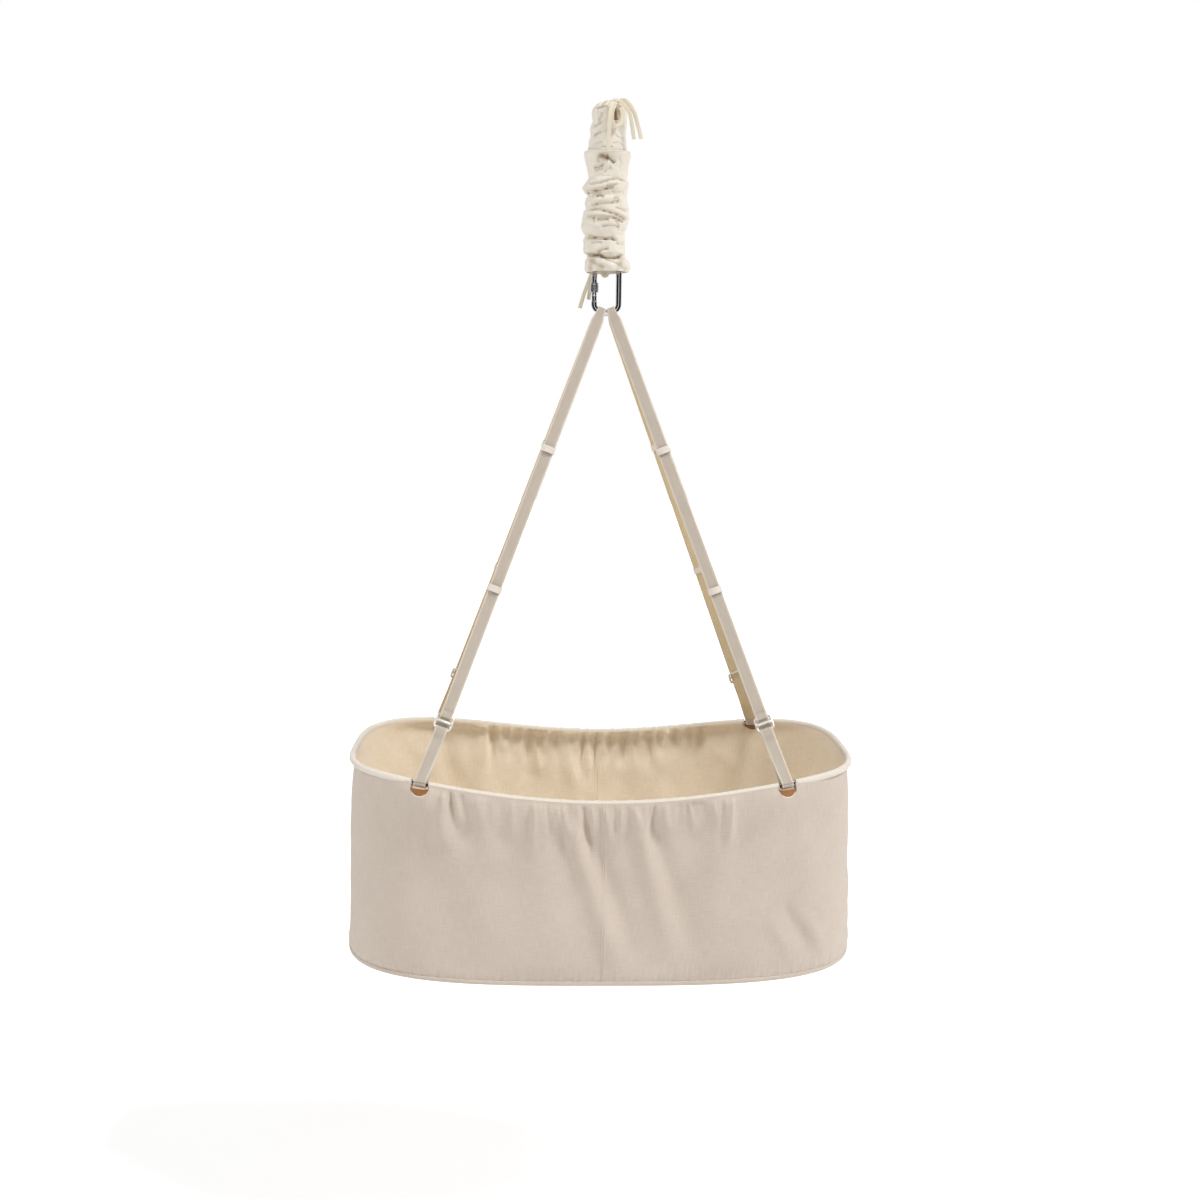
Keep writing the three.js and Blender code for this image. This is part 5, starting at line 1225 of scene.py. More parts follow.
# Sides of the hood and of the sleeve: z, left x and right x in millimetres
HOOD_SIDES = (
    (4.7, -27, 27), (-9, -27.5, 28), (-17, -26.5, 28), (-28, -24.5, 27.5), (-38, -28, 27.5),
    (-42, -28.8, 27), (-50, -27, 27), (-58, -29.5, 27.5), (-68, -31, 28.5), (-82, -32, 29.5),
)
SLEEVE_SIDES = (
    (-76.3, -38.4, 35.5), (-84, -36.2, 33.2), (-97, -33, 30.5), (-108, -30.8, 29.2),
    (-116, -30, 28.5), (-124, -34.9, 32.5), (-132, -40, 30.5), (-138.5, -36.3, 29.5),
    (-144, -31, 29), (-148, -34.5, 29.6), (-156, -36, 30.6), (-164, -33, 32.7), (-169, -37.4, 31.3),
    (-177, -38.9, 34), (-183, -39.6, 31.4), (-193, -40.8, 28.5), (-199, -38.7, 26.5),
    (-206, -34, 26), (-213, -36.9, 28), (-221, -36, 27), (-228, -36.7, 26.5), (-233, -35.9, 27.3),
    (-237, -30, 27.6), (-243, -31, 28.5), (-251, -30, 29),
)


def front_view(lines, radius):
    """Creases as seen from the front, unrolled: u = radius asin(x / radius)."""
    turned = []
    for points, wide, deep in lines:
        x, z = np.array(points, float).T * MM
        u = radius * np.arcsin(np.clip(x / radius, -1, 1))
        turned.append((np.column_stack([u, z]), 1.1 * wide * MM, 1.1 * deep * MM))
    return turned


def sided_tube(z, angle, sides, fold, depth_share):
    """A tube whose left and right sides follow a table of heights: its section at each height is
    an oval about the middle of the two, moved in or out by the folds."""
    table = np.array(sides, float)[::-1] * MM
    left = np.interp(z, table[:, 0], table[:, 1])
    right = np.interp(z, table[:, 0], table[:, 2])
    middle, half = (left + right) / 2, (right - left) / 2
    deep = half * depth_share
    x = middle + (half + fold) * np.cos(angle)
    y = (deep + fold) * np.sin(angle)
    return x, y


def hood_points(share, angle):
    """The hood: a tube with uneven sides, drawn in at its top over a quarter ellipse, with cusped
    pleats, 1 - |sin|, that deepen towards its mouth, and creases that hang over."""
    shoulder = HOOD_SHOULDER / HOOD_HEIGHT
    near = np.clip((share - (1 - shoulder)) / shoulder, 0, 1)
    turn = mix(np.pi / 2, np.arcsin(HOOD_MOUTH / HOOD_RADIUS), near)
    shrink = np.where(near > 0, np.sin(turn), 1.0)
    z = np.where(near > 0, HOOD_RISE - HOOD_SHOULDER * (1 - np.cos(turn)),
                 mix(HOOD_BOTTOM_Z, HOOD_RISE, share))
    pleat = np.abs(np.sin(5.5 * angle + 1.3 * np.sin(angle)))
    deep = 5.4 * MM * ease(near * 1.4) * (1 - pleat) * (0.7 + 0.3 * np.sin(3 * angle))
    front = HOOD_RADIUS * np.arcsin(np.clip(np.cos(angle), -1, 1))
    fold = folds_along(front, z, front_view(HOOD_CREASES, HOOD_RADIUS))
    span = (0, TURN * HOOD_RADIUS, HOOD_BOTTOM_Z, HOOD_RISE - 6 * MM)
    u = angle * HOOD_RADIUS
    fine = crumples(u, z, 31, 30, span, (1.1, 0.6), TURN * HOOD_RADIUS)
    fine = fine + crumples(u, z, 32, 16, span, (-0.6, 0.5), TURN * HOOD_RADIUS)
    move = (fold + fine * 0.6) * ease(share / 0.06) * (1 - 0.75 * near) + 1.6 * MM
    x, y = sided_tube(z, angle, HOOD_SIDES, move, 1.0)
    narrow = shrink - deep / HOOD_RADIUS
    shift = ease(near) * 2.0 * MM
    # Painted shade: darker in the creases and between the pleats at the mouth.
    shade = np.clip(-fold / SHADE_DEPTH, 0, 1) ** 1.8 + 0.9 * ease(near * 1.6) * (1 - pleat) ** 1.5
    points = xyz(x * narrow + shift, y * narrow - shift, z)
    return points, np.broadcast_to(np.clip(shade, 0, 1), points.shape[:2])


def sleeve_points(share, angle):
    """The sleeve: a tube with uneven sides under its flared collar, whose rolls hang over slanting
    creases and are broken up by random short ones."""
    radius0 = chosen_sizes().sleeve_radius
    z = mix(SLEEVE_TOP_Z, SLEEVE_BOTTOM_Z, share)
    front = radius0 * np.arcsin(np.clip(np.cos(angle), -1, 1))
    swing = z + 5 * MM * np.clip(np.sin(angle), 0, 1) * np.sin(2 * angle)
    fold = folds_along(front, swing, front_view(SLEEVE_CREASES, radius0))
    round_way = TURN * radius0
    low = (0, round_way, SLEEVE_BOTTOM_Z, -0.112)
    u = angle * radius0
    fine = crumples(u, z, 41, 40, low, (0.12, 0.30), round_way)
    fine = fine + crumples(u, z, 42, 18, low, (-0.45, 0.25), round_way)
    high = (0, round_way, -0.118, SLEEVE_TOP_Z - 6 * MM)
    fine = fine + crumples(u, z, 43, 20, high, (-1.0, 0.5), round_way) * 0.8
    top = ease((SLEEVE_TOP_Z - z) / (4 * MM))
    end = ease((z - (SLEEVE_BOTTOM_Z - 0.5 * MM)) / (6 * MM))
    move = (fold + fine * 0.5) * top * (0.3 + 0.7 * end) + 2.2 * MM * top
    x, y = sided_tube(swing, angle, SLEEVE_SIDES, move, mix(1.0, 0.96, top))
    reach = np.hypot(x, y)
    least = COIL_RADIUS + WIRE_RADIUS + 2.6 * MM
    push = np.maximum(reach, least) / reach
    # Painted shade: darker in the sleeve's creases.
    shade = np.clip(-fold / SHADE_DEPTH, 0, 1) ** 1.8 * top
    points = xyz(x * push, y * push, z + fold * 0.35 * end)
    return points, np.broadcast_to(shade, points.shape[:2])


def band_points(share, angle):
    """The gathered hem band: a soft puff, its radius a sine arch over its height, with creases
    that run down and out from the tie."""
    top, bottom = BAND_TOP_Z + 7.5 * MM, BAND_BOTTOM_Z - 0.6 * MM
    arch = np.sin(np.pi * np.clip(share, 0, 1)) ** 0.55
    radius = mix(33.4 * MM, BAND_RADIUS + 1.0 * MM, arch)
    wave = 1.2 * MM * np.sin(4 * angle + 1.5) * arch + 0.8 * MM * np.sin(9 * angle + 3 * share)
    span = (0, TURN * BAND_RADIUS, 0, 0.021)
    wave = wave + crumples(
        angle * BAND_RADIUS, share * 0.021, 51, 34, span, (0.7, 0.6), TURN * BAND_RADIUS) * arch
    crease = creases(angle * BAND_RADIUS - TURN * BAND_RADIUS * (angle > np.pi), share * 0.02, [
        (-0.090, 0.002, -0.055, 0.016, 0.003, 0.004, -0.0022),
        (-0.058, 0.000, -0.030, 0.012, 0.003, 0.004, -0.0020),
        (0.020, 0.004, 0.050, 0.016, 0.003, 0.004, -0.0020),
        (0.080, 0.002, 0.105, 0.014, 0.003, 0.004, -0.0020),
    ], TURN * BAND_RADIUS)
    z = mix(top, bottom, share) + 1.6 * MM * np.sin(angle * 2 + 0.8) * (1 - share)
    z = z + 1.0 * MM * np.sin(angle + 2.4) * share
    radius = np.maximum(radius + wave + crease * arch, BAND_INNER)
    points = xyz(radius * np.cos(angle), radius * np.sin(angle), z)
    # Painted shade: darker where the band's cloth is drawn in.
    shade = np.clip(-(wave + crease) / (4 * MM), 0, 0.7)
    return points, np.broadcast_to(shade, points.shape[:2])


def thick_tube(shape, rows, columns, thickness):
    """A closed cloth of some thickness from shape(share, angle), and how shaded it is. Its inner
    face lies square to the outer one, whose slopes are differences between neighbouring points."""
    share = np.linspace(0, 1, rows)[:, None]
    angle = round_angles(columns)[None]
    outer, shade = shape(share, angle)
    down = np.gradient(outer, axis=0)
    round_way = np.roll(outer, -1, 1) - np.roll(outer, 1, 1)
    normal = unit(np.cross(down, round_way))
    middle = outer.mean((0, 1))
    if ((outer - middle) * normal * (1, 1, 0)).sum() < 0:
        normal = -normal
    points = shell_rows(outer, outer - normal * thickness, 4)
    return grid(points, wrap_rows=True, wrap_columns=True, shade=shade)


# The hook


def hook_line():
    """The carabiner's middle line in its own plane: nose, side, half circle, side, corner, bow,
    corner and the short side down to the hinge, as even steps along lines and arcs."""
    wire = chosen_sizes().hook_wire_radius
    side = HOOK_WIDTH / 2 - wire
    half = HOOK_LENGTH / 2 - wire
    top_z = half - side
    low_z = HOOK_BOW_RADIUS - half
    inward = side - HOOK_CORNER_RADIUS
    reach = HOOK_BOW_RADIUS - HOOK_CORNER_RADIUS
    corner_z = low_z - np.sqrt(reach**2 - inward**2)
    bend = np.arctan2(low_z - corner_z, inward)

    def arc(x, z, radius, start, end, count):
        angle = np.linspace(start, end, count)
        return np.column_stack([x + radius * np.cos(angle), z + radius * np.sin(angle)])

    def stretch(x0, z0, x1, z1, count):
        share = np.linspace(0, 1, count)
        return np.column_stack([mix(x0, x1, share), mix(z0, z1, share)])

    parts = [
        stretch(-side, NOSE_HEIGHT, -side, top_z, 12),
        arc(0, top_z, side, np.pi, 0, 40),
        stretch(side, top_z, side, corner_z, 30),
        arc(inward, corner_z, HOOK_CORNER_RADIUS, 0, -bend, 14),
        arc(0, low_z, HOOK_BOW_RADIUS, -bend, bend - np.pi, 26),
        arc(-inward, corner_z, HOOK_CORNER_RADIUS, bend - np.pi, -np.pi, 14),
        stretch(-side, corner_z, -side, -HINGE_DROP - GATE_RADIUS - FIT, 8),
    ]
    flat = np.vstack([p if i == 0 else p[1:] for i, p in enumerate(parts)])
    return np.column_stack([flat[:, 0], np.zeros(len(flat)), flat[:, 1] + HOOK_Z])


def spring_eye_line(centre_z, side):
    """An eye's middle line, through the coil's end, three points of its neck and its ring."""
    ring = EYE_INNER_RADIUS + WIRE_RADIUS
    base_z = centre_z - side * EYE_NECK
    points = [(side * COIL_RADIUS * np.cos(COIL_START_ANGLE),
               COIL_RADIUS * np.sin(COIL_START_ANGLE), base_z)]
    for i, (over, up) in enumerate(((-0.19, 0.1), (0, 0.36), (0, 0.64))):
        out = COIL_RADIUS * 0.98 if i == 0 else mix(COIL_RADIUS, ring, (i + 1) / 4)
        points.append((side * COIL_RADIUS * over, -out, base_z + side * EYE_NECK * up))
    angle = np.pi - TURN * 0.86 * np.arange(15) / 14
    ring_points = np.column_stack(
        [np.zeros(15), ring * np.cos(angle), centre_z + side * ring * np.sin(angle)])
    return smooth_line(np.vstack([points, ring_points]), 8)


def carried_frame(path):
    """Two directions square to a path, each carried on from the step before with what lies along
    the path taken out."""
    along = way_along(path)
    side = np.empty_like(path)
    current = unit(np.cross(vec(0, 0, 1), along[0]) + 1e-9)
    for i, way in enumerate(along):
        current = unit(current - way * (current @ way))
        side[i] = current
    return side, np.cross(along, side)


def wire_part(path, radius, sides):
    """A round wire along a path that winds: a circle carried along it."""
    side, up = carried_frame(path)
    return grid(sweep(path, side, up, circle(radius, sides)), wrap_columns=True, caps=True)


# The basket


def notch_drop(off):
    """How far a notch's edge lies below the tube's middle at off from the strap's middle: a
    rectangle with corners of a quarter circle."""
    beyond = np.clip(np.abs(off) - (NOTCH_WIDTH / 2 - NOTCH_CORNER), 0, NOTCH_CORNER)
    drop = NOTCH_DEPTH - NOTCH_CORNER + np.sqrt(NOTCH_CORNER**2 - beyond**2)
    return np.where(np.abs(off) < NOTCH_WIDTH / 2, drop, 0)


def gathers(seed, first, last, step, depth):
    """Short gathers under the hem, spaced unevenly, as lines for creases."""
    rng = np.random.default_rng(seed)
    lines, place = [], first
    while place < last:
        place += step * rng.uniform(0.6, 1.5)
        down = rng.uniform(0.030, 0.080)
        lean = rng.uniform(-0.010, 0.012)
        wide = rng.uniform(0.0016, 0.0028)
        sign = 1 if len(lines) % 2 == 0 else -0.8
        lines.append((place, 0.0, place + lean, down, wide * 1.5, wide * 4.0,
                      sign * depth * rng.uniform(0.9, 1.9)))
    return lines


def wall_folds():
    """Folds of the wall: u runs along the rim from the middle of the front, right positive, and
    v down from the hem."""
    front = [
        (-0.2527, 0, -0.247, 0.085, 0.0042, 0.016, 0.0048),
        (-0.2445, 0, -0.236, 0.07, 0.0036, 0.012, -0.003),
        (-0.2354, 0, -0.224, 0.055, 0.0034, 0.01, 0.003),
        (-0.227, 0, -0.214, 0.06, 0.0036, 0.011, -0.0018),
        (-0.199, 0, -0.185, 0.11, 0.007, 0.02, 0.0024),
        (-0.275, 0.02, -0.15, 0.29, 0.018, 0.048, 0.0045),
        (-0.3, 0.04, -0.335, 0.29, 0.022, 0.045, 0.003),
        (-0.23, 0.06, -0.225, 0.29, 0.022, 0.05, -0.003),
        (-0.105, 0, -0.09, 0.27, 0.016, 0.036, 0.0036),
        (-0.056, 0.03, 0.028, 0.26, 0.01, 0.02, 0.0046),
        (-0.03, 0.03, 0.054, 0.25, 0.01, 0.02, -0.0034),
        (0.056, 0.04, 0.123, 0.25, 0.01, 0.019, 0.0042),
        (0.079, 0.04, 0.144, 0.24, 0.01, 0.018, -0.003),
        (0.14, 0, 0.135, 0.29, 0.014, 0.04, -0.0026),
        (0.195, 0, 0.165, 0.28, 0.012, 0.036, 0.0034),
        (0.275, 0.02, 0.215, 0.28, 0.014, 0.042, 0.0042),
        (0.305, 0.04, 0.35, 0.27, 0.018, 0.04, 0.0032),
        (0.27, 0.21, 0.306, 0.285, 0.007, 0.01, 0.0018),
        (0.296, 0.2, 0.338, 0.285, 0.006, 0.009, -0.0018),
        (0.326, 0.22, 0.368, 0.288, 0.006, 0.009, 0.0018),
    ]
    front = [(*line[:4], line[4] * 1.3, line[5] * 1.3, line[6] * 1.1) for line in front]
    front += gathers(3, -0.19, -0.085, 0.017, 0.0012)
    front += gathers(4, -0.08, 0.04, 0.01, 0.0015)
    front += gathers(5, 0.045, 0.2, 0.015, 0.0014)
    half = RIM_ROUND / 2
    back = gathers(6, half - 0.21, half + 0.21, 0.0115, 0.0018)
    back += [
        (half - 0.2, 0, half - 0.19, 0.27, 0.012, 0.034, 0.0034),
        (half - 0.13, 0, half - 0.11, 0.27, 0.012, 0.03, -0.003),
        (half - 0.05, 0, half - 0.06, 0.27, 0.012, 0.034, 0.0032),
        (half + 0.05, 0, half + 0.03, 0.27, 0.01, 0.03, -0.003),
        (half + 0.12, 0, half + 0.14, 0.27, 0.012, 0.036, 0.0036),
        (half + 0.22, 0, half + 0.19, 0.27, 0.012, 0.034, -0.0028),
        (half + 0.29, 0.02, half + 0.24, 0.28, 0.016, 0.042, 0.0036),
        (half - 0.29, 0.02, half - 0.24, 0.28, 0.016, 0.042, 0.0036),
    ]
    ends = [
        (half / 2, 0.04, half / 2 + 0.02, 0.28, 0.03, 0.05, 0.0024),
        (half / 2 - 0.09, 0.06, half / 2 - 0.05, 0.29, 0.02, 0.04, -0.0022),
        (-half / 2, 0.04, -half / 2 - 0.02, 0.28, 0.03, 0.05, 0.0024),
        (-half / 2 + 0.09, 0.06, -half / 2 + 0.05, 0.29, 0.02, 0.04, -0.0022),
    ]
    return [(*line[:6], line[6] * FOLD_STRENGTH) for line in front + back + ends]


FRONT_MIDDLE = 0.75 * RIM_ROUND  # of the front, along the rim line


def wall_top(station, tube_z, long_side):
    """Height of the wall's top edge: over the tube's middle at the front and back, under it at
    the ends, and lower in the notches."""
    top = tube_z + WALL_IN_HEM * mix(-1, 1, long_side)
    for side in (-1, 1):
        for face in (-1, 1):
            off = off_from(station, strap_length(side, face))
            inside = np.abs(off) < NOTCH_WIDTH / 2
            top = np.where(inside, np.minimum(top, STRAP_RIM_Z - notch_drop(off)), top)
    return top


def wall_surface(station, share, inset=0.0):
    """The wall: at each height a superellipse that widens as a sine from the rim's size to the
    floor's, with a slight bulge under the hem, moved outwards by the folds. At the front and back
    its top follows the hem's own circle, sqrt(r^2 - z^2). The inner face lies inset further in.
    At its top it lies on the hem's other side at the front and back, and 0.45 of inset in at the
    ends."""
    angle = rim_angle(station)
    trim = 2 * WALL_INSET
    over_x, _ = super_xy(angle, RIM_LENGTH - trim, RIM_WIDTH - trim, RIM_POWER)
    tube_z, bottom = RIM_Z + rim_rise(over_x), PANEL_TOP_Z + FIT
    long_side = 1 - ease((np.abs(over_x) - 0.31) / 0.09)
    z = mix(wall_top(station, tube_z, long_side), bottom, share)
    level = np.clip((tube_z - z) / (tube_z - bottom), 0, 1)
    widen = np.sin(np.pi / 2 * level)
    bulge = 2 * WALL_BULGE * np.sin(np.pi * np.minimum(1, level * 2)) * (1 - level)
    length = mix(RIM_LENGTH - trim, BASE_LENGTH, widen) + bulge
    width = mix(RIM_WIDTH - trim, BASE_WIDTH, widen) + bulge
    power = mix(RIM_POWER, BASE_POWER, level)
    x, y = super_xy(angle, length, width, power)
    gx = np.sign(x) * np.abs(x / (length / 2)) ** (power - 1) / (length / 2)
    gy = np.sign(y) * np.abs(y / (width / 2)) ** (power - 1) / (width / 2)
    size = np.hypot(gx, gy)
    hem = chosen_sizes().hem_radius
    u = off_from(station, FRONT_MIDDLE)
    down = tube_z - hem - z
    fold = creases(u, down, wall_folds(), RIM_ROUND)
    window = ease((1 - level) / 0.10) * ease((down + 5 * MM) / (8 * MM))
    slow = 0.0014 * ripple(u + 0.3 * level, 11, 0.30) * ease(down / 0.06)
    pucker = 0.0007 * ripple(u, 12, 0.022) * ease((level - 0.9) / 0.1)
    over = np.clip(z - tube_z, 0, hem)
    flush = WALL_INSET + WALL_PAST_HEM + np.sqrt(hem**2 - over**2)
    out = flush * (1 - ease(down / WALL_OUT_LENGTH)) * long_side
    seam_off = np.minimum(np.abs(u), np.abs(np.abs(u) - RIM_ROUND / 2))
    seam = 0.9 * MM * np.exp(-(((seam_off - 1.8 * MM) / (1.1 * MM)) ** 2))
    low = ease((level - 0.97) / 0.03)
    both = 2 * (np.sqrt(hem**2 - over**2) + WALL_PAST_HEM) * np.sign(inset)
    sunk = mix(mix(0.45 * inset, both, long_side), inset, ease((down + 3 * MM) / (17 * MM)))
    move = (fold + slow) * window + pucker + out + seam * (1 - low) - 1.3 * MM * low - sunk
    return xyz(x + gx / size * move, y + gy / size * move, z)


def wall_stations(side):
    """Where the columns of a wall's half stand along the rim line: even steps, with close ones
    across each notch and beside the seams."""
    columns = chosen_sizes().wall_columns
    start = FRONT_MIDDLE if side > 0 else FRONT_MIDDLE - RIM_ROUND / 2
    end = start + RIM_ROUND / 2
    even = np.linspace(start, end, columns - 150)
    seam = np.linspace(0, 6 * MM, 13)
    extra = [start + seam, end - seam]
    for face in (-1, 1):
        middle = strap_length(side, face)
        middle += RIM_ROUND * round((0.5 * (start + end) - middle) / RIM_ROUND)
        if not start < middle < end:
            middle += RIM_ROUND if middle < start else -RIM_ROUND
        reach = NOTCH_WIDTH / 2
        close = np.sin(np.linspace(-np.pi / 2, np.pi / 2, 56)) * (reach - 1e-6)
        extra.append(middle + close)
        extra.append(middle + np.array([-1.0, 1.0]) * (reach + 2e-6))
    stations = np.unique(np.concatenate([even, *extra]))
    return stations[np.concatenate([[True], np.diff(stations) > 1e-6])]


def wall_shares(rows):
    """Rows of the wall, closer together at its top and foot: a half cosine and a straight share
    in equal parts."""
    share = np.linspace(0, 1, rows)
    return mix(share, 0.5 - 0.5 * np.cos(np.pi * share), 0.7)


def hem_line(start, end, step=0.0016):
    """Even steps along the rim line."""
    count = int((end - start) / step)
    return np.linspace(start, end, count)


def hem_part(start, end, seed):
    """A hem round the rim tube: a hollow roll whose radius wanders with the gathers, pinched
    where they are sewn in."""
    sizes = chosen_sizes()
    station = hem_line(start + NOTCH_WIDTH / 2, end - NOTCH_WIDTH / 2)
    path = rim_at(station)
    side, up = square_frame(path, vec(0, 0, 1))
    angle = round_angles(26)
    u = off_from(station, FRONT_MIDDLE)
    near = np.minimum(np.abs(u), np.abs(np.abs(u) - RIM_ROUND / 2))
    busy = 0.35 + 0.9 * ease((0.26 - near) / 0.16)
    wave = ripple(u, seed, 0.024, 4) * busy
    wave = wave[:, None] * (0.6 + 0.4 * np.sin(angle + 0.8)) * 0.6 * MM
    seam = -0.5 * MM * np.exp(-(((angle - 1.5 * np.pi) / 0.45) ** 2))[None]
    radius = sizes.hem_radius + wave + seam + 0.15 * MM
    radius = np.maximum(radius, sizes.rim_tube_radius + 1.2 * MM)
    section = np.stack([radius * np.cos(angle), radius * np.sin(angle)], -1)
    outer = sweep(path, side, up, section)
    inner = sweep(path, side, up, circle(sizes.rim_tube_radius + 0.6 * MM, 26))
    return grid(shell_rows(outer, inner), wrap_rows=True, wrap_columns=True)


def binding_parts(side, face):
    """The binding of a notch: a round edge along the notch in the wall, and a ring on each end of
    the hem."""
    sizes = chosen_sizes()
    middle = strap_length(side, face)
    off = np.sin(np.linspace(-np.pi / 2, np.pi / 2, 60)) * (NOTCH_WIDTH / 2 - 0.2 * MM)
    station = middle + off
    edge = wall_surface(station[None], np.zeros((1, len(off))))[0]
    within = wall_surface(station[None], np.zeros((1, len(off))), sizes.wall_thickness)[0]
    path = (edge + within) / 2
    path[:, 2] = np.minimum(path[:, 2], RIM_POINTS[:, 2].max())
    parts = [round_bar(path, unit((within - edge).mean(0)), 1.25 * MM, 12)]
    for way in (-1, 1):
        centre = rim_at(np.array([middle + way * (NOTCH_WIDTH / 2 + 0.4 * MM)]))[0]
        along = unit(rim_at(middle + way * 20 * MM) - rim_at(middle + way * 10 * MM))
        across = unit(np.cross(vec(0, 0, 1), along))
        up = np.cross(along, across)
        angle = round_angles(40)[:, None]
        outwards = across * np.cos(angle) + up * np.sin(angle)
        ring = centre + outwards * (sizes.hem_radius + 0.1 * MM)
        parts.append(round_bar(ring, along, 0.7 * MM, 10, closed=True))
    return parts


def notch_shade_lining_part(side, face):
    """The lining that shows in a notch below the strap: a thin cloth in the middle of the wall's
    thickness, from just under the strap down to the notch's edge. Its dark tan colour is painted
    shade."""
    sizes = chosen_sizes()
    off = np.sin(np.linspace(-np.pi / 2, np.pi / 2, 40)) * (NOTCH_WIDTH / 2 - 0.05 * MM)
    station = strap_length(side, face) + off
    top = wall_surface(station[None], np.zeros((1, len(off))))[0]
    inward = -face * vec(0, 1, 0)
    high = STRAP_RIM_Z - sizes.rim_tube_radius - 1.4 * MM
    low = top[:, 2] - 1.2 * MM
    share = np.linspace(0, 1, 10)[:, None]
    z = mix(np.maximum(high, low + 0.2 * MM)[None], low[None], share)
    depth = mix(2.2 * MM, 1.2 * MM, share) + 1.2 * MM * np.sin(np.pi * share)
    rows = xyz(top[None, :, 0], top[None, :, 1], z) + inward * depth[..., None]
    back = rows + inward * 0.7 * MM
    return grid(shell_rows(rows, back), wrap_rows=True, close=True)


def panel_part():
    """The bottom panel: a cloth tray whose edge turns up round the board on a quarter circle."""
    angle = np.linspace(0, TURN, 481)[:-1]
    bend = 5 * MM

    def ring(inset, z):
        x, y = super_xy(angle, BASE_LENGTH - 2 * inset, BASE_WIDTH - 2 * inset, BASE_POWER)
        return np.column_stack([x, y, np.full_like(x, z)])

    turn = np.linspace(0, np.pi / 2, 8)
    outer = [ring(1 * MM, PANEL_TOP_Z), ring(0.2 * MM, PANEL_TOP_Z - 0.9 * MM),
             ring(0, PANEL_TOP_Z - 2 * MM)]
    outer += [ring(bend * (1 - np.cos(a)), FLOOR_Z + bend * (1 - np.sin(a))) for a in turn]
    inner = [ring(PANEL_THICKNESS, PANEL_TOP_Z), ring(PANEL_THICKNESS, FLOOR_Z + bend)]
    inner += [ring(PANEL_THICKNESS + (bend - PANEL_THICKNESS) * (1 - np.cos(a)),
                   FLOOR_Z + PANEL_THICKNESS + (bend - PANEL_THICKNESS) * (1 - np.sin(a)))
              for a in turn[1:]]
    for size in (0.9, 0.7, 0.4, 0.15, 0.02):
        x, y = super_xy(angle, BASE_LENGTH * size, BASE_WIDTH * size, BASE_POWER)
        outer.append(np.column_stack([x, y, np.full_like(x, FLOOR_Z)]))
        inner.append(np.column_stack([x, y, np.full_like(x, FLOOR_Z + PANEL_THICKNESS)]))
    rows = np.array(inner[::-1] + outer)
    u, v = rows[..., 0], rows[..., 1] + rows[..., 2]
    uv = np.stack([u, v], -1)
    uv = np.concatenate([uv, uv[:, :1]], 1)
    return grid(rows, wrap_columns=True, caps=True, uv=uv)


def mattress_points(share, angle):
    """The mattress: a superellipse slab, sides drawn in at their middle, top and bottom crowned,
    quilted in rows by |sin| channels across its length."""
    crown = chosen_sizes().mattress_crown
    up = np.clip(share, 0, 1)
    side = np.clip((up - 0.30) / 0.40, 0, 1)
    out = np.where(up < 0.30, ease(up / 0.30) ** 0.5,
                   np.where(up > 0.70, ease((1 - up) / 0.30) ** 0.5, 1))
    x, y = super_xy(angle, MATTRESS_LENGTH * out, MATTRESS_WIDTH * out, MATTRESS_POWER)
    waist = 1 - 0.006 * np.sin(np.pi * side)
    z = MATTRESS_Z + MATTRESS_THICKNESS * side
    reach = 1 - out**2
    top = up > 0.5
    quilt = np.abs(np.sin(np.pi * x / 0.10)) ** 0.5 * np.abs(np.sin(np.pi * y / 0.10)) ** 0.5
    puff = np.clip(reach * 3, 0, 1)
    z = z + np.where(top, crown * reach * (0.55 + 0.45 * quilt) + 2.5 * MM * quilt * puff, 0)
    return xyz(x * waist, y * waist, z)


# Operators


def aim(obj, x, y, z, place):
    """Puts an object at a place, with its three axes along the given directions."""
    matrix = np.eye(4)
    matrix[:3, 0], matrix[:3, 1], matrix[:3, 2] = x, y, z
    matrix[:3, 3] = place
    obj.matrix_world = Matrix(matrix.tolist())


def flat_object(name, points, face, material):
    """An object of one face, for the stage."""
    mesh = bpy.data.meshes.new(name)
    mesh.from_pydata(points.tolist(), [], [face])
    mesh.materials.append(material)
    obj = bpy.data.objects.new(name, mesh)
    bpy.context.scene.collection.objects.link(obj)
    return obj


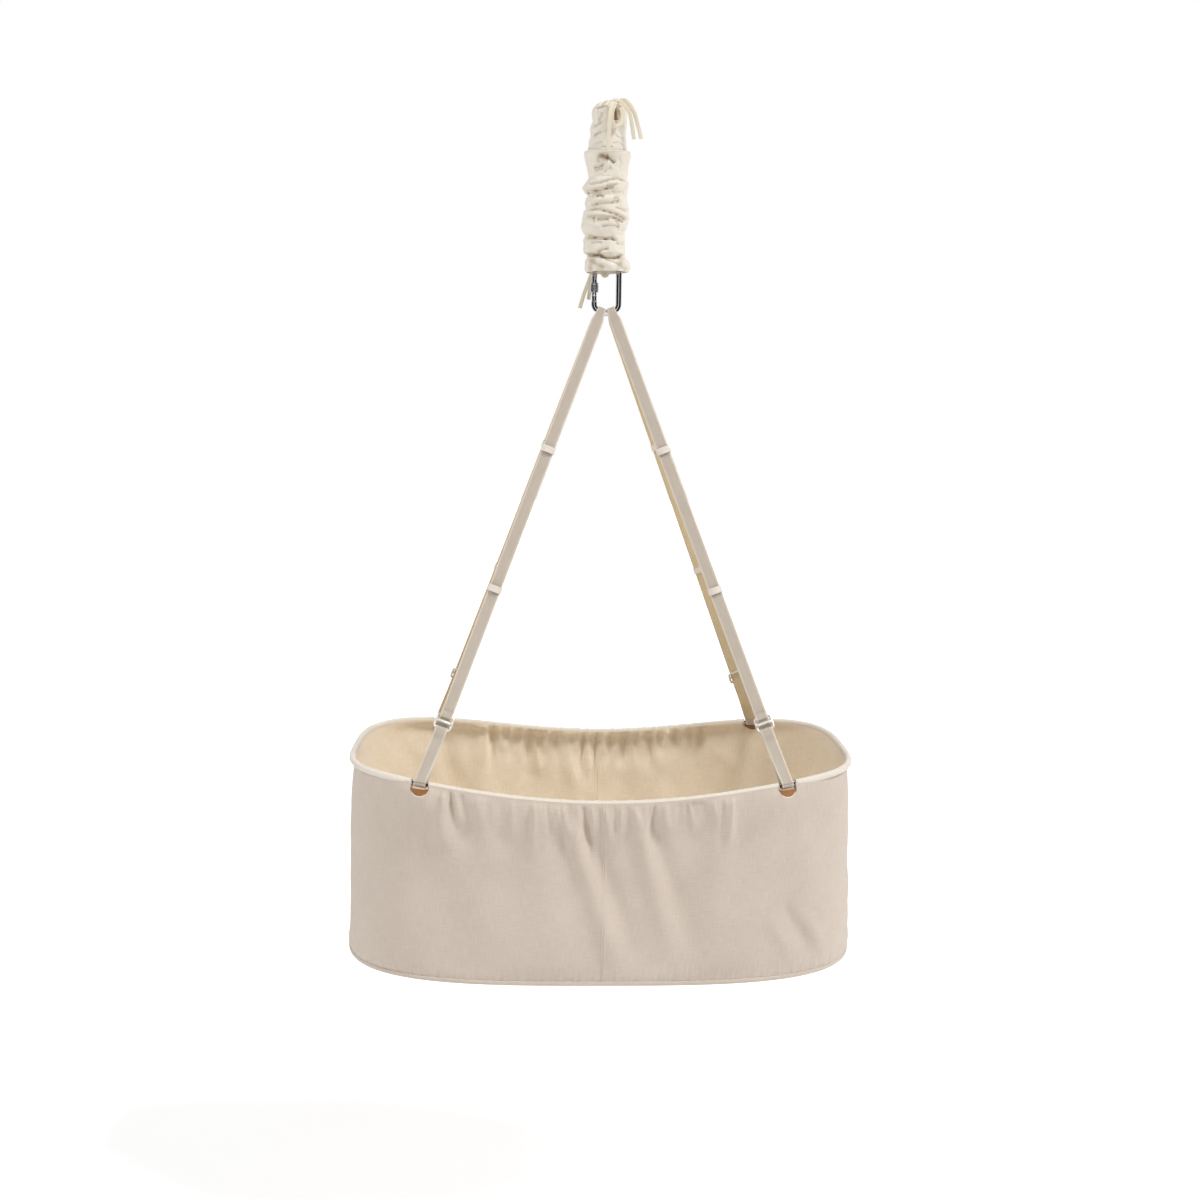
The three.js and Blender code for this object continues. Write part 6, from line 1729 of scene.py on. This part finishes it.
class CRADLE_OT_stage(bpy.types.Operator):
    """Sets the camera, the even light and the pale floor"""

    bl_idname = "cradle.stage"
    bl_label = "Stage"

    def execute(self, context):
        stage = context.scene.cradle_stage
        scene = context.scene
        yaw, tilt, roll = stage.camera_yaw, stage.camera_tilt, stage.camera_roll
        forward = vec(np.sin(yaw) * np.cos(tilt), np.cos(yaw) * np.cos(tilt), -np.sin(tilt))
        right = vec(np.cos(yaw), -np.sin(yaw), 0)
        up = np.cross(right, forward)
        turned_right = right * np.cos(roll) + up * np.sin(roll)
        turned_up = up * np.cos(roll) - right * np.sin(roll)
        data = bpy.data.cameras.new("camera")
        data.lens = stage.camera_lens
        data.sensor_width = 36
        data.sensor_fit = "HORIZONTAL"
        data.clip_end = 100
        camera = bpy.data.objects.new("camera", data)
        aim(camera, turned_right, turned_up, -forward, stage.camera_place)
        scene.collection.objects.link(camera)
        scene.camera = camera
        scene.view_settings.view_transform = "Standard"
        self.lights(scene, stage)
        self.floor(stage)
        self.flags()
        return {"FINISHED"}

    def lights(self, scene, stage):
        """An even white world that the camera and polished metal see as pure white, and two broad
        soft lights from the sides."""
        world = bpy.data.worlds.new("studio")
        world.use_nodes = True
        tree = world.node_tree
        background = tree.nodes["Background"]
        background.inputs["Color"].default_value = (1, 1, 1, 1)
        path = tree.nodes.new("ShaderNodeLightPath")
        seen = tree.nodes.new("ShaderNodeMath")
        seen.operation = "MAXIMUM"
        tree.links.new(path.outputs["Is Camera Ray"], seen.inputs[0])
        tree.links.new(path.outputs["Is Glossy Ray"], seen.inputs[1])
        level = tree.nodes.new("ShaderNodeMapRange")
        level.inputs["To Min"].default_value = stage.world_light
        level.inputs["To Max"].default_value = 1.0
        tree.links.new(seen.outputs[0], level.inputs["Value"])
        tree.links.new(level.outputs[0], background.inputs["Strength"])
        scene.world = world
        for name, place, strength in (
            ("right_light", vec(0.90, -0.42, 1.15), stage.right_light),
            ("left_light", vec(-0.90, -0.40, 0.90), stage.left_light),
        ):
            data = bpy.data.lights.new(name, "SUN")
            data.energy = strength
            data.angle = 0.25
            lamp = bpy.data.objects.new(name, data)
            z = unit(place)
            x = unit(np.cross(vec(0, 0, 1), z))
            aim(lamp, x, np.cross(z, x), z, (0, 0, 0))
            scene.collection.objects.link(lamp)

    def flags(self):
        """Two dark upright cards beside the camera, which only polished metal sees, so that its
        round bars show dark bands between white ones."""
        n = Nodes("flag_cloth", (0.10, 0.10, 0.11), 0.95)
        n.vary("Base Color", n.blend(
            n.noise(n.place(), 40.0), (0.006, 0.006, 0.007), (0.016, 0.016, 0.018)))
        for name, near, far in (("flag_left", -3.30, -1.72), ("flag_right", -1.40, 0.15)):
            angles = np.array([near, near, far, far])
            heights = np.array([-1.6, 0.9, 0.9, -1.6])
            points = np.column_stack([1.6 * np.cos(angles), 1.6 * np.sin(angles), heights])
            card = flat_object(name, points, (0, 1, 2, 3), n.material)
            card.visible_camera = card.visible_diffuse = False
            card.visible_transmission = card.visible_shadow = False

    def floor(self, stage):
        """A wide white floor with a very faint grain."""
        n = Nodes("floor_paint", (0.97, 0.97, 0.97), 0.9)
        grain = n.noise(n.place(), 3.0, 2.0)
        n.vary("Base Color", n.blend(grain, (0.95, 0.95, 0.95), (0.97, 0.97, 0.97)))
        n.base.inputs["Emission Color"].default_value = (1, 1, 1, 1)
        path = n.add("ShaderNodeLightPath")
        n.vary("Emission Strength", n.times(path.outputs["Is Camera Ray"], 0.35))
        size = 14.0
        corners = np.array([[[-size, -size, 0], [size, -size, 0]],
                            [[-size, size, 0], [size, size, 0]]])
        points = (corners + vec(0, 0, stage.floor_height)).reshape(-1, 3)
        flat_object("floor", points, (0, 1, 3, 2), n.material)


class CRADLE_OT_free_tapes(bpy.types.Operator):
    """Makes the drawstring's bow and tails and the tails of the tie tape"""

    bl_idname = "cradle.free_tapes"
    bl_label = "Free Tapes"

    def execute(self, context):
        sizes = context.scene.cradle_sizes
        for name, route in TAPE_ROUTES.items():
            line = smooth_line(np.array(route) * MM, 10)
            body = "spring_bottom" if name.startswith("tie") else "spring_top"
            part = tape_part(line, sizes.tape_width, sizes.tape_thickness, vec(0, -1, 0))
            piece = make_piece(
                f"{name}_cloth", [part], [material_of("tape cotton")], body, (name,))
        return {"FINISHED"}


class CRADLE_OT_spring(bpy.types.Operator):
    """Makes the spring's coil and eyes and the safety cord inside it"""

    bl_idname = "cradle.spring"
    bl_label = "Spring"

    def execute(self, context):
        steel = material_of("spring steel")
        share = np.linspace(0, 1, COIL_CURLS * 20 + 1)
        turned = (TURN * COIL_CURLS + np.pi + 2 * COIL_START_ANGLE) * share
        angle = COIL_START_ANGLE - turned - COIL_END_GAP / COIL_RADIUS * (1 - 2 * share)
        path = np.column_stack([COIL_RADIUS * np.cos(angle), COIL_RADIUS * np.sin(angle),
                                mix(COIL_TOP_Z, COIL_BOTTOM_Z, share)])
        coil = make_piece(
            "spring_wire", [wire_part(path, WIRE_RADIUS, 10)], [steel], None, ("spring_coil",))
        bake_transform(coil)
        for name, centre, side, body in (
            ("upper", UPPER_EYE_Z, 1, "spring_top"), ("lower", LOWER_EYE_Z, -1, "spring_bottom")):
            part = wire_part(spring_eye_line(centre, side), WIRE_RADIUS, 14)
            make_piece(f"spring_{name}_hook", [part], [steel], body, (f"spring_{name}_eye",))
        loop = COIL_RADIUS * np.cos(np.pi / 8) - WIRE_RADIUS - FIT - SAFETY_RADIUS
        clear = WIRE_RADIUS + SAFETY_RADIUS + FIT
        top = UPPER_EYE_Z - EYE_INNER_RADIUS - WIRE_RADIUS - clear
        bottom = LOWER_EYE_Z + EYE_INNER_RADIUS + WIRE_RADIUS + clear
        share = np.linspace(0, 1, SAFETY_LOOPS * 20 + 1)
        angle = TURN * SAFETY_LOOPS * share
        radius = loop * ease(np.minimum(share, 1 - share) / 0.12)
        path = np.column_stack(
            [radius * np.cos(angle), radius * np.sin(angle), mix(top, bottom, share)])
        cord = make_piece(
            "safety_braid", [wire_part(path, SAFETY_RADIUS, 12)], [material_of("nylon cord")], None,
            ("safety_cord",))
        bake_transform(cord)
        return {"FINISHED"}


class CRADLE_OT_sleeve(bpy.types.Operator):
    """Makes the cotton hood, the gathered sleeve and its hem band"""

    bl_idname = "cradle.sleeve"
    bl_label = "Sleeve"

    def execute(self, context):
        cloth = context.scene.cradle_sizes.sleeve_cloth
        cotton = material_of("sleeve cotton")
        hood = make_piece(
            "hood_cloth", [thick_tube(hood_points, 170, 280, cloth)], [cotton], "spring_top",
            ("sleeve_hood",))
        sleeve = make_piece(
            "sleeve_cloth", [thick_tube(sleeve_points, 260, 296, cloth)], [cotton], None,
            ("spring_sleeve",))
        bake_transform(sleeve)
        band = thick_tube(band_points, 40, 260, cloth * 1.3)
        roll = self.collar_roll()
        make_piece("sleeve_edge", [roll], [cotton], "spring_top", ())
        make_piece("hem_band", [band, self.tab(context)],
                   [cotton, material_of("tape cotton")], "spring_bottom", ("sleeve_hem",))
        return {"FINISHED"}

    def collar_roll(self):
        """The sewn top edge of the sleeve: a thin roll round the collar."""
        angle = round_angles(200)[:, None]
        top = np.full_like(angle, SLEEVE_TOP_Z - 0.5 * MM)
        x, y = sided_tube(top, angle, SLEEVE_SIDES, -0.4 * MM, 1.0)
        path = np.hstack([x, y, top + 0.7 * MM * np.sin(2 * angle + 1)])
        return round_bar(path, vec(0, 0, 1), 1.2 * MM, 12, closed=True)

    def tab(self, context):
        """A folded end of the tie that hangs below the band inside the hook."""
        sizes = context.scene.cradle_sizes
        line = smooth_line(np.array([
            [-8.5, 9.5, -255], [-7.8, 9.5, -262], [-5, 9.5, -267.5], [-1, 9.5, -268],
            [2, 9.5, -263.5], [3.5, 9.5, -256],
        ]) * MM, 8)
        part = tape_part(line, sizes.tape_width, sizes.tape_thickness, vec(0, -1, 0))
        part.quad_slots = part.quad_slots + 1
        part.triangle_slots = part.triangle_slots + 1
        return part


class CRADLE_OT_knot(bpy.types.Operator):
    """Makes the drawstring's knot and the tie tape through the lower eye"""

    bl_idname = "cradle.knot"
    bl_label = "Knot and Tie"

    def execute(self, context):
        tape = material_of("tape cotton")
        centre = vec(10, 8.1 - 31, 0) * MM
        share = np.linspace(0, np.pi, 40)[:, None]
        angle = round_angles(56)[None]
        wrap = 0.16 * np.abs(np.sin(1.5 * angle + 2.2 * np.cos(share))) ** 0.6
        wrap = wrap + 0.10 * np.abs(np.sin(2 * share + angle))
        size = 0.84 + wrap
        points = centre + xyz(
            5 * MM * size * np.sin(share) * np.cos(angle),
            3.5 * MM * size * np.sin(share) * np.sin(angle), 4 * MM * size * np.cos(share))
        # Painted shade: the knot takes the sleeve cotton so that its hollows, where the wraps are
        # thin, darken towards the crease colour.
        hollow = np.clip(1 - wrap / 0.13, 0, 1)[1:-1]
        knot = grid(points[1:-1], wrap_columns=True, caps=True, shade=hollow)
        make_piece("knot_cloth", [knot], [material_of("sleeve cotton")],
                   "spring_top", ("drawstring_knot",))
        sizes = context.scene.cradle_sizes
        reach = (BAND_RADIUS - 1.8 * MM) * np.cos(np.pi / 20) - FIT - sizes.tape_thickness / 2
        top = LOWER_EYE_Z + EYE_INNER_RADIUS - FIT - sizes.tape_thickness
        start = (BAND_TOP_Z + BAND_BOTTOM_Z) / 2
        half = [(-reach * out, 0, mix(start, top, up))
                for out, up in ((1, 0.04), (0.93, 0.42), (0.66, 0.8), (0.3, 0.97), (0, 1))]
        line = smooth_line(half + [(-x, y, z) for x, y, z in half[-2::-1]], 8)
        part = tape_part(line, sizes.tape_width, sizes.tape_thickness, vec(0, 0, -1))
        make_piece("tie_cloth", [part], [tape], "spring_bottom", ("tie_tape",))
        return {"FINISHED"}


class CRADLE_OT_carabiner(bpy.types.Operator):
    """Makes the carabiner's body, gate and knurled lock nut"""

    bl_idname = "cradle.carabiner"
    bl_label = "Carabiner"

    def execute(self, context):
        steel = material_of("polished steel")
        wire = context.scene.cradle_sizes.hook_wire_radius
        side = -(HOOK_WIDTH / 2 - wire)
        path = hook_line()
        way = way_from_start(path)
        radius = np.where(way < NOSE_TURNED, GATE_RADIUS, wire)
        radius = np.where(way < 0.7 * MM, GATE_RADIUS - (0.7 * MM - way), radius)
        body = round_bar(path, vec(0, 1, 0), radius, 28)
        make_piece("hook_body", [body, self.tongue(side)], [steel], "carabiner",
                   ("carabiner_body",))
        make_piece(
            "hook_gate", self.gate(side), [steel], "gate", ("carabiner_gate",))
        make_piece(
            "hook_nut", [self.nut(side)], [steel], "lock_nut", ("lock_nut",))
        dress_node("gate_pin", steel)
        dress_node("gate_spring", material_of("spring steel"))
        return {"FINISHED"}

    def tongue(self, side):
        """The hinge tongue: a stadium, a half circle on a rectangle, as a bevelled plate."""
        turn = np.linspace(0, np.pi, 20)
        arc = np.column_stack([4 * MM * np.cos(turn), 4 * MM * np.sin(turn)])
        low = -GATE_RADIUS - FIT - 1 * MM
        outline = np.vstack([arc, [[-4 * MM, low], [4 * MM, low]]])

        def to_frame(p):
            return xyz(side + p[..., 0], p[..., 2], HOOK_Z - HINGE_DROP + p[..., 1])

        return plate(outline, TONGUE_THICKNESS, 0.4 * MM, to_frame)

    def gate(self, side):
        """The gate: a round bar with a domed end above its fork, and two prongs, each the part of
        the round section beyond the slot."""
        centre = vec(side, 0, HOOK_Z)
        top = NOSE_HEIGHT - 1.5 * FIT
        low = -HINGE_DROP + 4 * MM + 2 * FIT
        rows = [(GATE_RADIUS - 0.5 * MM, low), (GATE_RADIUS, low + 0.3 * MM), (GATE_RADIUS, 0.0),
                (GATE_RADIUS, top - 0.7 * MM), (GATE_RADIUS - 0.3 * MM, top - 0.2 * MM),
                (GATE_RADIUS - 0.8 * MM, top)]
        bar = grid(turned_profile(rows, 32, centre), wrap_columns=True, caps=True)
        slot = TONGUE_THICKNESS / 2 + FIT
        first = np.arcsin(slot / GATE_RADIUS)
        arc = np.linspace(first, np.pi - first, 18)
        outline = GATE_RADIUS * np.column_stack([np.cos(arc), np.sin(arc)])
        drop = np.linspace(0, 1, 12)
        prongs = []
        for face in (-1, 1):
            heights = mix(low + 0.2 * MM, -HINGE_DROP - GATE_RADIUS, drop)
            over = np.clip(-HINGE_DROP - heights, 0, GATE_RADIUS)
            narrow = np.sqrt(np.maximum(GATE_RADIUS**2 - over**2, (0.8 * MM) ** 2)) / GATE_RADIUS
            x = side + outline[None, :, 0] * narrow[:, None]
            points = xyz(x, outline[None, :, 1] * face, heights[:, None] + HOOK_Z)
            prongs.append(grid(points, wrap_columns=True, caps=True))
        return [bar, *prongs]

    def nut(self, side):
        """The lock nut: a ring whose face is knurled in diamonds, the larger of two slanting sine
        waves, between two plain collars."""
        low, high = -NUT_DROP - NUT_LENGTH / 2, -NUT_DROP + NUT_LENGTH / 2
        bore = GATE_RADIUS + FIT
        z = np.concatenate(
            [[low, low + 0.3 * MM], np.linspace(low + 0.8 * MM, high - 0.8 * MM, 40),
             [high - 0.3 * MM, high]])
        outer = np.full(len(z), NUT_RADIUS)
        outer[[0, -1]] = NUT_RADIUS - 1.0 * MM
        outer[[1, -2]] = NUT_RADIUS - 0.4 * MM
        sides = 144
        angle = round_angles(sides)[None]
        zz = z[:, None]
        one = np.sin(18 * angle + TURN * zz / (2.6 * MM))
        two = np.sin(18 * angle - TURN * zz / (2.6 * MM))
        inside = (ease((zz - low - 2.2 * MM) / (0.6 * MM))
                  * ease((high - 2.2 * MM - zz) / (0.6 * MM)))
        groove = ease((np.abs(zz + NUT_DROP) - 5.0 * MM) / (0.3 * MM))
        groove = groove * (1 - ease((np.abs(zz + NUT_DROP) - 5.6 * MM) / (0.3 * MM)))
        knurl = -(0.45 * MM) * (1 - np.maximum(one, two)) * 0.5 * inside - 0.6 * MM * groove
        rows = np.column_stack([outer, z])
        outside = turned_profile(rows, sides, vec(side, 0, HOOK_Z), knurl)
        hole = turned_profile([(bore, high), (bore, low)], sides, vec(side, 0, HOOK_Z))
        return grid(np.concatenate([outside, hole], 0), wrap_rows=True, wrap_columns=True)


class CRADLE_OT_slings(bpy.types.Operator):
    """Makes the two webbing slings, the strap ends, the sliders and the keepers"""

    bl_idname = "cradle.slings"
    bl_label = "Slings"

    def execute(self, context):
        webbing = material_of("webbing")
        thread = material_of("hem canvas")
        for side_name, side in SIDES:
            make_piece(f"sling_webbing_{side_name}", [sling_part(side)],
                       [webbing, material_of("webbing back")], "cradle",
                       (f"sling_{side_name}",))
            for face_name, face in FACES:
                leg = strap_leg(side, face)
                place = f"{face_name}_{side_name}"
                part, seam = strap_end_part(leg)
                across = np.linspace(-0.8, 0.8, 6)[:, None]
                step = across * context.scene.cradle_sizes.webbing_width / 2
                centres = np.vstack([seam + leg.across * step + leg.out * 0.75 * MM + leg.up * rise
                                     for rise in (0.0, 2.6 * MM)])
                along = np.tile(leg.across, (len(centres), 1))
                rise = np.tile(leg.out, (len(centres), 1))
                end = make_piece(
                    f"strap_return_{place}", [part, *stitch_rows(centres, along, rise)],
                    [webbing, thread], None, (f"strap_end_{place}",),
                )
                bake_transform(end)
                make_piece(f"slider_cast_{place}", slider_parts(leg), [material_of("cast silver")],
                           f"slider_{place}", (f"slider_{place}",))
                make_piece(f"slider_fold_{place}", [slider_fold_part(leg)], [webbing],
                           f"slider_{place}", ())
                for level, along_strap in zip(("low", "high"), KEEPER_UP):
                    make_piece(f"keeper_band_{level}_{place}", [keeper_part(leg, along_strap)],
                               [thread], "cradle", (f"keeper_{level}_{place}",))
        return {"FINISHED"}


class CRADLE_OT_rim(bpy.types.Operator):
    """Makes the chrome rim tube, its hems and the notch bindings"""

    bl_idname = "cradle.rim"
    bl_label = "Rim and Hems"

    def execute(self, context):
        sizes = context.scene.cradle_sizes
        steel = material_of("polished steel")
        cloth = material_of("hem canvas")
        half = RIM_ROUND / 2
        for name, start in (("back", FIT / 2), ("front", half + FIT / 2)):
            path = rim_at(hem_line(start, start + half - FIT, 0.0035))
            make_piece(
                f"rim_chrome_{name}", [round_bar(path, vec(0, 0, 1), sizes.rim_tube_radius, 20)],
                [steel], "cradle", (f"rim_tube_{name}",))
        for name in ("left", "right"):
            dress_node(f"rim_ferrule_{name}", steel)
        corners = [strap_length(*key) for key in ((1, 1), (-1, 1), (-1, -1), (1, -1))]
        stretches = {
            "back": (corners[0], corners[1], 21), "left": (corners[1], corners[2], 22),
            "front": (corners[2], corners[3], 23), "right": (corners[3], corners[0] + RIM_ROUND,
                                                             24)}
        # The hem rolls take the paler canvas, which partly stands for a painted highlight on their
        # tops.
        for name, (start, end, seed) in stretches.items():
            make_piece(f"hem_roll_{name}", [hem_part(start, end, seed)], [cloth], "cradle",
                       (f"hem_{name}",))
        for side_name, side in SIDES:
            for face_name, face in FACES:
                place = f"{face_name}_{side_name}"
                make_piece(f"notch_binding_{place}", binding_parts(side, face), [cloth], "cradle",
                           ())
                # The notch linings are dark tan as painted shade.
                make_piece(f"notch_lining_{place}", [notch_shade_lining_part(side, face)],
                           [material_of("notch lining")], "cradle", ())
        return {"FINISHED"}


class CRADLE_OT_basket(bpy.types.Operator):
    """Makes the two halves of the basket wall and the bottom panel, and finishes the board"""

    bl_idname = "cradle.basket"
    bl_label = "Basket"

    def execute(self, context):
        sizes = context.scene.cradle_sizes
        cloths = [material_of("outer canvas"), material_of("inner canvas")]
        share = wall_shares(WALL_ROWS)[:, None]
        for name, side in SIDES:
            station = wall_stations(side)[None]
            outer = wall_surface(station, share)
            inner = wall_surface(station, share, sizes.wall_thickness)
            slots = np.array([0] * (WALL_ROWS - 1) + [1] * WALL_ROWS + [0])
            points = shell_rows(outer, inner)
            v = (share * 0.30)[:, 0]
            v = np.concatenate([v, v[::-1], v[:1]])
            u = station[0] - FRONT_MIDDLE
            part = grid(
                points, wrap_rows=True, slots=slots, close=True, uv=np.stack(np.meshgrid(u, v), -1))
            wall = make_piece(
                f"wall_canvas_{name}", [part], cloths, "cradle", (f"wall_{name}",))
            wall.data.set_sharp_from_angle(angle=WALL_SHARP_ANGLE)
        panel = make_piece(
            "panel_canvas", [panel_part()], [cloths[0]], "cradle", ("bottom_panel",))
        dress_node("base_board", material_of("ply board"))
        return {"FINISHED"}


class CRADLE_OT_mattress(bpy.types.Operator):
    """Makes the quilted mattress and its piping"""

    bl_idname = "cradle.mattress"
    bl_label = "Mattress"

    def execute(self, context):
        cotton = material_of("mattress cotton")
        share = np.linspace(0, 1, 150)[1:-1, None]
        angle = round_angles(320)[None]
        points = mattress_points(share, angle)
        uv = np.stack([points[..., 0], points[..., 1] + points[..., 2]], -1)
        uv = np.concatenate([uv, uv[:, :1]], 1)
        parts = [grid(points, wrap_columns=True, caps=True, uv=uv)]
        turn = np.linspace(0, TURN, 361)[:-1]
        for rise in (0.06, 0.94):
            x, y = super_xy(turn, MATTRESS_LENGTH - 0.4 * MM, MATTRESS_WIDTH - 0.4 * MM,
                            MATTRESS_POWER)
            path = np.column_stack([x, y, np.full_like(x, MATTRESS_Z + rise * MATTRESS_THICKNESS)])
            parts.append(round_bar(path, vec(0, 0, 1), 1.6 * MM, 10, closed=True))
        piece = make_piece(
            "mattress_cloth", parts, [cotton], "mattress", ("mattress",))
        return {"FINISHED"}


class CRADLE_PT_panel(bpy.types.Panel):
    """Lists the cradle's pieces and their sizes and colours"""

    bl_idname = "CRADLE_PT_panel"
    bl_label = "Cradle"
    bl_space_type = "VIEW_3D"
    bl_region_type = "UI"
    bl_category = "Cradle"

    def draw(self, context):
        layout = self.layout
        for operator in STEPS:
            layout.operator(operator.bl_idname)
        for group in (
            context.scene.cradle_sizes, context.scene.cradle_colours, context.scene.cradle_stage):
            box = layout.box()
            for key in type(group).__annotations__:
                box.prop(group, key)


STEPS = (CRADLE_OT_stage, CRADLE_OT_free_tapes, CRADLE_OT_spring, CRADLE_OT_sleeve, CRADLE_OT_knot,
         CRADLE_OT_carabiner, CRADLE_OT_slings, CRADLE_OT_rim, CRADLE_OT_basket, CRADLE_OT_mattress)
CLASSES = (CradleSizes, CradleColours, StageSettings, *STEPS, CRADLE_PT_panel)


def register():
    for cls in CLASSES:
        bpy.utils.register_class(cls)
    bpy.types.Scene.cradle_sizes = PointerProperty(type=CradleSizes)
    bpy.types.Scene.cradle_colours = PointerProperty(type=CradleColours)
    bpy.types.Scene.cradle_stage = PointerProperty(type=StageSettings)


def unregister():
    del bpy.types.Scene.cradle_stage
    del bpy.types.Scene.cradle_colours
    del bpy.types.Scene.cradle_sizes
    for cls in reversed(CLASSES):
        bpy.utils.unregister_class(cls)


def main():
    register()
    for step in STEPS:
        group, name = step.bl_idname.split(".")
        getattr(getattr(bpy.ops, group), name)()


if __name__ == "__main__":
    main()
